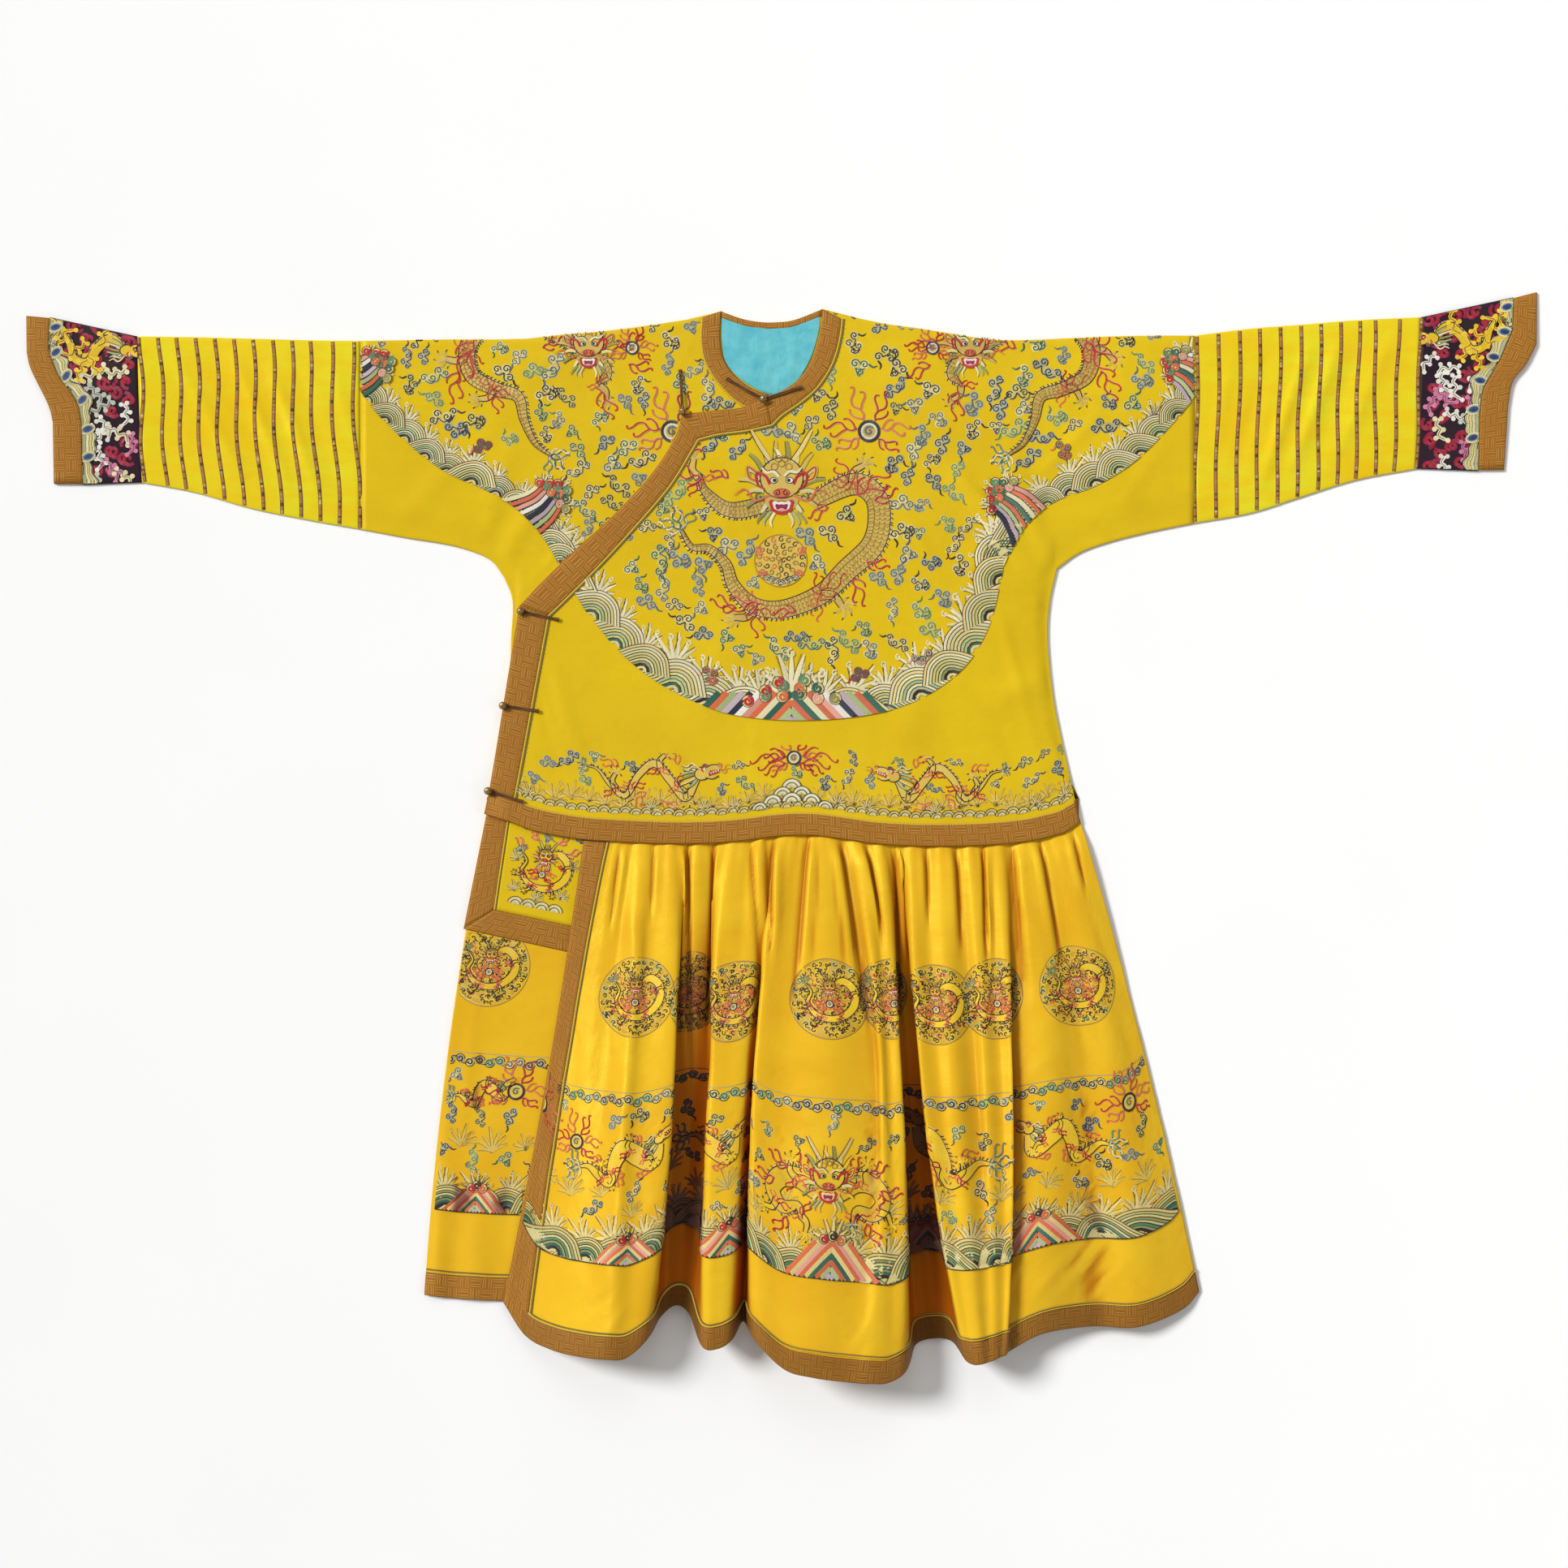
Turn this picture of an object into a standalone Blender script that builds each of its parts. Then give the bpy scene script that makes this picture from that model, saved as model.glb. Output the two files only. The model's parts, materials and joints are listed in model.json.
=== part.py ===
"""A side-fastening dragon robe in lined silk, laid flat on a table with its front up.

The neck points towards +Y and the front faces +Z. Every piece is one that a tailor cuts and
sews: body and sleeve panels, turned-back cuffs, brocade bindings, the small flap at the waist,
the pleated skirt, and the ball buttons with their loops. A flattened sleeve is a front layer
over a back layer. Sizes are in millimetres, and MM turns them into metres.
"""

from math import pi, sin

import bpy
import numpy as np
from mathutils import Vector

MM = 0.001

SILK = 1.6
BINDING = 1.2
LINING = 1.0
SEAM = 0.3

BACK_TOP = SILK
FRONT_TOP = BACK_TOP + 0.5 + SILK
BAND_LIFT = SEAM + BINDING

CENTRE_X, CENTRE_Y = -1.0, 7.4

HEM_WIDTH = 30.0
WAIST_DROP = 30.0
WAIST_FLARE = 0.017
SLEEVE_PUFF = 2.2
SKIRT_TUCK = 14.0
MID_LEVEL = -283.0

# Ribs of the outer front, from the sleeve seam round to the side opening.
# Each goes from the neck or shoulder edge over the band line to the side seam or waist:
# edge x, edge y, band x, band y, foot x, foot y, edge height, middle height, foot height.
OUTER_FRONT = (
    (538, 655, 538, 625, 538, 413, 3.7, 6.0, 3.7),
    (483, 655, 483, 625, 483, 402, 3.7, 6.2, 3.7),
    (430, 654, 430, 624, 430, 389, 3.7, 6.4, 3.7),
    (383, 652, 384, 622, 388, 374, 3.7, 6.4, 3.7),
    (340, 650, 341, 620, 358, 353, 3.7, 6.4, 3.7),
    (293, 649, 297, 619, 349, 311, 3.7, 6.4, 3.7),
    (250, 653, 257, 624, 346, 262, 3.7, 6.4, 3.7),
    (213, 659, 222, 631, 352, 193, 3.7, 6.4, 3.7),
    (176, 665, 188, 638, 361, 143, 3.7, 6.6, 3.7),
    (139, 670, 152, 644, 373, 90, 3.7, 6.8, 3.7),
    (104, 677, 120, 652, 382, 50, 3.7, 7.0, 5.6),
    (52, 691, 77, 678, 361, 37, 3.7, 7.2, 9.2),
    (49, 661, 74, 654, 319, 27, 4.2, 7.2, 11.8),
    (42, 634, 65, 622, 273, 22, 5.0, 7.4, 11.8),
    (31, 612, 47, 592, 226, 20, 5.8, 7.4, 11.8),
    (15, 594, 26, 572, 174, 20, 6.6, 7.4, 11.8),
    (-4, 582, -1, 553, 121, 23, 7.3, 7.6, 11.8),
    (-21, 576, -14, 540, 80, 29, 7.6, 7.6, 11.8),
    (-52, 562, -46, 533, 38, 34, 7.6, 7.6, 11.8),
    (-89, 558, -84, 528, -4, 33, 7.6, 7.6, 11.8),
    (-131, 553, -111, 521, -51, 27, 7.6, 7.6, 11.8),
    (-140, 523, -119, 507, -88, 24, 7.6, 7.6, 11.8),
    (-170, 476, -148, 460, -140, 23, 7.6, 7.6, 11.8),
    (-219, 423, -194, 406, -197, 25, 7.6, 7.6, 11.8),
    (-267, 379, -242, 354, -258, 29, 7.6, 7.6, 11.8),
    (-310, 338, -284, 312, -315, 39, 7.6, 7.6, 11.8),
    (-343, 303, -306, 291, -350, 52, 7.6, 7.6, 11.8),
)
OUTER_CORNERS = (4, 10, 11, 17, 20)
WAIST_RIB = 10
NECK_RIB = 11
CLOSURE_RIB = 17
SIDE_FOOT = (-382, 62, 11.8)

# Ribs of the inner front, which the outer one covers, in the same columns.
INNER_FRONT = (
    (-551, 648, -551, 618, -551, 405, 3.7, 5.2, 3.7),
    (-492, 649, -492, 619, -492, 394, 3.7, 5.4, 3.7),
    (-434, 650, -433, 620, -428, 383, 3.7, 5.4, 3.7),
    (-375, 650, -376, 620, -383, 366, 3.7, 5.4, 3.7),
    (-333, 651, -336, 621, -363, 342, 3.7, 5.2, 3.7),
    (-290, 656, -295, 626, -352, 311, 3.7, 5.0, 3.7),
    (-243, 660, -251, 631, -354, 258, 3.7, 5.0, 3.7),
    (-200, 665, -209, 636, -355, 205, 3.7, 5.0, 3.7),
    (-158, 671, -169, 643, -357, 162, 3.7, 5.0, 3.7),
    (-125, 676, -137, 648, -367, 109, 3.7, 5.0, 3.7),
    (-80, 688, -106, 679, -376, 51, 3.7, 5.0, 3.7),
    (-81, 647, -107, 647, -322, 35, 3.7, 5.0, 3.7),
    (-75, 622, -100, 617, -259, 35, 3.7, 5.0, 3.7),
    (-60, 602, -80, 588, -195, 35, 3.7, 5.0, 3.7),
    (-39, 587, -57, 567, -131, 35, 3.7, 4.6, 3.7),
    (-18, 579, -30, 554, -68, 35, 3.7, 4.0, 3.7),
)
INNER_CORNERS = (4, 9, 10)
INNER_NECK_RIB = 10

# Top edge of the back between the two neck points, left to right.
BACK_NECK = ((-80, 688), (-51, 678), (-27, 674), (-6, 674), (16, 677), (52, 691))
BACK_WAIST = 52.0
BACK_NECK_STRIP = 8.5

# Lower edge of the lining that shows in the neck, left to right.
NECK_LINING = (
    (-79.5, 652),
    (-75, 624.5),
    (-60, 604),
    (-39, 589),
    (-18, 580),
    (-4, 579),
    (15, 591),
    (29.5, 612),
    (40, 635),
    (47.2, 662),
    (48.6, 676),
)

# Soft drag folds of the two fronts: start x, y, end x, y, half width, height.
OUTER_FOLDS = (
    (338, 338, 214, 486, 15, 3.2),
    (352, 352, 288, 520, 13, 2.4),
    (344, 300, 232, 380, 17, 2.6),
    (470, 430, 372, 520, 16, 2.0),
    (352, 210, 262, 176, 19, 2.2),
    (300, 120, 180, 210, 22, 1.6),
    (150, 90, 196, 260, 20, 1.4),
    (-120, 120, -60, 300, 24, 1.2),
)
INNER_FOLDS = (
    (-372, 352, -300, 470, 14, 2.6),
    (-396, 372, -352, 520, 12, 2.0),
    (-500, 410, -420, 500, 15, 1.8),
)

# Ribs of the striped lower sleeves, shoulder seam to cuff: top x, y, bottom x, y.
SLEEVE_RIGHT = (
    (-551.3, 648, -551.3, 405),
    (-619, 649, -619, 417),
    (-693, 651, -693, 432),
    (-767, 653, -767, 453),
    (-842, 654, -836, 466),
)
SLEEVE_LEFT = (
    (538.3, 655, 538.3, 413),
    (611, 664, 611, 426),
    (674, 669, 674, 446),
    (748, 675, 748, 469),
    (834, 679, 828, 484),
)

# Cuff lines, top edge to bottom: wrist seam x, y, border line x, y, mouth x, y.
CUFF_RIGHT = (
    (-842, 654, -956, 679, -987, 682),
    (-840.8, 616, -957, 637, -986, 634),
    (-839.8, 586, -945, 606, -980, 611),
    (-838.7, 552, -921, 571, -958, 566),
    (-837.9, 526, -914, 544, -952, 543),
    (-836, 466, -913, 463, -951, 463),
)
CUFF_LEFT = (
    (834, 679, 954, 705, 985, 713),
    (832.8, 640, 952, 664, 984, 645),
    (831.6, 600, 934, 622, 970, 618),
    (830.5, 566, 914, 587, 953, 596),
    (829.5, 533, 909, 555, 947, 565),
    (828, 484, 908, 481, 942, 481),
)
CUFF_CORNERS = (1, 4)

# Fold lines of the pleated front skirt, side opening to side seam, valleys and crests in turn:
# waist x, middle x, hem x, hem y, and the cloth's height at the waist, middle and hem.
FRONT_SKIRT = (
    (-257, -302, -364, -604, 7.3, 8, 9),
    (-226, -280, -334, -647, 7.4, 12, 16),
    (-211, -252, -297, -661, 7.4, 24, 42),
    (-197, -225, -258, -666, 5.0, 31, 64),
    (-181, -200, -226, -667, 7.4, 47, 75),
    (-165, -180, -201, -666, 4.4, 43, 72),
    (-147, -140, -174, -644, 7.4, 48, 62),
    (-125, -143, -158, -622, 3.8, 24, 17),
    (-108, -117, -139, -608, 7.4, 20, 13),
    (-89, -90, -122, -618, 3.8, 11, 15),
    (-65, -93, -103, -654, 7.4, 38, 56),
    (-40, -66, -83, -656, 3.8, 41, 60),
    (-27, -46, -65, -646, 7.4, 39, 52),
    (-15, -31, -51, -628, 3.8, 23, 18),
    (8, -34, -36, -644, 7.4, 44, 64),
    (32, 4, 2, -679, 3.8, 42, 77),
    (54, 62, 39, -689, 7.4, 49, 82),
    (76, 117, 83, -695, 3.8, 37, 80),
    (93, 127, 110, -697, 7.4, 45, 80),
    (110, 137, 136, -697, 3.8, 40, 74),
    (126, 153, 160, -684, 7.4, 40, 60),
    (141, 149, 174, -660, 3.8, 6, 7),
    (147, 164, 200, -652, 6.0, 5, 6),
    (153, 181, 222, -656, 3.8, 7, 9),
    (170, 177, 236, -671, 7.4, 40, 60),
    (187, 199, 246, -675, 3.8, 37, 68),
    (207, 222, 256, -674, 7.4, 43, 70),
    (227, 246, 265, -672, 3.8, 33, 66),
    (244, 262, 274, -669, 7.4, 40, 65),
    (261, 280, 282, -666, 3.8, 35, 61),
    (279, 297, 288, -664, 7.4, 41, 60),
    (297, 294, 296, -660, 3.8, 25, 46),
    (315, 345, 338, -640, 7.4, 33, 40),
    (334, 388, 402, -634, 4.6, 19, 20),
    (356, 428, 462, -634, 6.0, 20, 26),
    (374, 456, 520, -614, 4.4, 10, 12),
    (386, 473, 544, -592, 3.6, 3.7, 3.9),
)
SKIRT_LEVELS = (0.0, 0.05, 0.11, 0.18, 0.26, 0.35, 0.44, 0.54, 0.64, 0.74, 0.84, 0.91)
SKIRT_SAMPLES = 3
SKIRT_REST = FRONT_TOP + 0.2

# Fold lines of the under skirt, side seam inwards:
# waist x, middle x, hem x, hem y, and the cloth's height at the middle and hem.
UNDER_SKIRT = (
    (-384, -437, -467, -596, 3.7, 3.7),
    (-366, -424, -452, -597, 3.9, 8.5),
    (-346, -402, -430, -600, 3.8, 4.4),
    (-322, -372, -404, -601, 4.0, 8.0),
    (-300, -340, -378, -603, 3.7, 4.4),
    (-268, -300, -350, -603, 3.8, 4.6),
    (-236, -256, -318, -603, 3.7, 3.7),
)
UNDER_WAIST = 24.0
UNDER_LEVELS = (0.0, 0.1, 0.22, 0.36, 0.5, 0.64, 0.78, 0.9)

# Side lines of the back skirt, waist to hem: height up the body, left x, right x.
BACK_SKIRT = (
    (21.6, -385, 385),
    (-60, -402, 410),
    (-140, -415, 434),
    (-220, -428, 455),
    (-300, -438, 474),
    (-380, -447, 490),
    (-460, -455, 508),
    (-557, -462, 532),
    (-587, -464, 540),
)

# Corners of the waist flap and of the embroidered panel that its borders frame.
FLAP_TOP = ((-384, 43), (-357, 34), (-250, 10))
FLAP_FOOT = ((-416, -118), (-376, -93), (-268, -116), (-262, -152))
FLAP_TOP_Z = FRONT_TOP + SEAM + SILK

# Ball buttons: ball x, y, height of what it lies on, loop's far end x, y and that height.
BUTTONS = (
    (-25, 572, 9.1, -72, 599, 5.6),
    (-130, 556, 9.1, -133, 610, 5.6),
    (-341, 296, 9.1, -292, 285, 9.1),
    (-364, 173, 9.2, -318, 166, 9.2),
    (-383, 62, 13.3, -338, 48, 13.3),
)
BALL = 5.5
LOOP = 2.0
NECK_LOOP_END = (24, 588, 8.4)

YELLOW = (0.74, 0.53, 0.02)
GOLD = (0.79, 0.47, 0.03)
LEMON = (0.79, 0.62, 0.01)
BROWN = (0.31, 0.13, 0.03)
NIGHT = (0.03, 0.015, 0.035)
TURQUOISE = (0.10, 0.47, 0.53)
BRASS = (0.30, 0.20, 0.10)


def clear_scene():
    """Removes whatever the scene holds."""
    for thing in list(bpy.data.objects):
        bpy.data.objects.remove(thing, do_unlink=True)


def material(name, colour, roughness, metallic=0.0):
    """A plain surface of one colour."""
    made = bpy.data.materials.new(name)
    made.use_nodes = True
    shader = made.node_tree.nodes["Principled BSDF"]
    shader.inputs["Base Color"].default_value = (*colour, 1.0)
    shader.inputs["Roughness"].default_value = roughness
    shader.inputs["Metallic"].default_value = metallic
    return made


def placed(x, y, z):
    """A point in the robe's own frame, which is centred over where it lies."""
    return Vector((x - CENTRE_X, y - CENTRE_Y, z)) * MM


def ease(t):
    """0 to 1 with a level start and end."""
    t = min(max(t, 0.0), 1.0)
    return t * t * (3.0 - 2.0 * t)


def through(rows, samples, corners=()):
    """Rows on a smooth curve through the given ones, which turns sharply at the corners."""
    rows = np.asarray(rows, float)
    last = len(rows) - 1
    made = []
    for i in range(last):
        chord = rows[i + 1] - rows[i]
        start = chord if i == 0 or i in corners else (rows[i + 1] - rows[i - 1]) / 2
        end = chord if i + 1 == last or i + 1 in corners else (rows[i + 2] - rows[i]) / 2
        reach = 1.6 * np.linalg.norm(chord)
        start = start * min(1.0, reach / np.linalg.norm(start))
        end = end * min(1.0, reach / np.linalg.norm(end))
        for t in np.arange(samples) / samples:
            made.append(
                rows[i] * (2 * t**3 - 3 * t**2 + 1)
                + start * (t**3 - 2 * t**2 + t)
                + rows[i + 1] * (3 * t**2 - 2 * t**3)
                + end * (t**3 - t**2)
            )
    made.append(rows[last])
    return made


def fold_height(x, y, folds):
    """How far the soft folds lift the cloth at one place."""
    total = 0.0
    for x0, y0, x1, y1, width, height in folds:
        along = np.array((x1 - x0, y1 - y0))
        length = np.linalg.norm(along)
        away = np.array((x - x0, y - y0))
        t = away @ along / length**2
        if 0.0 < t < 1.0:
            aside = abs(along[0] * away[1] - along[1] * away[0]) / length
            total += height * sin(pi * t) ** 0.7 * np.exp(-((aside / width) ** 2))
    return total


def rib(row, folds, steps):
    """Points of one rib, from its edge over the band line to its foot."""
    edge, band, foot = (np.array(row[i : i + 2]) for i in (0, 2, 4))
    edge_z, middle_z, foot_z = row[6:9]
    line = [edge] + [band + (foot - band) * j / steps for j in range(steps + 1)]
    length = np.linalg.norm(band - edge) + np.linalg.norm(foot - band)
    points = []
    done = 0.0
    for place, previous in zip(line, line[:1] + line[:-1]):
        done += np.linalg.norm(place - previous) / length
        z = edge_z + (middle_z - edge_z) * ease(done / 0.3)
        z += (foot_z - middle_z) * ease((done - 0.82) / 0.16)
        lift = fold_height(*place, folds) * ease(8.0 * done) * ease(8.0 * (1.0 - done))
        points.append((place[0], place[1], z + lift))
    return points


def squares(grid):
    """Each square of a grid of points as its four corners, in the order that faces up."""
    grid = np.array(grid, float)
    made = np.stack([grid[:-1, :-1], grid[:-1, 1:], grid[1:, 1:], grid[1:, :-1]], axis=2)
    made = made.reshape(-1, 4, 3)
    across = made[:, 2, :2] - made[:, 0, :2]
    other = made[:, 3, :2] - made[:, 1, :2]
    area = (across[:, 0] * other[:, 1] - across[:, 1] * other[:, 0]).sum()
    return list(made if area > 0 else made[:, ::-1])


def sheet(name, faces, wall, surface, lift=0.0):
    """A cloth piece: its upper face from the squares, and its wall going down from there."""
    places = {}
    triangles = []
    for face in faces:
        corner = [places.setdefault(tuple(np.round(p, 4)), len(places)) for p in face]
        for triangle in (corner[:3], (corner[0], *corner[2:])):
            if len(set(triangle)) == 3:
                triangles.append(triangle)
    points = [placed(x, y, z + lift) for x, y, z in places]
    mesh = bpy.data.meshes.new(name)
    mesh.from_pydata(points, [], triangles)
    mesh.materials.append(surface)
    made = bpy.data.objects.new(name, mesh)
    home.objects.link(made)
    shell = made.modifiers.new("wall", "SOLIDIFY")
    shell.thickness = wall * MM
    shell.offset = -1.0
    shell.use_quality_normals = True
    return made


def trim(grid, head=False, tail=False, left=False, right=False, by=SEAM / 2):
    """The grid with the chosen outer lines drawn in by half a seam."""
    made = np.array(grid, float)

    def draw_in(line, inward):
        step = inward - line
        return line + step * by / np.linalg.norm(step, axis=1, keepdims=True)

    if head:
        made[0] = draw_in(made[0], made[1])
    if tail:
        made[-1] = draw_in(made[-1], made[-2])
    if left:
        made[:, 0] = draw_in(made[:, 0], made[:, 1])
    if right:
        made[:, -1] = draw_in(made[:, -1], made[:, -2])
    return made


def outer_front(silk, brocade):
    """The outer front with the wearer's left upper sleeve, and the bands that edge it."""
    grid = [rib(row, OUTER_FOLDS, 9) for row in through(OUTER_FRONT, 2, OUTER_CORNERS)]
    inner = grid[-1][1:]
    start = np.array(grid[-1][0])
    foot = np.array(SIDE_FOOT, float)
    outer = [start]
    for point in inner[1:]:
        t = (inner[0][1] - point[1]) / (inner[0][1] - inner[-1][1])
        outer.append(np.array((*(start + (foot - start) * t)[:2], point[2])))
    waist = [line[-1] for line in grid[2 * WAIST_RIB :]] + [outer[-1]]
    hem = [np.array(p) + (p[0] * WAIST_FLARE, -WAIST_DROP, 0.0) for p in waist]
    whole = squares(grid) + squares([inner, outer]) + squares([waist, hem])
    sheet("front_outer", whole, SILK, silk)
    edge = [line[:2] for line in grid]
    neck = trim(edge[2 * NECK_RIB : 2 * CLOSURE_RIB + 1], tail=True)
    sheet("neck_band_outer", squares(neck), BINDING, brocade, BAND_LIFT)
    upper = trim(edge[2 * CLOSURE_RIB :], head=True, tail=True)
    sheet("closure_band_upper", squares(upper), BINDING, brocade, BAND_LIFT)
    side = trim([inner, outer], left=True, right=True)
    sheet("closure_band_side", squares(side), BINDING, brocade, BAND_LIFT)
    band = trim([waist, hem], head=True)
    sheet("waist_band_front", squares(band), BINDING, brocade, BAND_LIFT)


def inner_front(silk, brocade):
    """The inner front with the wearer's right upper sleeve, and its neck band."""
    grid = [rib(row, INNER_FOLDS, 8) for row in through(INNER_FRONT, 2, INNER_CORNERS)]
    sheet("front_inner", squares(grid), SILK, silk)
    neck = [line[:2] for line in grid[2 * INNER_NECK_RIB :]]
    sheet("neck_band_inner", squares(neck), BINDING, brocade, BAND_LIFT)


def back(silk, brocade, turquoise):
    """The back with both upper sleeves, its waist band, and what shows inside the neck."""
    left = through(INNER_FRONT[: INNER_NECK_RIB + 1], 2, INNER_CORNERS)
    right = through(OUTER_FRONT[: NECK_RIB + 1], 2, OUTER_CORNERS)
    flat = BACK_TOP
    lines = [((row[0], row[1], flat), (row[4], row[5], flat)) for row in left[:-2]]
    middle = [(x, y, flat) for x, y in BACK_NECK]
    spread = np.linspace(-386, 387, len(middle))
    lines += [(p, (x, BACK_WAIST, flat)) for p, x in zip(middle, spread)]
    ends = [((row[0], row[1], flat), (row[4], row[5], flat)) for row in right[:-4]]
    lines += ends[::-1]
    sheet("back_body", squares(lines), SILK, silk)
    top = [(x, BACK_WAIST - SEAM, flat) for x in np.linspace(-386, 387, 9)]
    foot = [(x * 1.0, BACK_WAIST - WAIST_DROP, flat) for x in np.linspace(-387, 388, 9)]
    sheet("waist_band_back", squares([top, foot]), SILK, brocade)
    rows = [(-78.5, 687.4), *BACK_NECK[1:-1], (49.5, 690.0)]
    strip_z = BACK_TOP + BAND_LIFT
    strip = [[(x, y, strip_z), (x, y - BACK_NECK_STRIP, strip_z)] for x, y in rows]
    sheet("neck_band_back", squares(strip), BINDING, brocade)
    lining_z = BACK_TOP + SEAM + LINING
    neck_x, neck_y = zip(*BACK_NECK)
    lining = []
    for x, y in through(NECK_LINING, 2):
        top = float(np.interp(x, neck_x, neck_y)) - BACK_NECK_STRIP - 0.8
        lining.append([(x, top, lining_z), (x, min(y, top - 1.0), lining_z)])
    sheet("neck_lining", squares(lining), LINING, turquoise)


def puffed(lines, top):
    """The height of a flattened tube's upper layer, level at its folds and full between."""
    share = np.linspace(-1.0, 1.0, lines)
    return [top + SLEEVE_PUFF * (1.0 - abs(s) ** 3) for s in share]


def sleeve(side, table, lemon):
    """A lower sleeve of striped silk, front and back layers."""
    rows = through(table, 3)
    heights = puffed(7, FRONT_TOP)
    front = []
    for x0, y0, x1, y1 in rows:
        spots = np.linspace((x0, y0), (x1, y1), 7)
        front.append([(x, y, z) for (x, y), z in zip(spots, heights)])
    front = trim(front, tail=True)
    sheet(f"sleeve_front_{side}", squares(front), SILK, lemon)
    flat = front[:, [0, -1]].copy()
    flat[:, :, 2] = BACK_TOP
    sheet(f"sleeve_back_{side}", squares(flat), SILK, lemon)


def cuff(side, table, night, brocade):
    """A horse-hoof cuff and the band round its mouth, front and back layers."""
    rows = through(table, 3, CUFF_CORNERS)
    grid = []
    for row, z in zip(rows, puffed(len(rows), FRONT_TOP)):
        wrist, line, mouth = row[:2], row[2:4], row[4:]
        spots = [wrist + (line - wrist) * t for t in (0.0, 0.33, 0.67, 1.0)] + [mouth]
        grid.append([(x, y, z) for x, y in spots])
    grid = np.array(grid)
    body = trim(grid[:, :4], left=True, right=True)
    band = trim(grid[:, 3:], left=True)
    sheet(f"cuff_front_{side}", squares(body), SILK, night)
    sheet(f"cuff_band_front_{side}", squares(band), SILK, brocade)
    body[:, :, 2] = BACK_TOP
    band[:, :, 2] = BACK_TOP
    sheet(f"cuff_back_{side}", squares(body[:, [0, -1]]), SILK, night)
    sheet(f"cuff_band_back_{side}", squares(band), SILK, brocade)


def bend(t, middle, waist, halfway, hem):
    """A quadratic from the waist at 0 through its middle to the hem at 1."""
    return (
        waist * (t - middle) * (t - 1.0) / middle
        + halfway * t * (t - 1.0) / (middle * (middle - 1.0))
        + hem * t * (t - middle) / (1.0 - middle)
    )


def waist_line(x):
    """Height up the body of the bodice's lower edge."""
    waist = sorted((row[4] * (1 + WAIST_FLARE), row[5] - WAIST_DROP) for row in OUTER_FRONT[10:])
    return float(np.interp(x, *zip(*waist)))


def skirt_row(level, hem_gap=None):
    """One section of the front skirt: points along its folds at a share of the way down."""
    knots = []
    for x0, x1, x2, hem_y, z0, z1, z2 in FRONT_SKIRT:
        top_y = waist_line(x0) + SKIRT_TUCK
        t = level if hem_gap is None else 1.0 - hem_gap / (top_y - hem_y)
        middle = (top_y - MID_LEVEL) / (top_y - hem_y)
        y = top_y + (hem_y - top_y) * t
        knots.append((bend(t, middle, x0, x1, x2), y, bend(t, middle, z0, z1, z2)))
    row = np.array(through(knots, SKIRT_SAMPLES))
    floor = np.where(row[:, 0] < -200.0, 0.0, SKIRT_REST)
    row[:, 2] = np.maximum(row[:, 2], floor)
    return row


def front_skirt(gold, brocade):
    """The pleated front skirt, the border of its open side and the binding of its hem."""
    rows = [skirt_row(level) for level in SKIRT_LEVELS]
    rows.append(skirt_row(1.0, HEM_WIDTH))
    rows = np.array(rows)
    border = SKIRT_SAMPLES
    body = trim(rows[:, border:], tail=True, left=True, by=SEAM)
    sheet("skirt_front", squares(body), SILK, gold)
    edge = trim(rows[:, : border + 1], tail=True, right=True, by=SEAM)
    sheet("skirt_edge_band", squares(edge), SILK, brocade)
    hem = trim([rows[-1], skirt_row(1.0)], head=True, by=SEAM)
    sheet("skirt_front_hem", squares(hem), SILK, brocade)


def under_skirt(gold, brocade):
    """The part of the inner skirt that shows beside the front one, and its hem binding."""
    rows = []
    for level in (*UNDER_LEVELS, None, 1.0):
        knots = []
        for x0, x1, x2, hem_y, z1, z2 in UNDER_SKIRT:
            top_y = UNDER_WAIST - 0.11 * (x0 + 236)
            t = 1.0 - HEM_WIDTH / (top_y - hem_y) if level is None else level
            middle = (top_y - MID_LEVEL) / (top_y - hem_y)
            x, z = bend(t, middle, x0, x1, x2), bend(t, middle, FRONT_TOP, z1, z2)
            knots.append((x, top_y + (hem_y - top_y) * t, max(z, FRONT_TOP)))
        rows.append(through(knots, 3))
    rows = np.array(rows)
    rows[:, :, 2] = np.maximum(rows[:, :, 2], FRONT_TOP)
    sheet("skirt_under", squares(trim(rows[:-1], tail=True)), SILK, gold)
    sheet("skirt_under_hem", squares(trim(rows[-2:], head=True)), SILK, brocade)


def back_skirt(gold, brocade):
    """The back skirt, pressed flat beneath the rest, and its hem binding."""
    rows = []
    for y, x0, x1 in through(BACK_SKIRT, 1):
        rows.append([(x, y, BACK_TOP) for x in np.linspace(x0, x1, 9)])
    sheet("skirt_back", squares(trim(rows[:-1], tail=True)), SILK, gold)
    sheet("skirt_back_hem", squares(trim(rows[-2:], head=True)), SILK, brocade)


def flap(silk, brocade):
    """The small flap at the opening: an embroidered panel between two mitred borders."""
    top = [np.array((*p, FLAP_TOP_Z)) for p in FLAP_TOP]
    corner, inside, inside_end, corner_end = (np.array((*p, FLAP_TOP_Z)) for p in FLAP_FOOT)
    steps = np.linspace(0.0, 1.0, 5)[:, None]
    outer = top[0] + (corner - top[0]) * steps
    inner = top[1] + (inside - top[1]) * steps
    far = top[2] + (inside_end - top[2]) * steps
    panel = [np.linspace(a, b, 5) for a, b in zip(inner, far)]
    sheet("flap_panel", squares(trim(panel, tail=True, left=True)), SILK, silk)
    side = trim(np.stack([outer, inner], axis=1), tail=True, right=True)
    sheet("flap_band_side", squares(side), SILK, brocade)
    upper = inside + (inside_end - inside) * steps
    lower = corner + (corner_end - corner) * steps
    bottom = trim(np.stack([upper, lower], axis=1), head=True, left=True)
    sheet("flap_band_foot", squares(bottom), SILK, brocade)


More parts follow.
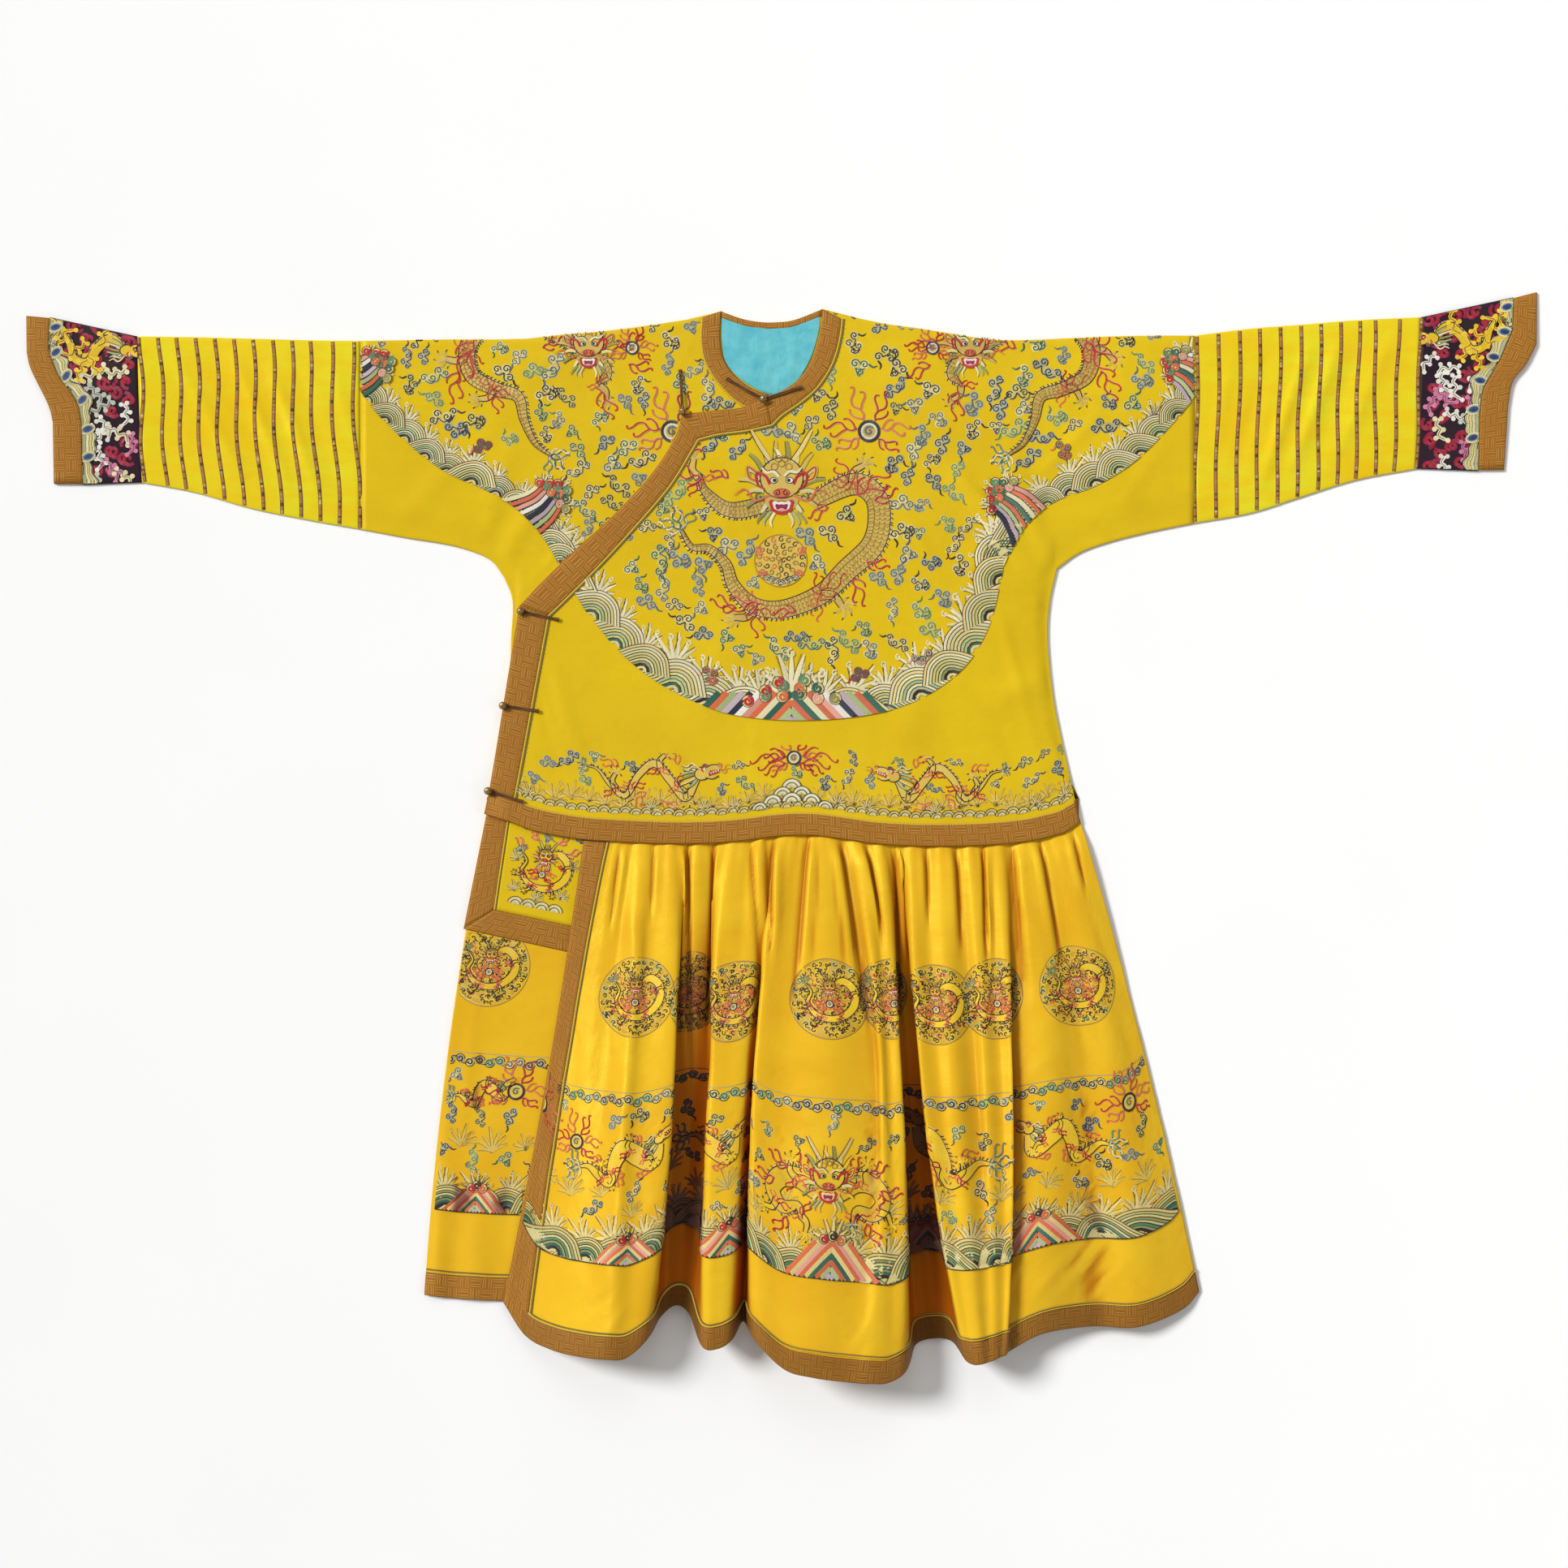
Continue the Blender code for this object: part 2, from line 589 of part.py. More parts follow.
def ball(name, x, y, z, brass):
    """A ball button resting on the band."""
    bpy.ops.mesh.primitive_uv_sphere_add(
        segments=16, ring_count=10, radius=BALL * MM, location=placed(x, y, z)
    )
    made = bpy.context.object
    made.name = made.data.name = name
    made.data.materials.append(brass)
    for holder in list(made.users_collection):
        holder.objects.unlink(made)
    home.objects.link(made)


def loop(name, start, end, brocade):
    """A rolled cord from beside the ball to its sewn end."""
    start, end = np.array(start, float), np.array(end, float)
    clear = start + (end - start) * (BALL + SEAM + 0.4) / np.linalg.norm((end - start)[:2])
    curve = bpy.data.curves.new(name, "CURVE")
    curve.dimensions = "3D"
    curve.bevel_depth = LOOP * MM
    curve.bevel_resolution = 2
    curve.use_fill_caps = True
    line = curve.splines.new("POLY")
    points = [clear + (end - clear) * t for t in np.linspace(0.0, 1.0, 6)]
    line.points.add(len(points) - 1)
    for spot, place in zip(line.points, points):
        spot.co = (*placed(*place), 1.0)
    curve.materials.append(brocade)
    made = bpy.data.objects.new(name, curve)
    home.objects.link(made)


def fastenings(brocade, brass):
    """The five ball buttons with their loops, and the button's own tab at the neck."""
    for number, (x, y, under, end_x, end_y, end_under) in enumerate(BUTTONS, 1):
        ball(f"button_{number}", x, y, under + SEAM + BALL, brass)
        start = (x, y, under + SEAM + LOOP)
        end = (end_x, end_y, end_under + SEAM + LOOP)
        loop(f"loop_{number}", start, end, brocade)
    x, y, under = BUTTONS[0][:3]
    end_x, end_y, end_under = NECK_LOOP_END
    end = (end_x, end_y, end_under + SEAM + LOOP)
    loop("tab_1", (x, y, under + SEAM + LOOP), end, brocade)


def main():
    """Makes the whole robe."""
    yellow = material("yellow_silk", YELLOW, 0.45)
    gold = material("golden_silk", GOLD, 0.4)
    lemon = material("lemon_silk", LEMON, 0.42)
    brocade = material("brown_brocade", BROWN, 0.6)
    night = material("dark_cuff_silk", NIGHT, 0.5)
    turquoise = material("turquoise_lining", TURQUOISE, 0.55)
    brass = material("old_brass", BRASS, 0.35, 0.9)
    outer_front(yellow, brocade)
    inner_front(yellow, brocade)
    back(yellow, brocade, turquoise)
    sleeve("right", SLEEVE_RIGHT, lemon)
    sleeve("left", SLEEVE_LEFT, lemon)
    cuff("right", CUFF_RIGHT, night, brocade)
    cuff("left", CUFF_LEFT, night, brocade)
    front_skirt(gold, brocade)
    under_skirt(gold, brocade)
    back_skirt(gold, brocade)
    flap(yellow, brocade)
    fastenings(brocade, brass)


clear_scene()
home = bpy.data.collections.new("dragon_robe")
bpy.context.scene.collection.children.link(home)
main()
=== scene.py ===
"""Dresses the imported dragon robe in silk, brocade and embroidery.

The robe lies flat with its front up and its neck towards +Y. Lengths inside the drawing tables
are millimetres in the robe's own plan, and placed() turns them into metres in the frame.
Every cloth is a fine shell on the form of its solid, and every stitched shape is raised thread
that follows the cloth below it.
"""

import json
from math import cos, pi, radians, sin, tau

import bmesh
import bpy
import numpy as np
from bpy.props import FloatProperty, FloatVectorProperty, IntProperty, PointerProperty
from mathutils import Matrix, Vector
from mathutils.bvhtree import BVHTree

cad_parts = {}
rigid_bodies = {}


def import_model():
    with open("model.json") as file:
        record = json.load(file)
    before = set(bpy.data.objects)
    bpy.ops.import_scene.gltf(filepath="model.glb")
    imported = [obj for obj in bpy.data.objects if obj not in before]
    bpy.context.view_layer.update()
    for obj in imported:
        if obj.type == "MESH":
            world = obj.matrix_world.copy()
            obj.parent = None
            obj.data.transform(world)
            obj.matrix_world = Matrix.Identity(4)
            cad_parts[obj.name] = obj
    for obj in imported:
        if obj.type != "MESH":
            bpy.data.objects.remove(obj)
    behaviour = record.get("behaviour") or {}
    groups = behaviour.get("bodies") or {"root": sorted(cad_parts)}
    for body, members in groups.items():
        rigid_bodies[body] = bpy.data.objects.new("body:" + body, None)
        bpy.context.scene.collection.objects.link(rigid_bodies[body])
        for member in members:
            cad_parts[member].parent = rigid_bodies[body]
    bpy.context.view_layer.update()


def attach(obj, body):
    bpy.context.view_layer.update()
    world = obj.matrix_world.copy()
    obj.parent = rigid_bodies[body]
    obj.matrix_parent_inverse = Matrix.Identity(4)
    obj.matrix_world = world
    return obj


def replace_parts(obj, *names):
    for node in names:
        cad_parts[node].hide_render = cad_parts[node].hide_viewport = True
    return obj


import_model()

bl_info = {
    "name": "Dragon robe",
    "version": (1, 0, 0),
    "blender": (4, 5, 0),
    "location": "3D View > Sidebar > Robe",
    "description": "Makes the cloth, borders and embroidery of a side-fastening dragon robe",
    "category": "Object",
}

# One millimetre in metres, and the place of the drawing that is the frame's origin.
MM = 0.001
CENTRE = np.array((-1.0, 7.4, 0.0))

# Walls of the cloths, then the heights of the back's and the fronts' faces and of a binding's.
SILK = 1.6
BINDING = 1.2
LINING = 1.0
BACK_WALL = 1.2
BACK_TOP = 1.6
FRONT_TOP = 3.7
BAND_LIFT = 1.5

# Widths of the hem and waist bindings, and how much the waist widens down its own.
HEM_WIDTH = 30.0
WAIST_DROP = 30.0
WAIST_FLARE = 0.017

# Rise of a sleeve along its middle, how far the skirt runs up under the waist, and its middle's y.
SLEEVE_PUFF = 2.2
SKIRT_TUCK = 14.0
MID_LEVEL = -283.0

# Ribs of the outer front, from the sleeve seam round to the side opening:
# edge x, edge y, band x, band y, foot x, foot y, edge height, middle height, foot height.
OUTER_FRONT = (
    (538, 655, 538, 625, 538, 413, 3.7, 6.0, 3.7),
    (483, 655, 483, 625, 483, 402, 3.7, 6.2, 3.7),
    (430, 654, 430, 624, 430, 389, 3.7, 6.4, 3.7),
    (383, 652, 384, 622, 388, 374, 3.7, 6.4, 3.7),
    (340, 650, 341, 620, 358, 353, 3.7, 6.4, 3.7),
    (293, 649, 297, 619, 349, 311, 3.7, 6.4, 3.7),
    (250, 653, 257, 624, 346, 262, 3.7, 6.4, 3.7),
    (213, 659, 222, 631, 352, 193, 3.7, 6.4, 3.7),
    (176, 665, 188, 638, 361, 143, 3.7, 6.6, 3.7),
    (139, 670, 152, 644, 373, 90, 3.7, 6.8, 3.7),
    (104, 677, 120, 652, 382, 50, 3.7, 7.0, 5.6),
    (52, 691, 77, 678, 361, 37, 3.7, 7.2, 9.2),
    (49, 661, 74, 654, 319, 27, 4.2, 7.2, 11.8),
    (42, 634, 65, 622, 273, 22, 5.0, 7.4, 11.8),
    (31, 612, 47, 592, 226, 20, 5.8, 7.4, 11.8),
    (15, 594, 26, 572, 174, 20, 6.6, 7.4, 11.8),
    (-4, 582, -1, 553, 121, 23, 7.3, 7.6, 11.8),
    (-21, 576, -14, 540, 80, 29, 7.6, 7.6, 11.8),
    (-52, 562, -46, 533, 38, 34, 7.6, 7.6, 11.8),
    (-89, 558, -84, 528, -4, 33, 7.6, 7.6, 11.8),
    (-131, 553, -111, 521, -51, 27, 7.6, 7.6, 11.8),
    (-140, 523, -119, 507, -88, 24, 7.6, 7.6, 11.8),
    (-170, 476, -148, 460, -140, 23, 7.6, 7.6, 11.8),
    (-219, 423, -194, 406, -197, 25, 7.6, 7.6, 11.8),
    (-267, 379, -242, 354, -258, 29, 7.6, 7.6, 11.8),
    (-310, 338, -284, 312, -315, 39, 7.6, 7.6, 11.8),
    (-343, 303, -306, 291, -350, 52, 7.6, 7.6, 11.8),
)
OUTER_CORNERS = (4, 10, 11, 17, 20)
WAIST_RIB = 10
NECK_RIB = 11
CLOSURE_RIB = 17
SIDE_FOOT = (-382, 62, 11.8)

# Ribs of the inner front, which the outer one covers, in the same columns.
INNER_FRONT = (
    (-551, 648, -551, 618, -551, 405, 3.7, 5.2, 3.7),
    (-492, 649, -492, 619, -492, 394, 3.7, 5.4, 3.7),
    (-434, 650, -433, 620, -428, 383, 3.7, 5.4, 3.7),
    (-375, 650, -376, 620, -383, 366, 3.7, 5.4, 3.7),
    (-333, 651, -336, 621, -363, 342, 3.7, 5.2, 3.7),
    (-290, 656, -295, 626, -352, 311, 3.7, 5.0, 3.7),
    (-243, 660, -251, 631, -354, 258, 3.7, 5.0, 3.7),
    (-200, 665, -209, 636, -355, 205, 3.7, 5.0, 3.7),
    (-158, 671, -169, 643, -357, 162, 3.7, 5.0, 3.7),
    (-125, 676, -137, 648, -367, 109, 3.7, 5.0, 3.7),
    (-80, 688, -106, 679, -376, 51, 3.7, 5.0, 3.7),
    (-81, 647, -107, 647, -322, 35, 3.7, 5.0, 3.7),
    (-75, 622, -100, 617, -259, 35, 3.7, 5.0, 3.7),
    (-60, 602, -80, 588, -195, 35, 3.7, 5.0, 3.7),
    (-39, 587, -57, 567, -131, 35, 3.7, 4.6, 3.7),
    (-18, 579, -30, 554, -68, 35, 3.7, 4.0, 3.7),
)
INNER_CORNERS = (4, 9, 10)
INNER_NECK_RIB = 10

# Top edge of the back between the two neck points, left to right.
BACK_NECK = ((-80, 688), (-51, 678), (-27, 674), (-6, 674), (16, 677), (52, 691))
BACK_WAIST = 52.0
BACK_NECK_STRIP = 8.5

# Lower edge of the lining that shows in the neck, left to right.
NECK_LINING = (
    (-79.5, 652),
    (-75, 624.5),
    (-60, 604),
    (-39, 589),
    (-18, 580),
    (-4, 579),
    (15, 591),
    (29.5, 612),
    (40, 635),
    (47.2, 662),
    (48.6, 676),
)

# Drag folds and press lines: start x, y, end x, y, half width, height (a trough is below 0).
OUTER_FOLDS = (
    (338, 338, 214, 486, 15, 5.1),
    (352, 352, 288, 520, 13, 3.8),
    (344, 300, 232, 380, 17, 4.2),
    (470, 430, 372, 520, 16, 3.2),
    (352, 210, 262, 176, 19, 3.5),
    (300, 120, 180, 210, 22, 2.6),
    (150, 90, 196, 260, 20, 2.2),
    (-120, 120, -60, 300, 24, 1.9),
    (232, 470, 322, 384, 3.5, 2.4),
    (222, 452, 306, 352, 4.0, -1.4),
    (282, 300, 330, 120, 8, 1.8),
    (268, 180, 318, 60, 9, -1.1),
    (-36, 150, -37, 70, 3.0, 1.8),
    (-300, 230, -262, 96, 8, 1.9),
    (-318, 190, -290, 70, 5, -1.1),
    (-150, 120, -120, 62, 7, 1.4),
    (60, 110, 96, 60, 8, 1.3),
    (420, 560, 330, 470, 9, 1.6),
    (500, 520, 440, 430, 8, 1.4),
    (450, 640, 440, 600, 9, 1.3),
    (330, 640, 300, 560, 8, 1.3),
    (120, 600, 250, 520, 8, 1.3),
    (-60, 480, -80, 380, 7, 1.1),
    (160, 430, 210, 330, 7, 1.3),
)
INNER_FOLDS = (
    (-372, 352, -300, 470, 14, 2.6),
    (-396, 372, -352, 520, 12, 2.0),
    (-500, 410, -420, 500, 15, 1.8),
    (-330, 330, -262, 410, 5, 1.2),
    (-420, 560, -360, 480, 8, 0.9),
    (-470, 620, -450, 560, 8, 0.8),
    (-230, 620, -190, 530, 8, 0.8),
    (-350, 640, -330, 590, 8, 0.7),
)
SLEEVE_FOLDS = (
    (-800, 640, -700, 470, 9, 3),
    (-760, 640, -660, 470, 10, -1.3),
    (-720, 640, -640, 450, 8, 3.2),
    (-670, 620, -600, 440, 8, 3.4),
    (-640, 630, -570, 430, 9, -1.2),
    (-590, 640, -556, 500, 8, 1.4),
    (800, 665, 720, 490, 9, 2.1),
    (762, 665, 690, 480, 10, -1.3),
    (730, 655, 660, 470, 8, 3),
    (690, 650, 620, 450, 8, 3.2),
    (640, 650, 580, 440, 9, -1.2),
    (590, 640, 560, 500, 8, 1.4),
)

# Ribs of the striped lower sleeves, shoulder seam to cuff: top x, y, bottom x, y.
SLEEVE_RIGHT = (
    (-551.3, 648, -551.3, 405),
    (-619, 649, -619, 417),
    (-693, 651, -693, 432),
    (-767, 653, -767, 453),
    (-842, 654, -836, 466),
)
SLEEVE_LEFT = (
    (538.3, 655, 538.3, 413),
    (611, 664, 611, 426),
    (674, 669, 674, 446),
    (748, 675, 748, 469),
    (834, 679, 828, 484),
)

# Cuff lines, top edge to bottom: wrist seam x, y, border line x, y, mouth x, y.
CUFF_RIGHT = (
    (-842, 654, -956, 679, -987, 682),
    (-840.8, 616, -957, 637, -986, 634),
    (-839.8, 586, -945, 606, -980, 611),
    (-838.7, 552, -921, 571, -958, 566),
    (-837.9, 526, -914, 544, -952, 543),
    (-836, 466, -913, 463, -951, 463),
)
CUFF_LEFT = (
    (834, 679, 954, 705, 985, 713),
    (832.8, 640, 952, 664, 984, 645),
    (831.6, 600, 934, 622, 970, 618),
    (830.5, 566, 914, 587, 953, 596),
    (829.5, 533, 909, 555, 947, 565),
    (828, 484, 908, 481, 942, 481),
)
CUFF_CORNERS = (1, 4)

# Fold lines of the pleated front skirt, side opening to side seam, valleys and crests in turn:
# waist x, middle x, hem x, hem y, and the cloth's height at the waist, middle and hem.
FRONT_SKIRT = (
    (-257, -302, -364, -604, 7.3, 8, 9),
    (-226, -280, -334, -647, 7.4, 12, 16),
    (-211, -252, -297, -661, 7.4, 24, 42),
    (-197, -225, -258, -666, 5.0, 31, 64),
    (-181, -200, -226, -667, 7.4, 47, 75),
    (-165, -180, -201, -666, 4.4, 43, 72),
    (-147, -140, -174, -644, 7.4, 48, 62),
    (-125, -143, -158, -622, 3.8, 24, 17),
    (-108, -117, -139, -608, 7.4, 20, 13),
    (-89, -90, -122, -618, 3.8, 11, 15),
    (-65, -93, -103, -654, 7.4, 38, 56),
    (-40, -66, -83, -656, 3.8, 41, 60),
    (-27, -46, -65, -646, 7.4, 39, 52),
    (-15, -31, -51, -628, 3.8, 23, 18),
    (8, -34, -36, -644, 7.4, 44, 64),
    (32, 4, 2, -679, 3.8, 42, 77),
    (54, 62, 39, -689, 7.4, 49, 82),
    (76, 117, 83, -695, 3.8, 37, 80),
    (93, 127, 110, -697, 7.4, 45, 80),
    (110, 137, 136, -697, 3.8, 40, 74),
    (126, 153, 160, -684, 7.4, 40, 60),
    (141, 149, 174, -660, 3.8, 6, 7),
    (147, 164, 200, -652, 6.0, 5, 6),
    (153, 181, 222, -656, 3.8, 7, 9),
    (170, 177, 236, -671, 7.4, 40, 60),
    (187, 199, 246, -675, 3.8, 37, 68),
    (207, 222, 256, -674, 7.4, 43, 70),
    (227, 246, 265, -672, 3.8, 33, 66),
    (244, 262, 274, -669, 7.4, 40, 65),
    (261, 280, 282, -666, 3.8, 35, 61),
    (279, 297, 288, -664, 7.4, 41, 60),
    (297, 294, 296, -660, 3.8, 25, 46),
    (315, 345, 338, -640, 7.4, 33, 40),
    (334, 388, 402, -634, 4.6, 19, 20),
    (356, 428, 462, -634, 6.0, 20, 26),
    (374, 456, 520, -614, 4.4, 10, 12),
    (386, 473, 544, -592, 3.6, 3.7, 3.9),
)
SKIRT_BORDER = 1
SKIRT_REST = FRONT_TOP + 0.2

# Sharp creases under the waist binding: x at the waist, x and y where each runs out,
# depth, half width, and the side on which the cloth stands up (1 is to the right).
SKIRT_PLEATS = (
    (-211, -228, -150, 3.0, 3.2, 1),
    (-168, -172, -120, 2.0, 3.0, 1),
    (-124, -118, -360, 6.5, 3.4, -1),
    (-89, -98, -330, 6.0, 3.2, 1),
    (-41, -28, -200, 4.0, 3.6, 1),
    (-11, -18, -190, 5.0, 2.8, 1),
    (33, 14, -230, 5.5, 3.6, 1),
    (75, 112, -260, 6.5, 3.4, -1),
    (107, 136, -150, 6.5, 3.2, -1),
    (146, 153, -260, 7.0, 3.2, 1),
    (187, 190, -130, 3.4, 3.4, -1),
    (225, 232, -170, 4.5, 3.8, -1),
    (261, 264, -190, 6.5, 2.8, 1),
    (298, 318, -230, 4.5, 4.4, 1),
    (335, 366, -190, 4.6, 3.4, -1),
    (380, 398, -90, 3.0, 3.0, -1),
)
PLEAT_RISE = 5.0

# Small creases on the skirt: centre x, level down the skirt, slant, length, half width, height.
SKIRT_CREASES = (
    (-214, 0.93, -0.5, 60, 6, 1.6),
    (-232, 0.89, -0.9, 46, 5, -1.4),
    (-160, 0.90, 0.5, 54, 6, 1.4),
    (20, 0.43, 1.5, 90, 4, 1.1),
    (44, 0.46, 1.5, 110, 4, -1.0),
    (36, 0.495, 1.45, 96, 4, 1.0),
    (60, 0.90, 0.5, 60, 7, 1.3),
    (100, 0.92, -0.4, 58, 7, 1.5),
    (240, 0.88, 0.6, 50, 5, 1.2),
    (300, 0.86, -0.7, 80, 7, 1.6),
    (345, 0.89, -0.8, 90, 7, 1.9),
    (392, 0.87, -0.7, 100, 8, 1.9),
    (430, 0.90, -0.8, 90, 7, 1.6),
    (360, 0.36, -0.8, 90, 8, 1.4),
    (330, 0.47, -1.0, 70, 7, 1.3),
    (320, 0.16, 0.3, 110, 7, 1.5),
    (-190, 0.22, 0.2, 120, 7, 1.4),
    (-215, 0.40, 0.4, 90, 6, 1.2),
)

# Fold lines of the under skirt, side seam inwards:
# waist x, middle x, hem x, hem y, and the cloth's height at the middle and hem.
UNDER_SKIRT = (
    (-384, -437, -467, -596, 3.7, 3.7),
    (-366, -424, -452, -597, 3.9, 8.5),
    (-346, -402, -430, -600, 3.8, 4.4),
    (-322, -372, -404, -601, 4.0, 8.0),
    (-300, -340, -378, -603, 3.7, 4.4),
    (-268, -300, -350, -603, 3.8, 4.6),
    (-236, -256, -318, -603, 3.7, 3.7),
)
UNDER_WAIST = 24.0

# Side lines of the back skirt, waist to hem: height up the body, left x, right x.
BACK_SKIRT = (
    (21.6, -385, 385),
    (-60, -402, 410),
    (-140, -415, 434),
    (-220, -428, 455),
    (-300, -438, 474),
    (-380, -447, 490),
    (-460, -455, 508),
    (-557, -462, 532),
    (-587, -464, 540),
)

# Corners of the waist flap and of the embroidered panel that its borders frame.
FLAP_TOP = ((-384, 43), (-357, 34), (-250, 10))
FLAP_FOOT = ((-416, -118), (-376, -93), (-268, -116), (-262, -152))
FLAP_Z = FRONT_TOP + 0.3 + SILK

# Ball buttons: ball x, y, height of what it lies on, loop's far end x, y and that height.
BUTTONS = (
    (-25, 572, 9.1, -72, 599, 5.6),
    (-130, 556, 9.1, -133, 610, 5.6),
    (-341, 296, 9.1, -292, 285, 9.1),
    (-364, 173, 9.2, -318, 166, 9.2),
    (-383, 62, 13.3, -338, 48, 13.3),
)
SEAM = 0.3
BALL = 5.5
LOOP = 2.0
NECK_LOOP_END = (24, 588, 8.4)

# Where the narrow trims cross the lower sleeves: x at the top fold and x at the seam below.
TRIMS_RIGHT = (
    (-840, -832), (-815, -802), (-791, -778), (-766, -753), (-741, -728), (-716, -702),
    (-691, -677), (-665, -653), (-640, -628), (-616, -603), (-587, -578), (-559, -551.5),
)
TRIMS_LEFT = (
    (541, 538.5), (569, 566), (597, 593), (623, 619), (650, 646), (677, 672),
    (703, 699), (729, 724), (754, 748), (774, 774), (806, 798), (834, 827),
)


def ease(t):
    """0 to 1 with a level start and end."""
    t = np.clip(t, 0.0, 1.0)
    return t * t * (3.0 - 2.0 * t)


def placed(points):
    """Points of the drawing in the robe's frame, in metres."""
    return (np.asarray(points, float) - CENTRE) * MM


def through(rows, samples, corners=()):
    """Rows on a smooth curve through the given ones, which turns sharply at the corners."""
    rows = np.asarray(rows, float)
    last = len(rows) - 1
    t = (np.arange(samples) / samples)[:, None]
    made = []
    for i in range(last):
        chord = rows[i + 1] - rows[i]
        start = chord if i == 0 or i in corners else (rows[i + 1] - rows[i - 1]) / 2
        end = chord if i + 1 == last or i + 1 in corners else (rows[i + 2] - rows[i]) / 2
        reach = 1.6 * np.linalg.norm(chord)
        start = start * min(1.0, reach / np.linalg.norm(start))
        end = end * min(1.0, reach / np.linalg.norm(end))
        made.append(
            rows[i] * (2 * t**3 - 3 * t**2 + 1)
            + start * (t**3 - 2 * t**2 + t)
            + rows[i + 1] * (3 * t**2 - 2 * t**3)
            + end * (t**3 - t**2)
        )
    return np.concatenate([*made, rows[last:]])


def fold_height(spots, folds):
    """How far the soft folds lift the cloth at each spot."""
    total = np.zeros(spots.shape[:-1])
    for x0, y0, x1, y1, width, height in folds:
        along = np.array((x1 - x0, y1 - y0), float)
        length = np.linalg.norm(along)
        away = spots[..., :2] - (x0, y0)
        t = away @ along / length**2
        aside = (along[0] * away[..., 1] - along[1] * away[..., 0]) / length
        swell = np.sin(pi * np.clip(t, 0.0, 1.0)) ** 0.7
        total += height * swell * np.exp(-((aside / width) ** 2))
    return total


def ripple(x, y, reach):
    """A slow unevenness of cloth that has been worn, from 0 to its reach."""
    waves = ((31, 9, 0.4), (-13, 27, 1.9), (52, -33, 2.8), (17, 58, 4.4), (-71, 40, 5.5))
    total = sum(np.sin((x * a + y * b) / 1400.0 + c) for a, b, c in waves)
    return reach * (0.5 + total / 10.0)


def lengths(line):
    """Distance along a line of points, starting at 0."""
    steps = np.linalg.norm(np.diff(np.asarray(line, float), axis=0), axis=1)
    return np.concatenate([[0.0], np.cumsum(steps)])


def resampled(line, step):
    """The line with its points about one step apart."""
    line = np.asarray(line, float)
    run = lengths(line)
    spots = np.linspace(0.0, run[-1], max(2, int(round(run[-1] / step)) + 1))
    return np.stack([np.interp(spots, run, line[:, i]) for i in range(line.shape[1])], axis=1)


def smooth(points, step=3.0):
    """A smooth line through the points, its own points about one step apart."""
    return resampled(through(points, 12), step)


def aside(line):
    """The unit step to the left of a plan line at each of its points."""
    ahead = np.gradient(np.asarray(line, float)[:, :2], axis=0)
    ahead /= np.maximum(np.linalg.norm(ahead, axis=1, keepdims=True), 1e-9)
    return np.stack([-ahead[:, 1], ahead[:, 0]], axis=1)


def beside(line, distance):
    """The plan line moved to its left by a distance, or to its right if that is below 0."""
    return np.asarray(line, float)[:, :2] + aside(line) * np.reshape(distance, (-1, 1))


class Value:
    """A shader socket that takes part in sums."""

    def __init__(self, paint, socket):
        self.paint, self.socket = paint, socket

    def maths(self, operation, *values):
        return self.paint.node("Math", {"operation": operation}, values)

    def wave(self):
        """The sine of an angle."""
        return self.maths("SINE", self)

    def size(self):
        """The value without its sign."""
        return self.maths("ABSOLUTE", self)

    def within(self, low, high):
        """0 at the low value and below, 1 at the high value and above."""
        return self.paint.node("MapRange", {"clamp": True}, (self, low, high))


SUMS = {
    "add": "ADD",
    "sub": "SUBTRACT",
    "mul": "MULTIPLY",
    "truediv": "DIVIDE",
    "mod": "FLOORED_MODULO",
    "gt": "GREATER_THAN",
    "lt": "LESS_THAN",
}


def sum_of(operation, swapped=False):
    """A method that adds, multiplies or compares, for a number on either side of the value."""
    if swapped:
        return lambda value, other: value.maths(operation, other, value)
    return lambda value, other: value.maths(operation, value, other)


for word, operation in SUMS.items():
    setattr(Value, f"__{word}__", sum_of(operation))
    if word in ("add", "sub", "mul"):
        setattr(Value, f"__r{word}__", sum_of(operation, swapped=True))


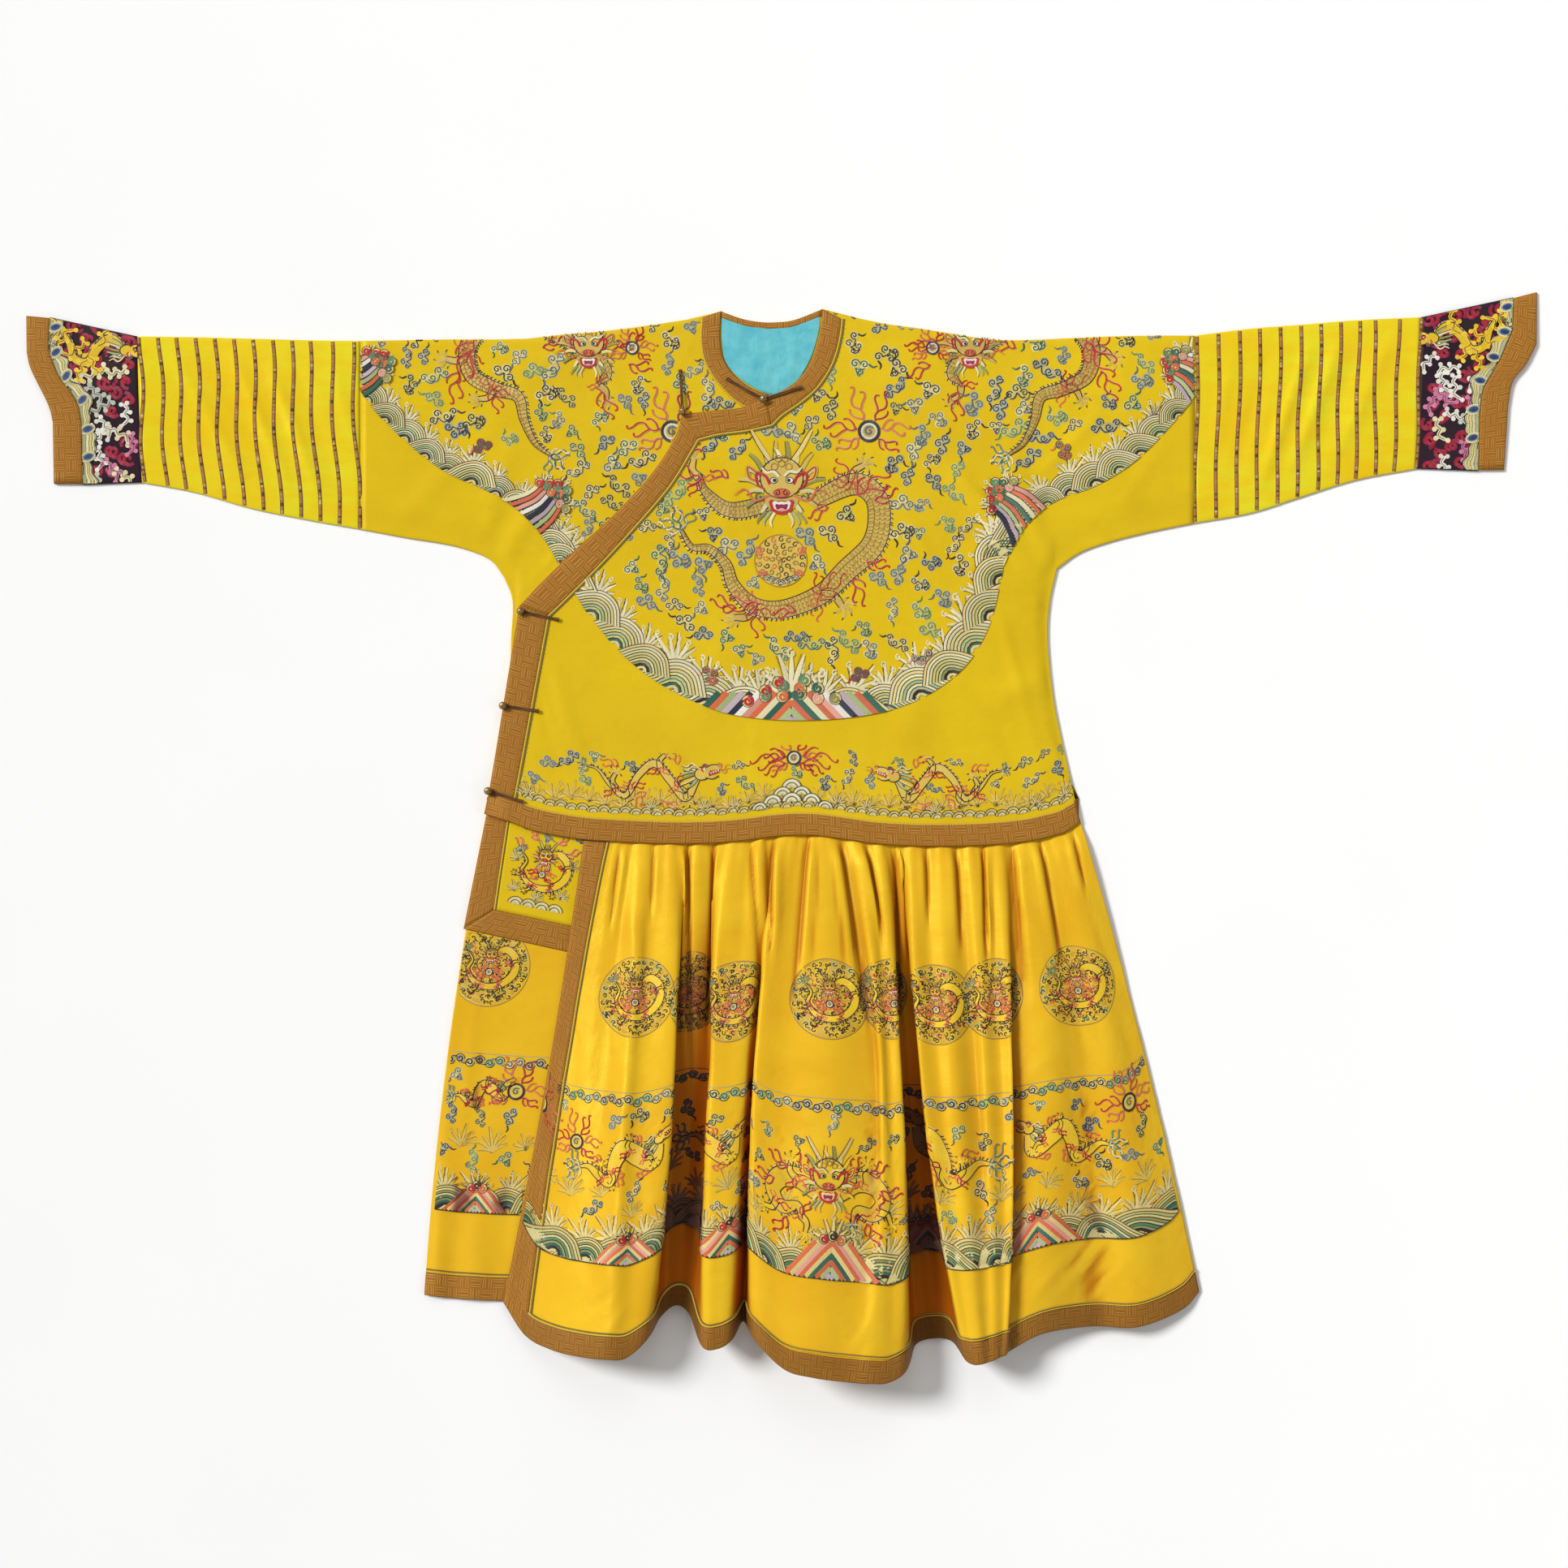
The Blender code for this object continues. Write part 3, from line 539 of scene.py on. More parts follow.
class Paint:
    """Builds one material for a cloth or a fitting."""

    def __init__(self, name, **fixed):
        self.material = bpy.data.materials.new(name)
        self.material.use_nodes = True
        self.tree = self.material.node_tree
        self.shader = self.tree.nodes["Principled BSDF"]
        for socket, number in fixed.items():
            self.shader.inputs[socket.replace("_", " ")].default_value = number

    def fill(self, socket, value):
        if isinstance(value, Value):
            self.tree.links.new(value.socket, socket)
        elif isinstance(value, tuple) and len(value) == 3 and socket.type == "RGBA":
            socket.default_value = (*value, 1.0)
        else:
            socket.default_value = value

    def node(self, kind, settings, values=(), output=0):
        """Any node: its type, its settings, then its sockets' values or links."""
        made = self.tree.nodes.new("ShaderNode" + kind)
        for key, value in settings.items():
            setattr(made, key, value)
        pairs = values.items() if isinstance(values, dict) else enumerate(values)
        for key, value in pairs:
            self.fill(made.inputs[key], value)
        return Value(self, made.outputs[output])

    def set(self, **values):
        for name, value in values.items():
            self.fill(self.shader.inputs[name.replace("_", " ")], value)
        return self.material

    def attribute(self, name, output=0):
        """A value or colour that the mesh holds at each of its points."""
        return self.node("Attribute", {"attribute_name": name}, (), output)

    def cloth_place(self):
        """(along, across) on the piece's own cloth, in millimetres, and the vector itself."""
        place = self.node("UVMap", {"uv_map": "cloth"})
        along, across = (self.node("SeparateXYZ", {}, (place,), axis) for axis in (0, 1))
        return along, across, place

    def noise(self, place, scale, detail=3.0, rough=0.55, stretch=(1.0, 1.0, 1.0)):
        """Soft noise from 0 to 1, its size in the units of the place."""
        moved = self.node("Mapping", {}, {"Vector": place, "Scale": stretch})
        values = {"Vector": moved, "Scale": scale, "Detail": detail, "Roughness": rough}
        return self.node("TexNoise", {}, values)

    def mix(self, share, first, second):
        """A colour between two, by a share."""
        values = {0: share, 6: first, 7: second}
        return self.node("Mix", {"data_type": "RGBA"}, values, 2)

    def bump(self, height, distance, strength=1.0, under=None):
        values = {"Height": height, "Distance": distance, "Strength": strength}
        if under is not None:
            values["Normal"] = under
        return self.node("Bump", {}, values)


def darker(colour, share):
    """The colour with each of its parts made less."""
    return tuple(c * share for c in colour)


def silk(name, colour, deep, rough, shine, streaked=0.0):
    """Satin-weave silk, faded in patches, with slubs, soft wear, and painted shade in its folds."""
    tint = (*(0.45 + 0.55 * c for c in colour[:2]), 0.10, 1.0)
    paint = Paint(name, Specular_IOR_Level=shine, Specular_Tint=tint, Anisotropic=0.5)
    along, across, place = paint.cloth_place()
    fade = paint.noise(place, 0.006, 4.0).within(0.35, 0.75)
    stain = paint.noise(place, 0.017, 5.0, 0.7).within(0.56, 0.82)
    slub = paint.noise(place, 0.9, 2.0, 0.6, (0.06, 1.0, 1.0)).within(0.3, 0.8)
    fold = paint.attribute("fold", 2)
    streak = paint.noise(place, 0.022, 3.0, 0.62, (0.7, 2.6, 1.0)).within(0.42, 0.64)
    twill = (along * 2.2 + across * 7.0).wave() * 0.5 + 0.5
    tone = paint.mix(fade, colour, deep)
    tone = paint.mix(stain * 0.35, tone, darker(deep, 0.72))
    tone = paint.mix(slub * 0.12, tone, darker(deep, 0.8))
    tone = paint.mix(streak * streaked, tone, deep)
    # Painted shade: the silk is darkened towards a deep orange where its fold attribute says it lies down in
    # a fold.
    tone = paint.mix(fold, tone, (deep[0] * 0.56, deep[1] * 0.25, deep[2] * 0.35))
    crumple = paint.noise(place, 0.05, 3.0, 0.5)
    weave = paint.bump(twill + slub * 0.6, 0.00006, 0.5)
    soft = paint.bump(crumple, 0.0016, 0.35, weave)
    return paint.set(Base_Color=tone, Roughness=slub * 0.12 + (rough - 0.05), Normal=soft)


def brocade(name, ground, figure, cell):
    """Brown brocade woven with a key fret: bundles of bars that turn from cell to cell."""
    paint = Paint(name, Specular_IOR_Level=0.3, Specular_Tint=(0.9, 0.6, 0.35, 1.0))
    along, across, place = paint.cloth_place()
    turn = ((along / (2.0 * cell) % 1.0) > 0.5) - ((across / (2.0 * cell) % 1.0) > 0.5)
    turn = turn.size()
    inner_x = ((along / cell % 1.0) - 0.5).size()
    inner_y = ((across / cell % 1.0) - 0.5).size()
    bars = turn * inner_x + (1.0 - turn) * inner_y
    ends = turn * inner_y + (1.0 - turn) * inner_x
    lines = ((bars * 5.0 % 1.0) > 0.46) * (ends < 0.44)
    mark = (lines + (ends > 0.47)).within(0.0, 1.0)
    worn = paint.noise(place, 0.03, 4.0, 0.6).within(0.35, 0.7)
    grain = paint.noise(place, 1.2, 2.0, 0.6, (1.0, 0.25, 1.0))
    tone = paint.mix(mark * (0.85 - worn * 0.35), ground, figure)
    tone = paint.mix(grain.within(0.3, 0.8) * 0.25, tone, darker(ground, 0.55))
    tone = paint.mix(worn * 0.3, tone, darker(ground, 1.2))
    # Painted shade: the brocade is darkened where its fold attribute says it lies down in a fold.
    fold = paint.attribute("fold", 2)
    tone = paint.mix(fold * 0.8, tone, darker(ground, 0.28))
    thread = (across * 9.0).wave() * 0.5
    height = paint.bump(mark * 1.6 + thread * 0.4 + grain, 0.00016, 0.6)
    return paint.set(Base_Color=tone, Roughness=grain * 0.2 + 0.45, Normal=height)


def lining_cloth(name, colour, pale):
    """Thin plain lining, blotched and faded."""
    paint = Paint(name, Specular_IOR_Level=0.2)
    along, across, place = paint.cloth_place()
    blotch = paint.noise(place, 0.035, 4.0, 0.65).within(0.35, 0.7)
    spots = paint.noise(place, 0.12, 3.0, 0.6).within(0.62, 0.75)
    weave = (along * 9.0).wave() * 0.5 + (across * 9.0).wave() * 0.5
    tone = paint.mix(blotch, colour, pale)
    tone = paint.mix(spots * 0.35, tone, darker(colour, 0.45))
    crumple = paint.noise(place, 0.08, 3.0)
    fine = paint.bump(weave, 0.00005, 0.5)
    soft = paint.bump(crumple, 0.002, 0.5, fine)
    return paint.set(Base_Color=tone, Roughness=blotch * 0.1 + 0.6, Normal=soft)


def trim_weave(name):
    """A narrow metal-thread trim: tan and cream runs with rubbed dark edges."""
    paint = Paint(name, Specular_IOR_Level=0.4)
    along, across, place = paint.cloth_place()
    run = paint.noise(place, 0.055, 4.0, 0.8, (1.0, 0.05, 1.0))
    patch = paint.noise(place, 0.16, 2.0, 0.5, (1.0, 0.05, 1.0))
    fleck = paint.noise(place, 0.5, 3.0, 0.7, (1.0, 0.6, 1.0))
    tone = paint.mix(run.within(0.52, 0.64), (0.40, 0.17, 0.03), (0.70, 0.54, 0.28))
    tone = paint.mix(patch.within(0.52, 0.58), tone, (0.085, 0.04, 0.012))
    tone = paint.mix(fleck.within(0.55, 0.68) * 0.7, tone, (0.10, 0.055, 0.02))
    edge = (across - 2.5).size().within(1.2, 1.9)
    tone = paint.mix(edge * 0.9, tone, (0.12, 0.06, 0.015))
    height = paint.bump((along * 5.5).wave() + fleck, 0.00015, 0.7)
    return paint.set(Base_Color=tone, Roughness=fleck * 0.3 + 0.32, Normal=height)


def stitched_thread(name):
    """Silk floss in each shape's own colour, darkened by painted shade in the skirt's folds, its threads
    lying across the shape.
    """
    paint = Paint(name, Specular_IOR_Level=0.3)
    along, _, place = paint.cloth_place()
    colour = paint.attribute("thread")
    floss = paint.noise(place, 1.6, 2.0, 0.6, (1.0, 0.15, 1.0)).within(0.25, 0.8)
    shade = paint.node("HueSaturation", {}, {"Value": floss * 0.35 + 0.78, "Color": colour})
    height = paint.bump((along * 12.0).wave() + floss, 0.00008, 0.6)
    return paint.set(Base_Color=shade, Roughness=floss * 0.2 + 0.34, Normal=height)


def twisted_cord(name, first, second, pitch):
    """Two-ply cord, one ply of each colour."""
    paint = Paint(name, Specular_IOR_Level=0.35)
    along, across, place = paint.cloth_place()
    ply = (along * (tau / pitch) + across * 1.2).wave().within(-0.15, 0.15)
    fray = paint.noise(place, 0.8, 3.0, 0.7)
    tone = paint.mix(ply, first, second)
    tone = paint.mix(fray.within(0.5, 0.75) * 0.5, tone, darker(second, 0.4))
    rough, height = fray * 0.2 + 0.5, paint.bump(ply + fray, 0.0002, 0.6)
    return paint.set(Base_Color=tone, Roughness=rough, Normal=height)


def cast_brass(name):
    """Old gilt brass, rubbed bright on its high places and dark in its chasing."""
    paint = Paint(name, Metallic=0.85)
    place = paint.node("TexCoord", {}, (), 3)
    cells = {"Vector": place, "Scale": 420.0}
    chasing = paint.node("TexVoronoi", {"feature": "DISTANCE_TO_EDGE"}, cells)
    rubbed = paint.noise(place, 260.0, 4.0, 0.6)
    groove = chasing.within(0.0, 0.12)
    tone = paint.mix(groove, (0.05, 0.03, 0.02), (0.46, 0.31, 0.13))
    tone = paint.mix(rubbed.within(0.45, 0.75) * 0.6, tone, (0.20, 0.12, 0.06))
    rough, height = rubbed * 0.35 + 0.2, paint.bump(groove, 0.0004, 0.8)
    return paint.set(Base_Color=tone, Roughness=rough, Normal=height)


def studio_floor(name):
    """Pale matt board."""
    paint = Paint(name, Specular_IOR_Level=0.2)
    place = paint.node("TexCoord", {}, (), 3)
    tone = paint.noise(place, 3.0, 2.0)
    colour = paint.mix(tone, (0.90, 0.90, 0.895), (0.93, 0.93, 0.925))
    return paint.set(Base_Color=colour, Roughness=tone * 0.05 + 0.85)


def grid_faces(rows, columns):
    """Corner numbers of each square of a grid of points."""
    a = np.arange(rows * columns).reshape(rows, columns)
    return np.stack([a[:-1, :-1], a[:-1, 1:], a[1:, 1:], a[1:, :-1]], axis=2).reshape(-1, 4)


def plan_area(corners):
    """Signed area of squares seen from above."""
    across = corners[:, 2] - corners[:, 0]
    other = corners[:, 3] - corners[:, 1]
    return across[:, 0] * other[:, 1] - across[:, 1] * other[:, 0]


def mesh_object(name, points, faces, material, uv=None):
    """An object at the origin with its cloth coordinates."""
    mesh = bpy.data.meshes.new(name)
    mesh.from_pydata(points.tolist(), [], faces.tolist())
    if uv is not None:
        layer = mesh.uv_layers.new(name="cloth")
        index = np.zeros(len(mesh.loops), np.int32)
        mesh.loops.foreach_get("vertex_index", index)
        layer.data.foreach_set("uv", np.asarray(uv)[index].astype(np.float32).ravel())
    mesh.materials.append(material)
    return linked(name, mesh)


def linked(name, data):
    """A new object in the scene."""
    made = bpy.data.objects.new(name, data)
    bpy.context.scene.collection.objects.link(made)
    return made


def settle(piece, slot=None, nodes=()):
    """The finished piece rides on the robe, and stands for its solids."""
    piece.data.shade_smooth()
    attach(piece, "root")
    if nodes:
        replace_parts(piece, *nodes)
    return piece


def sheets_mesh(name, grids, uvs, upward, material):
    """Grids of points as one mesh, each facing up or down as asked."""
    points, faces, flat, count = [], [], [], 0
    for grid, uv, up in zip(grids, uvs, upward):
        corners = grid.reshape(-1, 3)
        made = grid_faces(*grid.shape[:2])
        if (plan_area(corners[made]).sum() > 0) != up:
            made = made[:, ::-1]
        points.append(corners)
        flat.append(uv.reshape(-1, 2))
        faces.append(made + count)
        count += len(corners)
    points = placed(np.concatenate(points))
    return mesh_object(name, points, np.concatenate(faces), material, np.concatenate(flat))


def cleaned(piece, distance, outward=False):
    """The piece with its meeting points made one, and its faces turned out if asked."""
    shape = bmesh.new()
    shape.from_mesh(piece.data)
    bmesh.ops.remove_doubles(shape, verts=shape.verts, dist=distance)
    if outward:
        bmesh.ops.recalc_face_normals(shape, faces=shape.faces)
    shape.to_mesh(piece.data)
    shape.free()


# Points nearer than this are one, in metres. Then the least share of a flat size that counts as
# cloth, and by how much a binding is cut longer and wider than it shows.
SEWN_TOGETHER = 0.00002
LEAST_CLOTH = 0.3
CUT_LONGER = 1.08
CUT_WIDER = 1.25


def cloth(name, grids, wall, slot, nodes=(), uvs=None, folds=None):
    """A piece of cloth from grids of points on its outer face, its wall going inwards."""
    uvs = uvs or [grid[..., :2] for grid in grids]
    piece = sheets_mesh(name, grids, uvs, [True] * len(grids), finish(slot))
    # The fold attribute, when folds are given, is painted shade: the material darkens each point by it.
    if folds is not None:
        layer = piece.data.attributes.new("fold", "FLOAT", "POINT")
        layer.data.foreach_set("value", folds.astype(np.float32).ravel())
    cleaned(piece, SEWN_TOGETHER)
    shell = piece.modifiers.new("wall", "SOLIDIFY")
    shell.thickness = wall * MM
    shell.offset = -1.0
    shell.use_quality_normals = True
    return settle(piece, slot, nodes)


def declare(piece, width, length, rests_on, held="laid"):
    """Works out the piece's area of cloth within its flat cut size, but does nothing with it."""
    area = sum(polygon.area for polygon in piece.data.polygons)
    area = min(max(area, LEAST_CLOTH * width * length), width * length)
    list(rests_on)


# The section of a turned edge: how far out, and its share of the edge's height.
ROLL_PROFILE = ((0.7, 0.93), (1.3, 0.72), (1.5, 0.5), (1.2, 0.3))


def roll(edge, inside):
    """The lines by which cloth turns down over a fold or a seam, out from its edge."""
    out = edge - inside
    out[:, 2] = 0.0
    out /= np.maximum(np.linalg.norm(out, axis=1, keepdims=True), 1e-9)
    made = [edge]
    for away, share in ROLL_PROFILE:
        line = edge + out * away
        line[:, 2] = edge[:, 2] * share
        made.append(line)
    return np.stack(made)


# Lines of points between two ribs of a front, points across its bound edge, and down from there.
RIB_SAMPLES = 6
EDGE_STEPS = 4
RIB_STEPS = 71


def ribs(table, corners, folds, seed):
    """Grid of a front panel: one line of points for each rib, edge to foot."""
    shares = np.linspace(0.0, 1.0, RIB_STEPS)
    lines = []
    for row in through(table, RIB_SAMPLES, corners):
        edge, band, foot = row[0:2], row[2:4], row[4:6]
        near = edge + (band - edge) * np.linspace(0.0, 1.0, EDGE_STEPS + 1)[:-1, None]
        line = np.concatenate([near, band + (foot - band) * shares[:, None]])
        done = lengths(line)
        done /= done[-1]
        z = row[6] + (row[7] - row[6]) * ease(done / 0.3)
        z += (row[8] - row[7]) * ease((done - 0.82) / 0.16)
        edges = ease(8.0 * done) * ease(8.0 * (1.0 - done))
        z += (fold_height(line, folds) + ripple(line[:, 0] + seed, line[:, 1], 1.1)) * edges
        lines.append(np.column_stack([line, z]))
    return np.stack(lines)


# A binding's section: share of its width, and height above its face.
BAND_PROFILE = ((0.0, -1.0), (0.04, -0.2), (0.15, 0.0), (0.5, 0.15), (0.85, 0.0), (0.96, -0.2), (1.0, -1.0))


def band(edge, inner, lift=BAND_LIFT):
    """A binding between two lines on the cloth, its two edges turned down."""
    edge, inner = np.asarray(edge, float), np.asarray(inner, float)
    lines = [edge + (inner - edge) * share + (0.0, 0.0, lift + drop) for share, drop in BAND_PROFILE]
    return np.stack(lines, axis=1)


def flat_uv(along, across):
    """Cloth coordinates from the distances along a piece and across it."""
    return np.stack(np.meshgrid(along, across, indexing="ij"), axis=-1)


def binding(name, grid, nodes, rests_on, wall=BINDING, folds=None):
    """One brocade binding."""
    uv = flat_uv(lengths(grid.mean(axis=1)), lengths(grid[len(grid) // 2][:, :2]))
    piece = cloth(name, [grid], wall, "brown_brocade", nodes, [uv], folds)
    size = uv.reshape(-1, 2).max(axis=0) * MM
    declare(piece, max(size[1], 0.01) * CUT_WIDER, size[0] * CUT_LONGER, rests_on)


def section_fold_shade(row, reach=70.0):
    """How far each point of a section lies down in a fold, 0 in the open and 1 between close walls; it is
    used as painted shade.
    """
    away = row[None, :, 0] - row[:, None, 0]
    rise = (row[None, :, 2] - row[:, None, 2]) / np.maximum(np.abs(away), 3.0)
    rise[np.abs(away) > reach] = 0.0
    walls = [np.where(side, rise, 0.0).max(axis=1) for side in (away > 0.0, away < 0.0)]
    shut = sum(wall / np.hypot(1.0, wall) for wall in walls) / 2.0
    return ease((shut - 0.25) / 0.5)


class Draped:
    """A hanging cloth as a grid of points: levels down it, and columns across it."""

    def __init__(self, grid, levels):
        self.grid, self.levels = np.asarray(grid, float), np.asarray(levels, float)
        normals = np.cross(np.gradient(self.grid, axis=0), np.gradient(self.grid, axis=1))
        if normals[..., 2].sum() < 0:
            normals = -normals
        self.normals = normals / np.maximum(np.linalg.norm(normals, axis=2, keepdims=True), 1e-9)
        self.width = self.grid.shape[1]
        self.runs = np.stack([lengths(row) for row in self.grid])
        self.drops = np.stack([lengths(self.grid[:, i]) for i in range(self.width)], axis=1)
        self.fall = self.drops[-1].mean()
        # Painted shade of each point, by which the silk, the brocade and the thread are darkened in the
        # folds.
        self.fold = self.painted_fold_shade(self.grid[..., 2])

    def painted_fold_shade(self, height):
        """Painted shade for each point: how deep it lies in a large fold or a crease, from 0 to 1, the large
        folds shaded more from about a third of the way down.
        """
        sunk = np.zeros_like(height)
        sunk[:, 2:-2] = (height[:, :-4] + height[:, 4:]) / 2.0 - height[:, 2:-2]
        crease = ease((sunk / max(np.percentile(sunk, 97), 0.2) - 0.3) / 0.6)
        depth = ease((np.linspace(0.0, 1.0, len(height)) - 0.30) / 0.25)[:, None] * 0.32 + 0.66
        return np.maximum(np.stack([section_fold_shade(row) for row in self.grid]) * depth, crease * 0.8)

    def number(self, level):
        """The grid row at or just above a level."""
        return int(np.interp(level, self.levels, np.arange(len(self.levels))))

    def column_at(self, x, level):
        """The column whose cloth lies uppermost at this x."""
        row = self.grid[self.number(level)]
        best, height = 0.0, -1.0
        for i in range(len(row) - 1):
            low, high = sorted((row[i, 0], row[i + 1, 0]))
            if low <= x <= high and row[i, 2] > height:
                share = (x - row[i, 0]) / (row[i + 1, 0] - row[i, 0])
                best, height = i + share, row[i, 2]
        return best

    def local(self, column, level):
        """Each grid point's distance across and down from one place on the cloth."""
        run = self.runs[self.number(level)]
        start = np.interp(column, np.arange(len(run)), run)
        return np.broadcast_to(run - start, self.drops.shape), self.drops - self.drops[-1] * level

    def at(self, level, column):
        """Points, normals and painted fold shade, at fractional levels and columns."""
        i = np.interp(level, self.levels, np.arange(len(self.levels)))
        i0 = np.clip(i.astype(int), 0, len(self.levels) - 2)
        j0 = np.clip(column.astype(int), 0, self.width - 2)
        a, b = (i - i0)[:, None], (column - j0)[:, None]
        made = []
        for values in (self.grid, self.normals, self.fold[..., None]):
            upper = values[i0, j0] * (1 - b) + values[i0, j0 + 1] * b
            lower = values[i0 + 1, j0] * (1 - b) + values[i0 + 1, j0 + 1] * b
            made.append(upper * (1 - a) + lower * a)
        return made

    def line(self, level, column, rise):
        """Points a little way out from the cloth, at levels and columns of which one may be single."""
        level, column = np.broadcast_arrays(np.asarray(level, float), np.asarray(column, float))
        points, normals, _ = self.at(level, column)
        return points + normals * rise

    def hem(self, profile):
        """The section of the hem's binding: its distance above the hem, and its height."""
        columns = np.arange(self.width, dtype=float)
        lines = [self.line(1.0 - gap / self.drops[-1], columns, rise) for gap, rise in profile]
        return np.stack(lines, axis=1)

    def above_hem(self):
        """The rows of the grid that end under the hem's binding."""
        level = 1.0 - (HEM_WIDTH - 4.0) / self.fall
        return slice(0, int(level * (len(self.levels) - 1)) + 2)

    def uv(self):
        """Cloth coordinates that are even along the hem and the side."""
        return flat_uv(self.drops.mean(axis=1), self.runs[-1])[..., ::-1]

    def spot(self, x, level):
        """Where a place of the cloth is in a drawing that starts at its first column."""
        run = self.runs[self.number(DRAWING_LEVEL)]
        across = np.interp(self.column_at(x, level), np.arange(len(run)), run)
        return across, (DRAWING_LEVEL - level) * self.fall

    def place(self, x, level, column=None, even=False):
        """A map from a flat drawing, centred here, to points on the cloth."""
        column = self.column_at(x, level) if column is None else column
        run = self.runs[self.number(level)]
        columns = np.arange(len(run), dtype=float)
        start = np.interp(column, columns, run)
        drop = np.full(len(run), self.fall) if even else self.drops[-1]

        def carry(spots):
            across = start + spots[:, 0]
            there = np.interp(across, run, columns)
            levels = level - spots[:, 1] / np.interp(there, columns, drop)
            good = (across > run[0] + 0.2) & (across < run[-1] - 0.2)
            good &= (levels > self.levels[0]) & (levels < self.levels[-1])
            # The third value is 0 off the cloth; on the cloth it is the share of the thread's colour that the
            # painted shade of the folds leaves.
            points, normals, fold = self.at(levels, there)
            return points, normals, good * (1.0 - FOLD_SHADE * fold[:, 0])

        return carry


# Level of the skirt on which its flat drawing is centred, and how much painted shade darkens the thread in
# its deepest folds.
DRAWING_LEVEL = 0.66
FOLD_SHADE = 0.84


def tree_of(piece):
    """The piece's faces, ready for rays."""
    corners = [v.co.copy() for v in piece.data.vertices]
    return BVHTree.FromPolygons(corners, [tuple(p.vertices) for p in piece.data.polygons])


# A ray starts this far from the robe's underside, and looks this far below a shape for a cover.
RAY_START = 0.2
COVER_GAP = 0.001


def showing(carry, covers):
    """The same map, without the places that another piece lies over."""
    trees = [tree_of(piece) for piece in covers]

    def carried(spots):
        points, normals, good = carry(spots)
        for i in np.flatnonzero(good):
            x, y, z = placed(points[i])
            for tree in trees:
                hit = tree.ray_cast(Vector((x, y, RAY_START)), Vector((0.0, 0.0, -1.0)))[0]
                if hit and hit.z > z - COVER_GAP:
                    good[i] = False
                    break
        return points, normals, good

    return carried


class Plan:
    """The cloths that lie uppermost, or undermost, at each place of the plan."""

    def __init__(self, pieces, below=False, covers=()):
        self.way, self.sink = (1.0, BACK_WALL) if below else (-1.0, 0.0)
        self.trees = [tree_of(piece) for piece in pieces]
        self.covers = [tree_of(piece) for piece in covers]

    def carry(self, spots):
        """Points and normals of the cloth under flat spots, and which of them it lies under."""
        points = np.zeros((len(spots), 3))
        normals = np.zeros((len(spots), 3))
        normals[:, 2] = -self.way
        good = np.zeros(len(spots), bool)
        ahead = Vector((0.0, 0.0, self.way))
        places = placed(np.column_stack([spots, np.zeros(len(spots))]))
        for i, (x, y, _) in enumerate(places):
            start = Vector((x, y, -RAY_START * self.way))
            if any(tree.ray_cast(start, ahead)[0] for tree in self.covers):
                continue
            for tree in self.trees:
                hit, normal, _, _ = tree.ray_cast(start, ahead)
                if hit:
                    points[i] = np.array(hit) / MM + CENTRE - (0.0, 0.0, self.sink)
                    normals[i] = np.array(normal) if normal.z * self.way < 0 else -np.array(normal)
                    good[i] = True
                    break
        return points, normals, good

    def moved(self, x, y):
        """The same map for a drawing whose middle is moved."""
        return lambda spots: self.carry(spots + (x, y))


# How much higher each further layer of thread lies, and the width from which a line of satin
# stitch is raised along its middle. Under the robe, thread is pressed to a share of its height.
LEVEL_LIFT = 0.13
FULL_WIDTH = 3.4
PRESSED = 0.12
# Range of tone from strip to strip, and how fast red, green and blue darken under the painted shade of a
# fold.
THREAD_SHADES = (0.86, 1.1)
FOLD_TINT = (1.0, 1.4, 1.2)


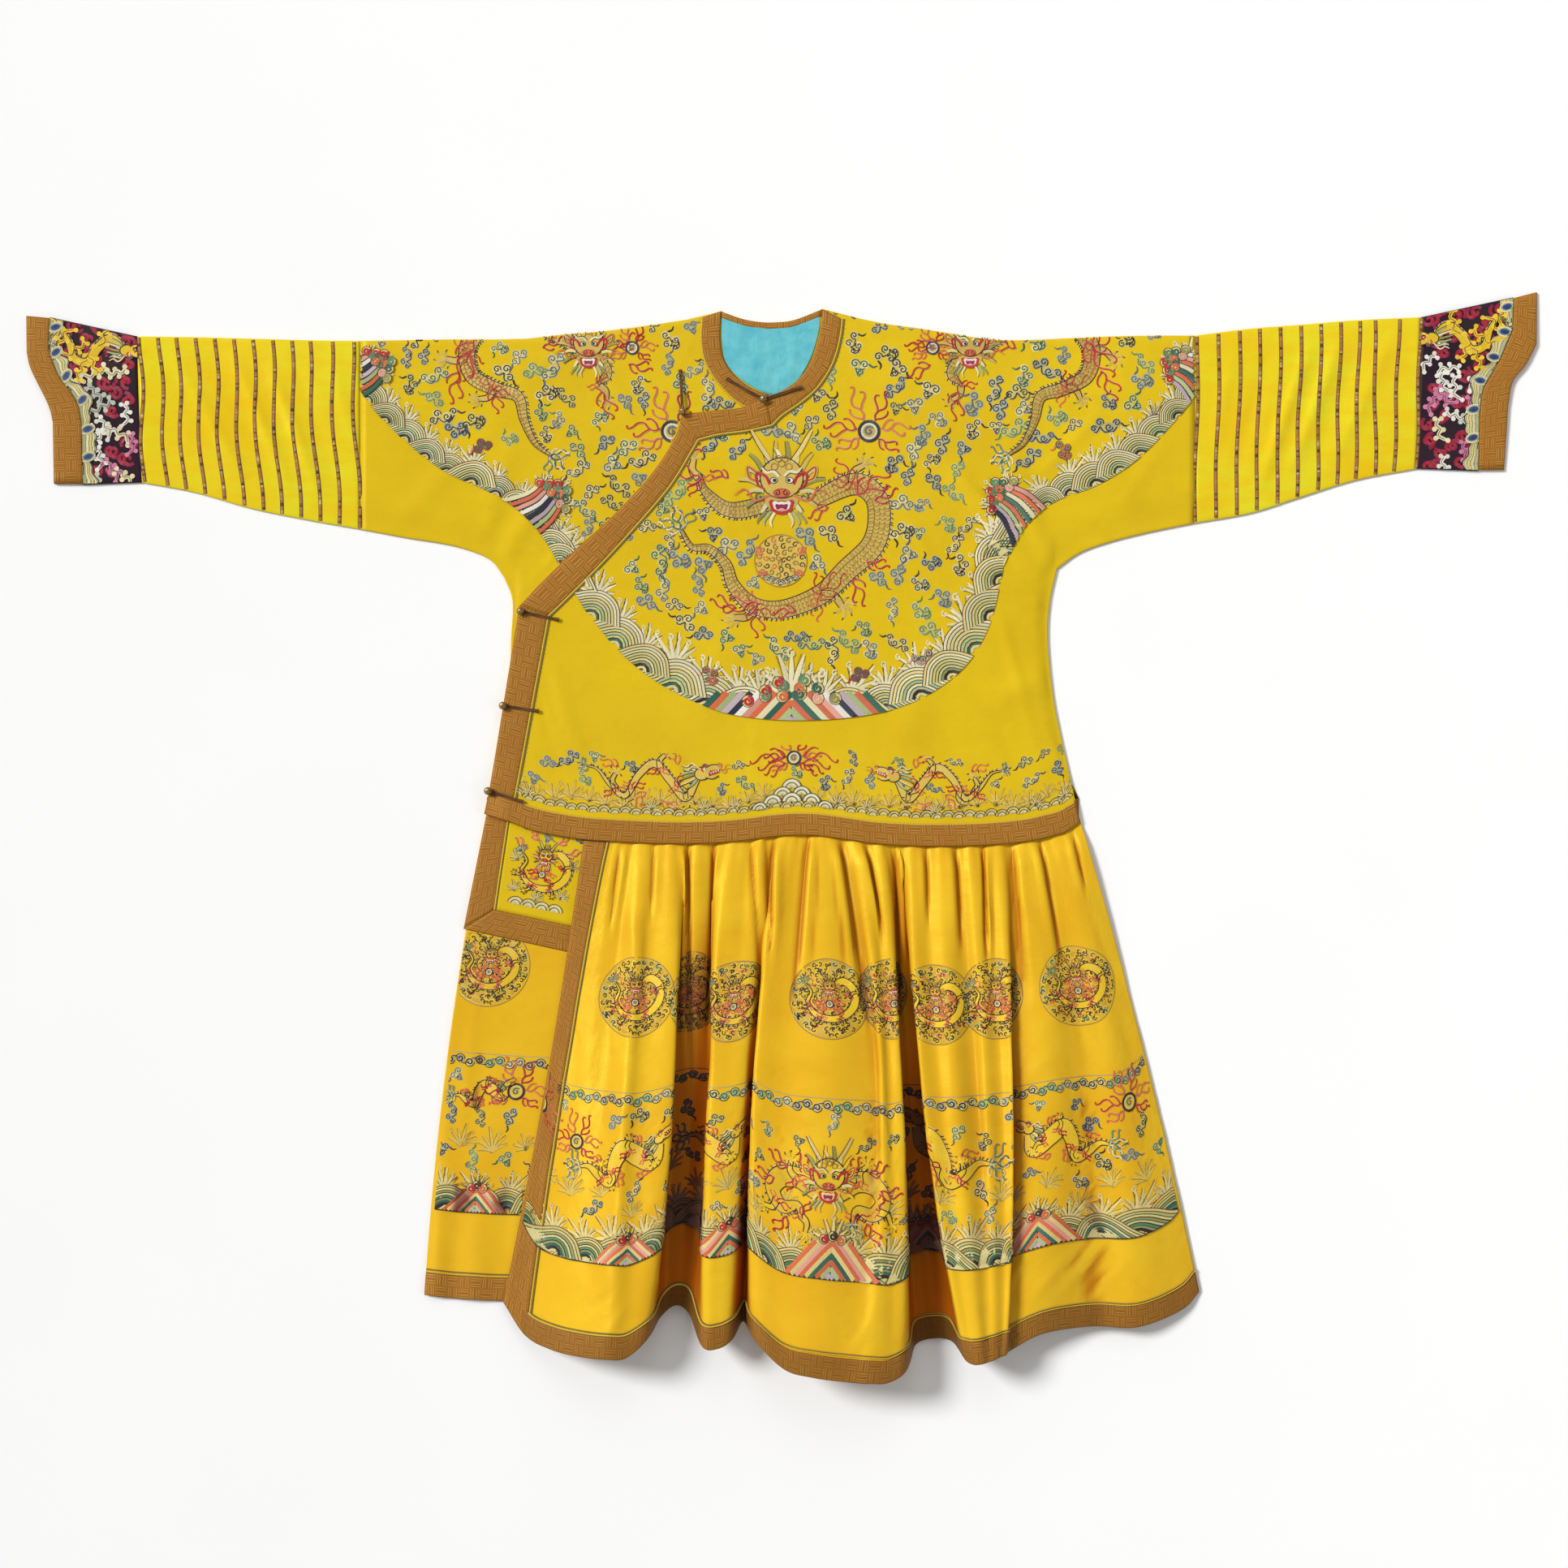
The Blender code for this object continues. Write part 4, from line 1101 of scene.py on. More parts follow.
class Embroidery:
    """Stitched shapes in a flat drawing, in millimetres, which are sewn to a cloth later."""

    def __init__(self):
        self.strips = []

    def strip(self, grid, swell, thread, level):
        self.strips.append((np.asarray(grid, float), np.asarray(swell, float), thread, level))

    def line(self, points, width, thread, level=2):
        """A line of satin stitch, full along its middle."""
        points = np.asarray(points, float)
        half = aside(points) * (np.broadcast_to(width, len(points)) / 2.0)[:, None]
        lines, swell = [points + half, points - half], (0.14, 0.14)
        if np.max(width) >= FULL_WIDTH:
            lines, swell = [points + half, points, points - half], (0.05, 0.24, 0.05)
        self.strip(np.stack(lines, axis=1), swell, thread, level)

    def stroke(self, points, width, thread, level, step=2.2, tip=None):
        """A smooth line through points, of one width or running out to its tips."""
        line = smooth(points, step)
        self.line(line, width if tip is None else taper(len(line), width, tip), thread, level)
        return line

    def rim(self, line, away, width, thread, level):
        """A fine line beside another one."""
        self.line(beside(line, away), width, thread, level)

    def patch(self, left, right, thread, level=1, across=2, swell=0.12):
        """The cloth between two lines, filled."""
        left, right = np.asarray(left, float), np.asarray(right, float)
        shares = np.linspace(0.0, 1.0, across + 1)
        grid = left[:, None] + (right - left)[:, None] * shares[None, :, None]
        self.strip(grid, 0.05 + swell * np.sin(pi * shares), thread, level)

    def disc(self, centre, radius, thread, level=2, tall=1.0, points=14):
        """A filled round or oval."""
        angle = np.linspace(-pi / 2, pi / 2, points // 2 + 1)
        half = np.column_stack([np.cos(angle) * radius, np.sin(angle) * radius * tall])
        self.patch(half * (-1, 1) + centre, half + centre, thread, level, 2, 0.08)

    def ring(self, centre, radius, width, thread, level=3, points=18, tall=1.0):
        angle = np.linspace(0.0, tau, points + 1)
        line = np.column_stack([np.cos(angle), np.sin(angle) * tall]) * radius + centre
        self.line(line, width, thread, level)

    def add(self, other, at=(0.0, 0.0), turn=0.0, scale=1.0, flip=False, level=0):
        """Another drawing turned, sized and moved to its place in this one."""
        c, s = cos(turn) * scale, sin(turn) * scale
        frame_now = np.array(((c, s), (-s, c)))
        if flip:
            frame_now = np.array(((-1.0, 0.0), (0.0, 1.0))) @ frame_now
        for grid, swell, thread, own in other.strips:
            self.strips.append((grid @ frame_now + at, swell, thread, own + level))

    def dye(self, **threads):
        """Changes threads of the drawing for others."""
        self.strips = [(*strip[:2], threads.get(strip[2], strip[2]), strip[3]) for strip in self.strips]

    def spots(self):
        """A sparse cloud of points that the shapes cover."""
        return np.concatenate([strip[0][::3, ::2].reshape(-1, 2) for strip in self.strips])

    def halves(self):
        """The drawing in two: its large shapes, and the clouds that were scattered last."""
        one, other = Embroidery(), Embroidery()
        one.strips, other.strips = self.strips[: self.scattered], self.strips[self.scattered :]
        return one, other


def pressed(grid, swell, thread, level):
    """A strip of thread pressed flat under the robe: its two edges, with half of its points."""
    rows = np.unique(np.append(np.arange(0, len(grid), 2), len(grid) - 1))
    edges = slice(None, None, grid.shape[1] - 1)
    return grid[rows, edges], np.broadcast_to(swell, grid.shape[1])[edges], thread, level


def sew(name, pairs, seed, fence=None, height=1.0):
    """Raised thread on cloth, from pairs of a drawing and the map that carries it there."""
    shades = np.random.default_rng(seed)
    points, faces, colours, flat, count = [], [], [], [], 0
    for drawing, carry in pairs:
        strips = drawing.strips if height >= 1.0 else [pressed(*strip) for strip in drawing.strips]
        spots = np.concatenate([strip[0].reshape(-1, 2) for strip in strips])
        held = np.ones(len(spots), bool)
        if fence is not None:
            held = fence.holds(spots)
            spots = fence.brought_in(spots, held)
        places, normals, good = carry(spots)
        first = 0
        for grid, swell, thread, level in strips:
            rows, columns = grid.shape[:2]
            part = slice(first, first + rows * columns)
            first += rows * columns
            made = grid_faces(rows, columns)
            made = made[good[part][made].all(axis=1) & held[part][made].any(axis=1)]
            if not len(made):
                continue
            lift = (np.tile(swell, rows) + level * LEVEL_LIFT) * height
            spot = places[part] + normals[part] * lift[:, None]
            corner = spot[made]
            facing = np.cross(corner[:, 2] - corner[:, 0], corner[:, 3] - corner[:, 1])
            if (facing * normals[part][made[:, 0]]).sum() < 0:
                made = made[:, ::-1]
            used, index = np.unique(made, return_inverse=True)
            points.append(spot[used])
            faces.append(index.reshape(-1, 4) + count)
            count += len(used)
            tone = np.array(THREADS[thread]) * shades.uniform(*THREAD_SHADES)
            # Painted shade: thread in a fold is darkened by the map's share, green and blue faster than red.
            light = np.asarray(good[part][used], float)[:, None] ** FOLD_TINT
            colours.append(np.column_stack([np.clip(tone, 0, 1) * light, np.ones(len(used))]))
            uv = flat_uv(lengths(grid[:, columns // 2]), lengths(grid[rows // 2])).reshape(-1, 2)
            flat.append(uv[used] + shades.uniform(0, 60, 2))
    flat, faces = np.concatenate(flat), np.concatenate(faces)
    piece = mesh_object(name, placed(np.concatenate(points)), faces, finish("silk_thread"), flat)
    layer = piece.data.attributes.new("thread", "FLOAT_COLOR", "POINT")
    layer.data.foreach_set("color", np.concatenate(colours).astype(np.float32).ravel())
    settle(piece)


class Fence:
    """The edge of an embroidered field: shapes that cross it are trimmed to it."""

    def __init__(self, polygon, reach=14.0):
        self.corners, self.reach = np.asarray(polygon, float), reach

    def holds(self, spots):
        x, y = spots[:, 0], spots[:, 1]
        found = np.zeros(len(spots), bool)
        for (x0, y0), (x1, y1) in zip(self.corners, np.roll(self.corners, -1, axis=0)):
            crosses = (y0 > y) != (y1 > y)
            found ^= crosses & (x < (x1 - x0) * (y - y0) / ((y1 - y0) or 1e-9) + x0)
        return found

    def brought_in(self, spots, held):
        """The spots outside the edge, moved to its nearest place."""
        starts = self.corners
        steps = np.roll(starts, -1, axis=0) - starts
        size = np.maximum((steps**2).sum(axis=1), 1e-12)
        out = spots.copy()
        for i in np.flatnonzero(~held):
            share = np.clip(((spots[i] - starts) * steps).sum(axis=1) / size, 0.0, 1.0)
            near = starts + steps * share[:, None]
            away = np.linalg.norm(near - spots[i], axis=1)
            if away.min() < self.reach:
                out[i] = near[away.argmin()]
        return out


def anywhere(spots):
    """A fence that holds every spot."""
    return np.ones(len(spots), bool)


def arc(centre, radius, start, end, points=10):
    """Part of a circle, its angles in degrees."""
    angle = np.radians(np.linspace(start, end, points))
    return np.column_stack([np.cos(angle), np.sin(angle)]) * radius + centre


def curl(centre, radius, start, turns, hand=1, points=14):
    """A spiral that winds in to its centre."""
    share = np.linspace(0.0, 1.0, points)
    angle = radians(start) + hand * turns * tau * share
    size = radius * (1.0 - 0.82 * share)
    return np.column_stack([np.cos(angle), np.sin(angle)]) * size[:, None] + centre


def taper(count, width, tip=0.25):
    """Widths that swell and then run out to a point."""
    share = np.linspace(0.0, 1.0, count)
    return width * (tip + (1.0 - tip) * np.sin(pi * np.minimum(share * 0.75 + 0.25, 1.0)) ** 0.8)


def heading(angle):
    """The unit step in the direction of an angle."""
    return np.array((cos(angle), sin(angle)))


def cloud(kind, thread, halo):
    """A small cloud of curled heads on a short stem, each with a pale line beside it."""
    art = Embroidery()
    heads = (
        ((-5, 1, 4.2, 0, 1), (4, 3, 4.6, 180, -1), (0, -6, 3.4, 90, 1)),
        ((-7, -2, 4.0, 20, 1), (0, 4, 4.6, 200, -1), (8, -1, 4.0, 160, -1)),
        ((-3, 6, 4.2, 270, 1), (5, 0, 4.0, 180, -1), (-4, -6, 3.8, 60, -1), (4, -9, 3.0, 120, 1)),
        ((-10, 2, 3.8, 0, 1), (-2, -2, 4.2, 180, 1), (7, 3, 4.2, 200, -1), (13, -3, 3.2, 160, -1)),
    )[kind]
    for x, y, radius, start, hand in heads:
        art.disc((x, y), radius + 0.7, halo, 1, 1.0, 8)
        art.line(curl((x, y), radius, start, 1.3, hand, 12), 1.15, thread, 3)
    for (x0, y0, r0, *_), (x1, y1, r1, *_) in zip(heads, heads[1:]):
        bow = ((x0, y0 - r0), ((x0 + x1) / 2, min(y0 - r0, y1 - r1) - 0.6), (x1, y1 - r1))
        art.stroke(bow, 2.6, halo, 1, 2.5)
        art.stroke(bow, 1.2, thread, 3, 2.5)
    x, y, radius = heads[0][:3]
    tail = ((x - radius, y), (x - radius - 4, y - 3.5), (x - radius - 8.5, y - 2.5))
    art.stroke(tail, 1.9, thread, 3, 2.2, 0.25)
    return art


# Middle lines of the three tongues of a flame of length 1.
TONGUES = (
    ((0, 0), (0.16, 0.10), (0.34, 0.06), (0.50, -0.06), (0.68, -0.02), (0.82, 0.14), (0.96, 0.20), (1, 0.10)),
    ((0.30, 0.08), (0.44, 0.20), (0.58, 0.36), (0.72, 0.38), (0.76, 0.28)),
    ((0.06, 0.02), (0.18, -0.14), (0.34, -0.22), (0.46, -0.18)),
)


def flame(length, thread, hand=1, width=1.8):
    """A licking tongue of flame with two shorter ones beside it."""
    art = Embroidery()
    for tongue in TONGUES:
        spots = np.array(tongue) * (length, length * hand)
        line = art.stroke(spots, width * 1.2, "pink", 2, max(length * 0.045, 1.6), 0.45)
        art.rim(line, -hand * width * 0.2, 1.8, thread, 3)
    return art


def pearl(radius):
    """A flaming pearl: a ringed disc with a curl in it, in tongues of flame."""
    art = Embroidery()
    art.disc((0, 0), radius, "dragon_gold", 2)
    art.ring((0, 0), radius, radius * 0.28, "navy", 4)
    art.ring((0, 0), radius * 0.72, radius * 0.16, "white", 3)
    art.line(curl((0, 0), radius * 0.5, 40, 1.2), radius * 0.2, "blue", 4)
    tongues = ((60, 3.2, 1), (118, 3.6, -1), (168, 3.4, 1), (215, 2.6, -1), (12, 3.0, -1), (-40, 2.4, 1))
    for angle, reach, hand in tongues:
        way = radians(angle)
        tongue = flame(radius * reach, "red" if hand > 0 else "coral", hand, radius * 0.17)
        art.add(tongue, heading(way) * radius * 1.2, way)
    return art


def scallop(radius, colours, level=2):
    """One round-headed wave of nested lines, its head towards +Y."""
    art = Embroidery()
    deep, middle, pale = colours
    fills = (middle, pale, middle, deep, deep)
    rings, ends, finest = max(4, int(radius / 2.7)), (12, 168), 0.9
    ground = arc((0, 0), radius, *ends, 9)
    art.patch(ground[::-1], ground[::-1] * 0.12, "water_ground", level)
    step = 0.80 * radius / rings
    for i in range(rings):
        line = arc((0, 0), radius - i * step, *ends, 11)
        if i % 2 == 0 and i < 5:
            art.line(line, finest, "outline", level + 1)
        else:
            art.line(line, step * 0.75, fills[min(i // 2, 4)], level + 1)
    return art


SWELLS = (
    ("cream", "cream", "straw", "mist", "straw", "pale_green", "moss", "dark_green"),
    ("cream", "straw", "cream", "mist", "pale_green", "cream", "sea_grey", "outline"),
    ("straw", "cream", "mist", "straw", "moss", "mist", "olive", "outline"),
)

# The outer line of a rolling wave of radius 1, from its back over its head to its foot.
WAVE_BACK = ((-1.9, -0.36), (-1.3, 0.16), (-0.6, 0.72), (0.12, 0.97), (0.74, 0.70), (1.06, 0.0))


def swell(radius, tones, hand=1, level=2):
    """A rolling wave of nested lines: a long back, a round head, and a steep face towards +X."""
    art = Embroidery()
    back, step = np.array(WAVE_BACK) * (hand, 1), radius * 0.17
    outer = smooth(back * radius, step)
    art.patch(outer, outer * 0.1, "mist", level)
    for i, thread in enumerate(tones):
        spots = back * radius * (1.0 - 0.108 * i)
        line = art.stroke(spots, max(radius * 0.085, 1.3), thread, level + 1, step)
        dark = "umber" if i < 2 else "outline" if i % 2 else "dark_green"
        art.rim(line, radius * 0.05 * hand, 1.0 + 0.06 * i, dark, level + 2)
    return art


DEEP_SWELLS = (
    ("straw", "moss", "straw", "olive", "moss", "green", "olive", "outline"),
    ("straw", "badge_gold", "moss", "olive", "moss", "dark_green", "green", "outline"),
    ("moss", "straw", "olive", "straw", "green", "olive", "dark_green", "outline"),
)


def along_line(line, spots, hand=1.0):
    """Where each distance along a line lies, and the unit step to the line's left there."""
    run, sides = lengths(line), aside(line) * hand
    for spot in spots:
        yield spot, *(np.array([np.interp(spot, run, each[:, i]) for i in (0, 1)]) for each in (line, sides))


def surf(path, radius, gap, seed, middle=0.5, upward=0.6, tones=SWELLS):
    """Rolling waves along a path, their faces towards its mountain, with spray between them."""
    art = Embroidery()
    pick = np.random.default_rng(seed)
    whole = lengths(path)[-1]
    spots = np.arange(gap * 0.3, whole + gap * 0.4, gap)
    spots = sorted(spots, key=lambda spot: -abs(spot - whole * middle))
    for number, (spot, at, (nx, ny)) in enumerate(along_line(path, spots)):
        hand = 1 if spot < whole * middle else -1
        turn = np.arctan2(ny * (1 - upward) + upward, nx * (1 - upward)) - pi / 2
        size = radius * pick.uniform(0.9, 1.15)
        crest = (at[0] - sin(turn) * size * 0.75, at[1] + cos(turn) * size * 0.75)
        for lean, reach in ((0.75, 1.15), (0.1, 0.95)):
            fan = splash(size * reach * pick.uniform(0.8, 1.05), "cream", 7, 100)
            art.add(fan, crest, turn + lean * hand, level=1)
        wave = swell(size, tones[int(pick.integers(0, 3))], hand)
        art.add(wave, at, turn, level=3 + 3 * (number % 3))
    return art


def splash(size, thread="cream", rays=7, spread=120):
    """Spray thrown up by a wave: a fan of bending drops with curled tips."""
    art = Embroidery()
    for i in range(rays):
        share = i / (rays - 1) - 0.5
        way = radians(90 - share * spread)
        reach = size * (1.0 - 0.45 * abs(share) * 2 + (0.12 if i % 2 else 0.0))
        bow = share * size * 0.35
        spots = ((0, 0), heading(way) * reach * 0.55, heading(way) * reach + (bow, -abs(bow) * 0.3))
        line = art.stroke(spots, size * 0.12, thread, 2, max(1.6, size * 0.1), 0.3)
        art.rim(line, size * 0.065, 0.8, "umber" if i % 2 else "olive", 2)
        if i % 3 == 1:
            tip = curl(line[-1], size * 0.11, 90, 1.1, -1 if share > 0 else 1, 9)
            art.line(tip, size * 0.05, thread, 3)
    return art


ROCKS = ("dark_green", "cream", "coral", "pink", "white", "navy", "lavender", "pale_green", "coral")


def mountain(width, height, step=6.2, first=0, lean=0.95):
    """A sacred mountain of nested slanting stripes whose crest lies under foam."""
    art = Embroidery()
    for i in range(-int(height / step / 1.05), int(width / 2 / step) + 1):
        x = i * step
        rise = height if i >= 0 else height + x / lean
        for side in (-1, 1):
            start = (side * max(x, 0.0), rise)
            foot = (side * (max(x, 0.0) + rise * lean), 0.0)
            art.line(resampled((start, foot), 4.0), step * 0.80, ROCKS[(i + first) % len(ROCKS)], 4)
    return art


def bluff(width, height, step=6.4, first=0):
    """A headland of bowed stripes that run side by side to the shore."""
    art = Embroidery()
    for i, x in enumerate(np.arange(-width / 2, width / 2 + 0.1, step)):
        crest, middle = (x * 0.85, height), (x + 3.0, height * 0.5)
        foot, shore = (x * 1.2, 0.0), (x * 1.35 - 4.0, -height * 0.35)
        stripe = ROCKS[(i + first) % len(ROCKS)]
        line = art.stroke((crest, middle, foot, shore), step * 0.85, stripe, 4, 4.0)
        art.rim(line, step * 0.4, 0.9, "outline", 6)
    return art


FOAM = ("red", "green", "coral", "dark_green", "pink", "olive")


def foam_heads(width, count, threads=FOAM, size=1.0):
    """A row of curled heads of foam."""
    art = Embroidery()
    for i in range(count):
        share = i / max(count - 1, 1) - 0.5
        spot = (share * width, -abs(share) ** 1.4 * width * 0.16 + (3 if i % 2 else 0))
        art.disc(spot, 6.0 * size, "straw", 5, 1.0, 10)
        art.ring(spot, 6.2 * size, 0.9, "umber", 6, 12)
        spiral = curl(spot, 5.0 * size, 90, 1.4, 1 if share > 0 else -1)
        art.line(spiral, taper(14, 3.0 * size, 0.5), threads[i % len(threads)], 7)
    return art


def dragon_body(art, spine, girth, hand=1, tail=True, level=2, scaled=False):
    """A body along its spine from the neck to the tail, finned and, if asked, scaled."""
    line = smooth(spine, 2.6)
    share = np.linspace(0.0, 1.0, len(line))
    half = girth * np.interp(share, (0, 0.12, 0.35, 0.7, 1.0), (0.72, 0.95, 1.0, 0.7, 0.16))
    upper, lower = beside(line, half * hand), beside(line, -half * hand)
    art.patch(upper, lower, "dragon_gold", level, 3)
    art.rim(line, half * hand + 0.9 * hand, 1.2, "cream", level + 1)
    art.line(upper, 1.1, "outline", level + 2)
    art.line(lower, 1.1, "outline", level + 2)
    belly = beside(line, -half * hand * 0.45)
    if scaled:
        art.line(belly, 0.9, "dragon_brown", level + 2)
    run, sides = lengths(line), aside(line)
    for spot in np.arange(4.0, run[-1] - 3.0, 4.6):
        at = int(np.interp(spot, run, np.arange(len(line))))
        ahead, out = np.array((sides[at][1], -sides[at][0])), sides[at] * hand
        fin = (upper[at], upper[at] + out * (1.5 + girth * 0.16) + ahead * 1.8)
        art.line(fin, (1.8, 0.9), "outline", level + 2)
        if not scaled:
            continue
        art.line((belly[at], lower[at] + ahead * 1.6), 0.8, "dragon_brown", level + 2)
        way = np.degrees(np.arctan2(ahead[1], ahead[0]))
        for row in (0.18, 0.5, 0.82) if girth > 6 else (0.5,):
            near = min(at + (2 if row == 0.5 else 0), len(line) - 1)
            centre = belly[near] + (upper[near] - belly[near]) * row
            size = max(half[near] * 0.26, 1.1)
            art.line(arc(centre, size, way - 85, way + 85, 5), 0.75, "dragon_brown", level + 2)
    if tail:
        way = np.arctan2(*(line[-1] - line[-4])[::-1])
        for i, spread in enumerate((-0.9, -0.45, 0.0, 0.45, 0.9)):
            tuft = flame(girth * 2.1, ("green", "cream", "dark_green")[i % 3], 1 if i % 2 else -1)
            art.add(tuft, line[-1], way + spread, level=level)
    return line


def claw(size, level=3):
    """A five-clawed foot on a short leg that leaves the body at the origin, towards +X."""
    art = Embroidery()
    leg = smooth(((0, 0), (size * 0.5, size * 0.22), (size * 0.95, 0)), 2.0)
    half = np.linspace(size * 0.2, size * 0.12, len(leg))
    art.patch(beside(leg, half), beside(leg, -half), "dragon_gold", level)
    art.rim(leg, half, 1.2, "outline", level + 2)
    art.rim(leg, -half, 1.2, "outline", level + 2)
    for angle in (-95, -45, 0, 45, 95):
        way = radians(angle)
        reach = size * (0.55 if abs(angle) < 90 else 0.42)
        toe = np.array(((0, 0), heading(way) * reach * 0.6, heading(way - 0.35) * reach)) + leg[-1]
        line = art.stroke(toe, size * 0.13, "dragon_gold", level + 1, 1.8, 0.3)
        art.line(line[-3:], 1.1, "outline", level + 3)
    art.add(flame(size * 0.9, "red", -1, 1.4), leg[1], 2.4)
    art.add(flame(size * 0.7, "coral", 1, 1.2), leg[2], -2.2)
    return art


def scaled_by(size):
    """A map from hundredths of a drawing's size, mirrored for one side, to millimetres."""
    return lambda points, side=1: np.asarray(points, float) * (side, 1) * (size / 100.0)


def dragon_face(size):
    """A dragon's head seen from the front, its chin at the origin."""
    art, unit, at = Embroidery(), size / 100.0, scaled_by(size)
    for i, angle in enumerate(np.linspace(-68, 248, 17)):
        way = radians(angle)
        start = np.array((cos(way) * 26, 42 + sin(way) * 24))
        bow = radians(24 if cos(way) > 0 else -24)
        tip = start + heading(way + bow) * (22 + (8 if i % 2 else 0))
        thread = ("cream", "dragon_gold", "straw", "olive")[i % 4]
        line = art.stroke(at((start, (start + tip) / 2 + (0, 3), tip)), 6.5 * unit, thread, 2, 2.4, 0.3)
        art.rim(line, 2.6 * unit, 0.8, "outline", 3)
    for side in (-1, 1):
        horn = at(((13, 68), (24, 84), (30, 94), (38, 108)), side)
        art.rim(art.stroke(horn, 5.5 * unit, "straw", 5, 2.4, 0.35), 3.0 * unit, 0.9, "outline", 6)
        ear = at(((26, 50), (42, 62), (40, 48), (28, 44)), side)
        art.stroke(ear, 5.0 * unit, "dragon_gold", 4)
        art.stroke(ear, 1.6 * unit, "red", 6)
    art.disc(at((0, 48)), 27 * unit, "dragon_gold", 4, 0.95, 18)
    art.ring(at((0, 48)), 27 * unit, 1.4, "outline", 6, 24, 0.95)
    art.disc(at((0, 20)), 21 * unit, "dragon_gold", 5, 0.72, 16)
    for spot in ((0, 66), (-9, 62), (9, 62), (-4, 72), (4, 72)):
        art.ring(at(spot), 4.2 * unit, 1.0, "dragon_brown", 7, 10)
    for side in (-1, 1):
        brow = art.stroke(at(((3, 50), (10, 56), (19, 55), (25, 61)), side), 4.0 * unit, "cream", 7, 2.2, 0.4)
        art.rim(brow, -2.0 * unit, 0.9, "outline", 8)
        art.disc(at((10, 45), side), 4.4 * unit, "white", 8, 0.8, 10)
        art.ring(at((10, 45), side), 4.6 * unit, 0.9, "outline", 9, 10, 0.8)
        art.disc(at((9, 45), side), 2.3 * unit, "outline", 10, 1.0, 8)
        lid = at(((15, 40), (20, 50), (31, 54), (30, 40), (21, 34)), side)
        art.stroke(lid, 3.6 * unit, "red", 7, 2.2, 0.4)
        art.line(curl(at((28, 24), side), 6 * unit, 60, 1.1, -side), 1.6 * unit, "dark_green", 7)
        art.line(curl(at((5.5, 29), side), 4.0 * unit, 90, 1.0, side, 9), 1.3 * unit, "outline", 9)
        whisker = at(((14, 26), (34, 20), (46, 34), (60, 26)), side)
        art.stroke(whisker, 2.6 * unit, "coral", 8, 2.4, 0.3)
        for lock, tone in enumerate(("cream", "pale_green", "olive")):
            beard = at(((8 + 6 * lock, 6), (14 + 8 * lock, -6), (12 + 9 * lock, -14 + 2 * lock)), side)
            art.stroke(beard, 3.6 * unit, tone, 5, 2.2, 0.3)
    art.disc(at((0, 29)), 10 * unit, "coral", 8, 0.5, 12)
    art.ring(at((0, 29)), 10 * unit, 1.0, "red", 9, 12, 0.55)
    low = at(((-16, 18), (-13, 7), (-6, 3), (0, 2), (6, 3), (13, 7), (16, 18)))
    high = at(((-16, 18), (-13, 21), (-6, 19), (0, 20), (6, 19), (13, 21), (16, 18)))
    art.patch(high, low, "red", 9)
    art.patch(high * (0.72, 0.8) + at((0, 2.5)), low * (0.72, 0.62) + at((0, 5)), "white", 10)
    art.patch(high * (0.5, 0.5) + at((0, 5)), low * (0.5, 0.4) + at((0, 6)), "crimson", 11)
    art.disc(at((0, 8)), 4.0 * unit, "pink", 12, 0.55, 8)
    return art


def dragon_profile(size):
    """A dragon's head seen from the side, its neck at the origin and its nose towards +X."""
    art, unit, at = Embroidery(), size / 100.0, scaled_by(size)
    for i, (rise, reach) in enumerate(((38, 30), (26, 44), (12, 52), (-4, 48), (-20, 34))):
        mane = at(((18, 14), (-6, rise * 0.8 + 6), (-reach, rise)))
        lock = art.stroke(mane, 9 * unit, ("cream", "pale_green", "olive")[i % 3], 2, 2.4, 0.3)
        art.rim(lock, 3.5 * unit, 0.8, "outline", 3)
    art.disc(at((26, 12)), 26 * unit, "dragon_gold", 4, 0.8, 16)
    art.ring(at((26, 12)), 26 * unit, 1.3, "outline", 5, 20, 0.8)
    snout = smooth(at(((40, 18), (62, 20), (80, 14), (86, 20))), 2.2)
    art.line(snout, np.linspace(20, 13, len(snout)) * unit, "dragon_gold", 5)
    art.rim(snout, 9 * unit, 1.3, "outline", 6)
    jaw = art.stroke(at(((34, 0), (52, -10), (72, -8))), 9 * unit, "dragon_gold", 5, 2.2, 0.25)
    art.rim(jaw, -4.5 * unit, 1.2, "outline", 6)
    art.stroke(at(((44, 4), (62, 3), (78, 4))), 9 * unit, "red", 6)
    for x in (52, 60, 68, 76):
        art.line(at(((x, 8), (x, 2))), 3 * unit, "white", 8)
    art.disc(at((38, 22)), 4.6 * unit, "white", 7, 0.9, 10)
    art.disc(at((39, 22)), 2.4 * unit, "outline", 9, 1.0, 8)
    art.stroke(at(((30, 16), (26, 26), (38, 32), (48, 26))), 4 * unit, "red", 7, 2.0)
    art.line(curl(at((84, 20)), 8 * unit, 120, 1.2, -1), 3 * unit, "coral", 7)
    art.stroke(at(((30, 30), (38, 38), (48, 32))), 5 * unit, "dark_green", 7, 2.0)
    for rise in (44, 56):
        horn = at(((20, 28), (2, rise - 4), (-16, rise - 10), (-30, rise)))
        art.rim(art.stroke(horn, 6 * unit, "cream", 6, 2.4, 0.35), 2.6 * unit, 0.9, "outline", 6)
    for drop in (0, 12):
        whisker = at(((80, 8), (94, 2 - drop), (104, 14 - drop), (118, 8 - drop)))
        art.stroke(whisker, 2.6 * unit, "coral", 7, 2.2, 0.3)
    return art


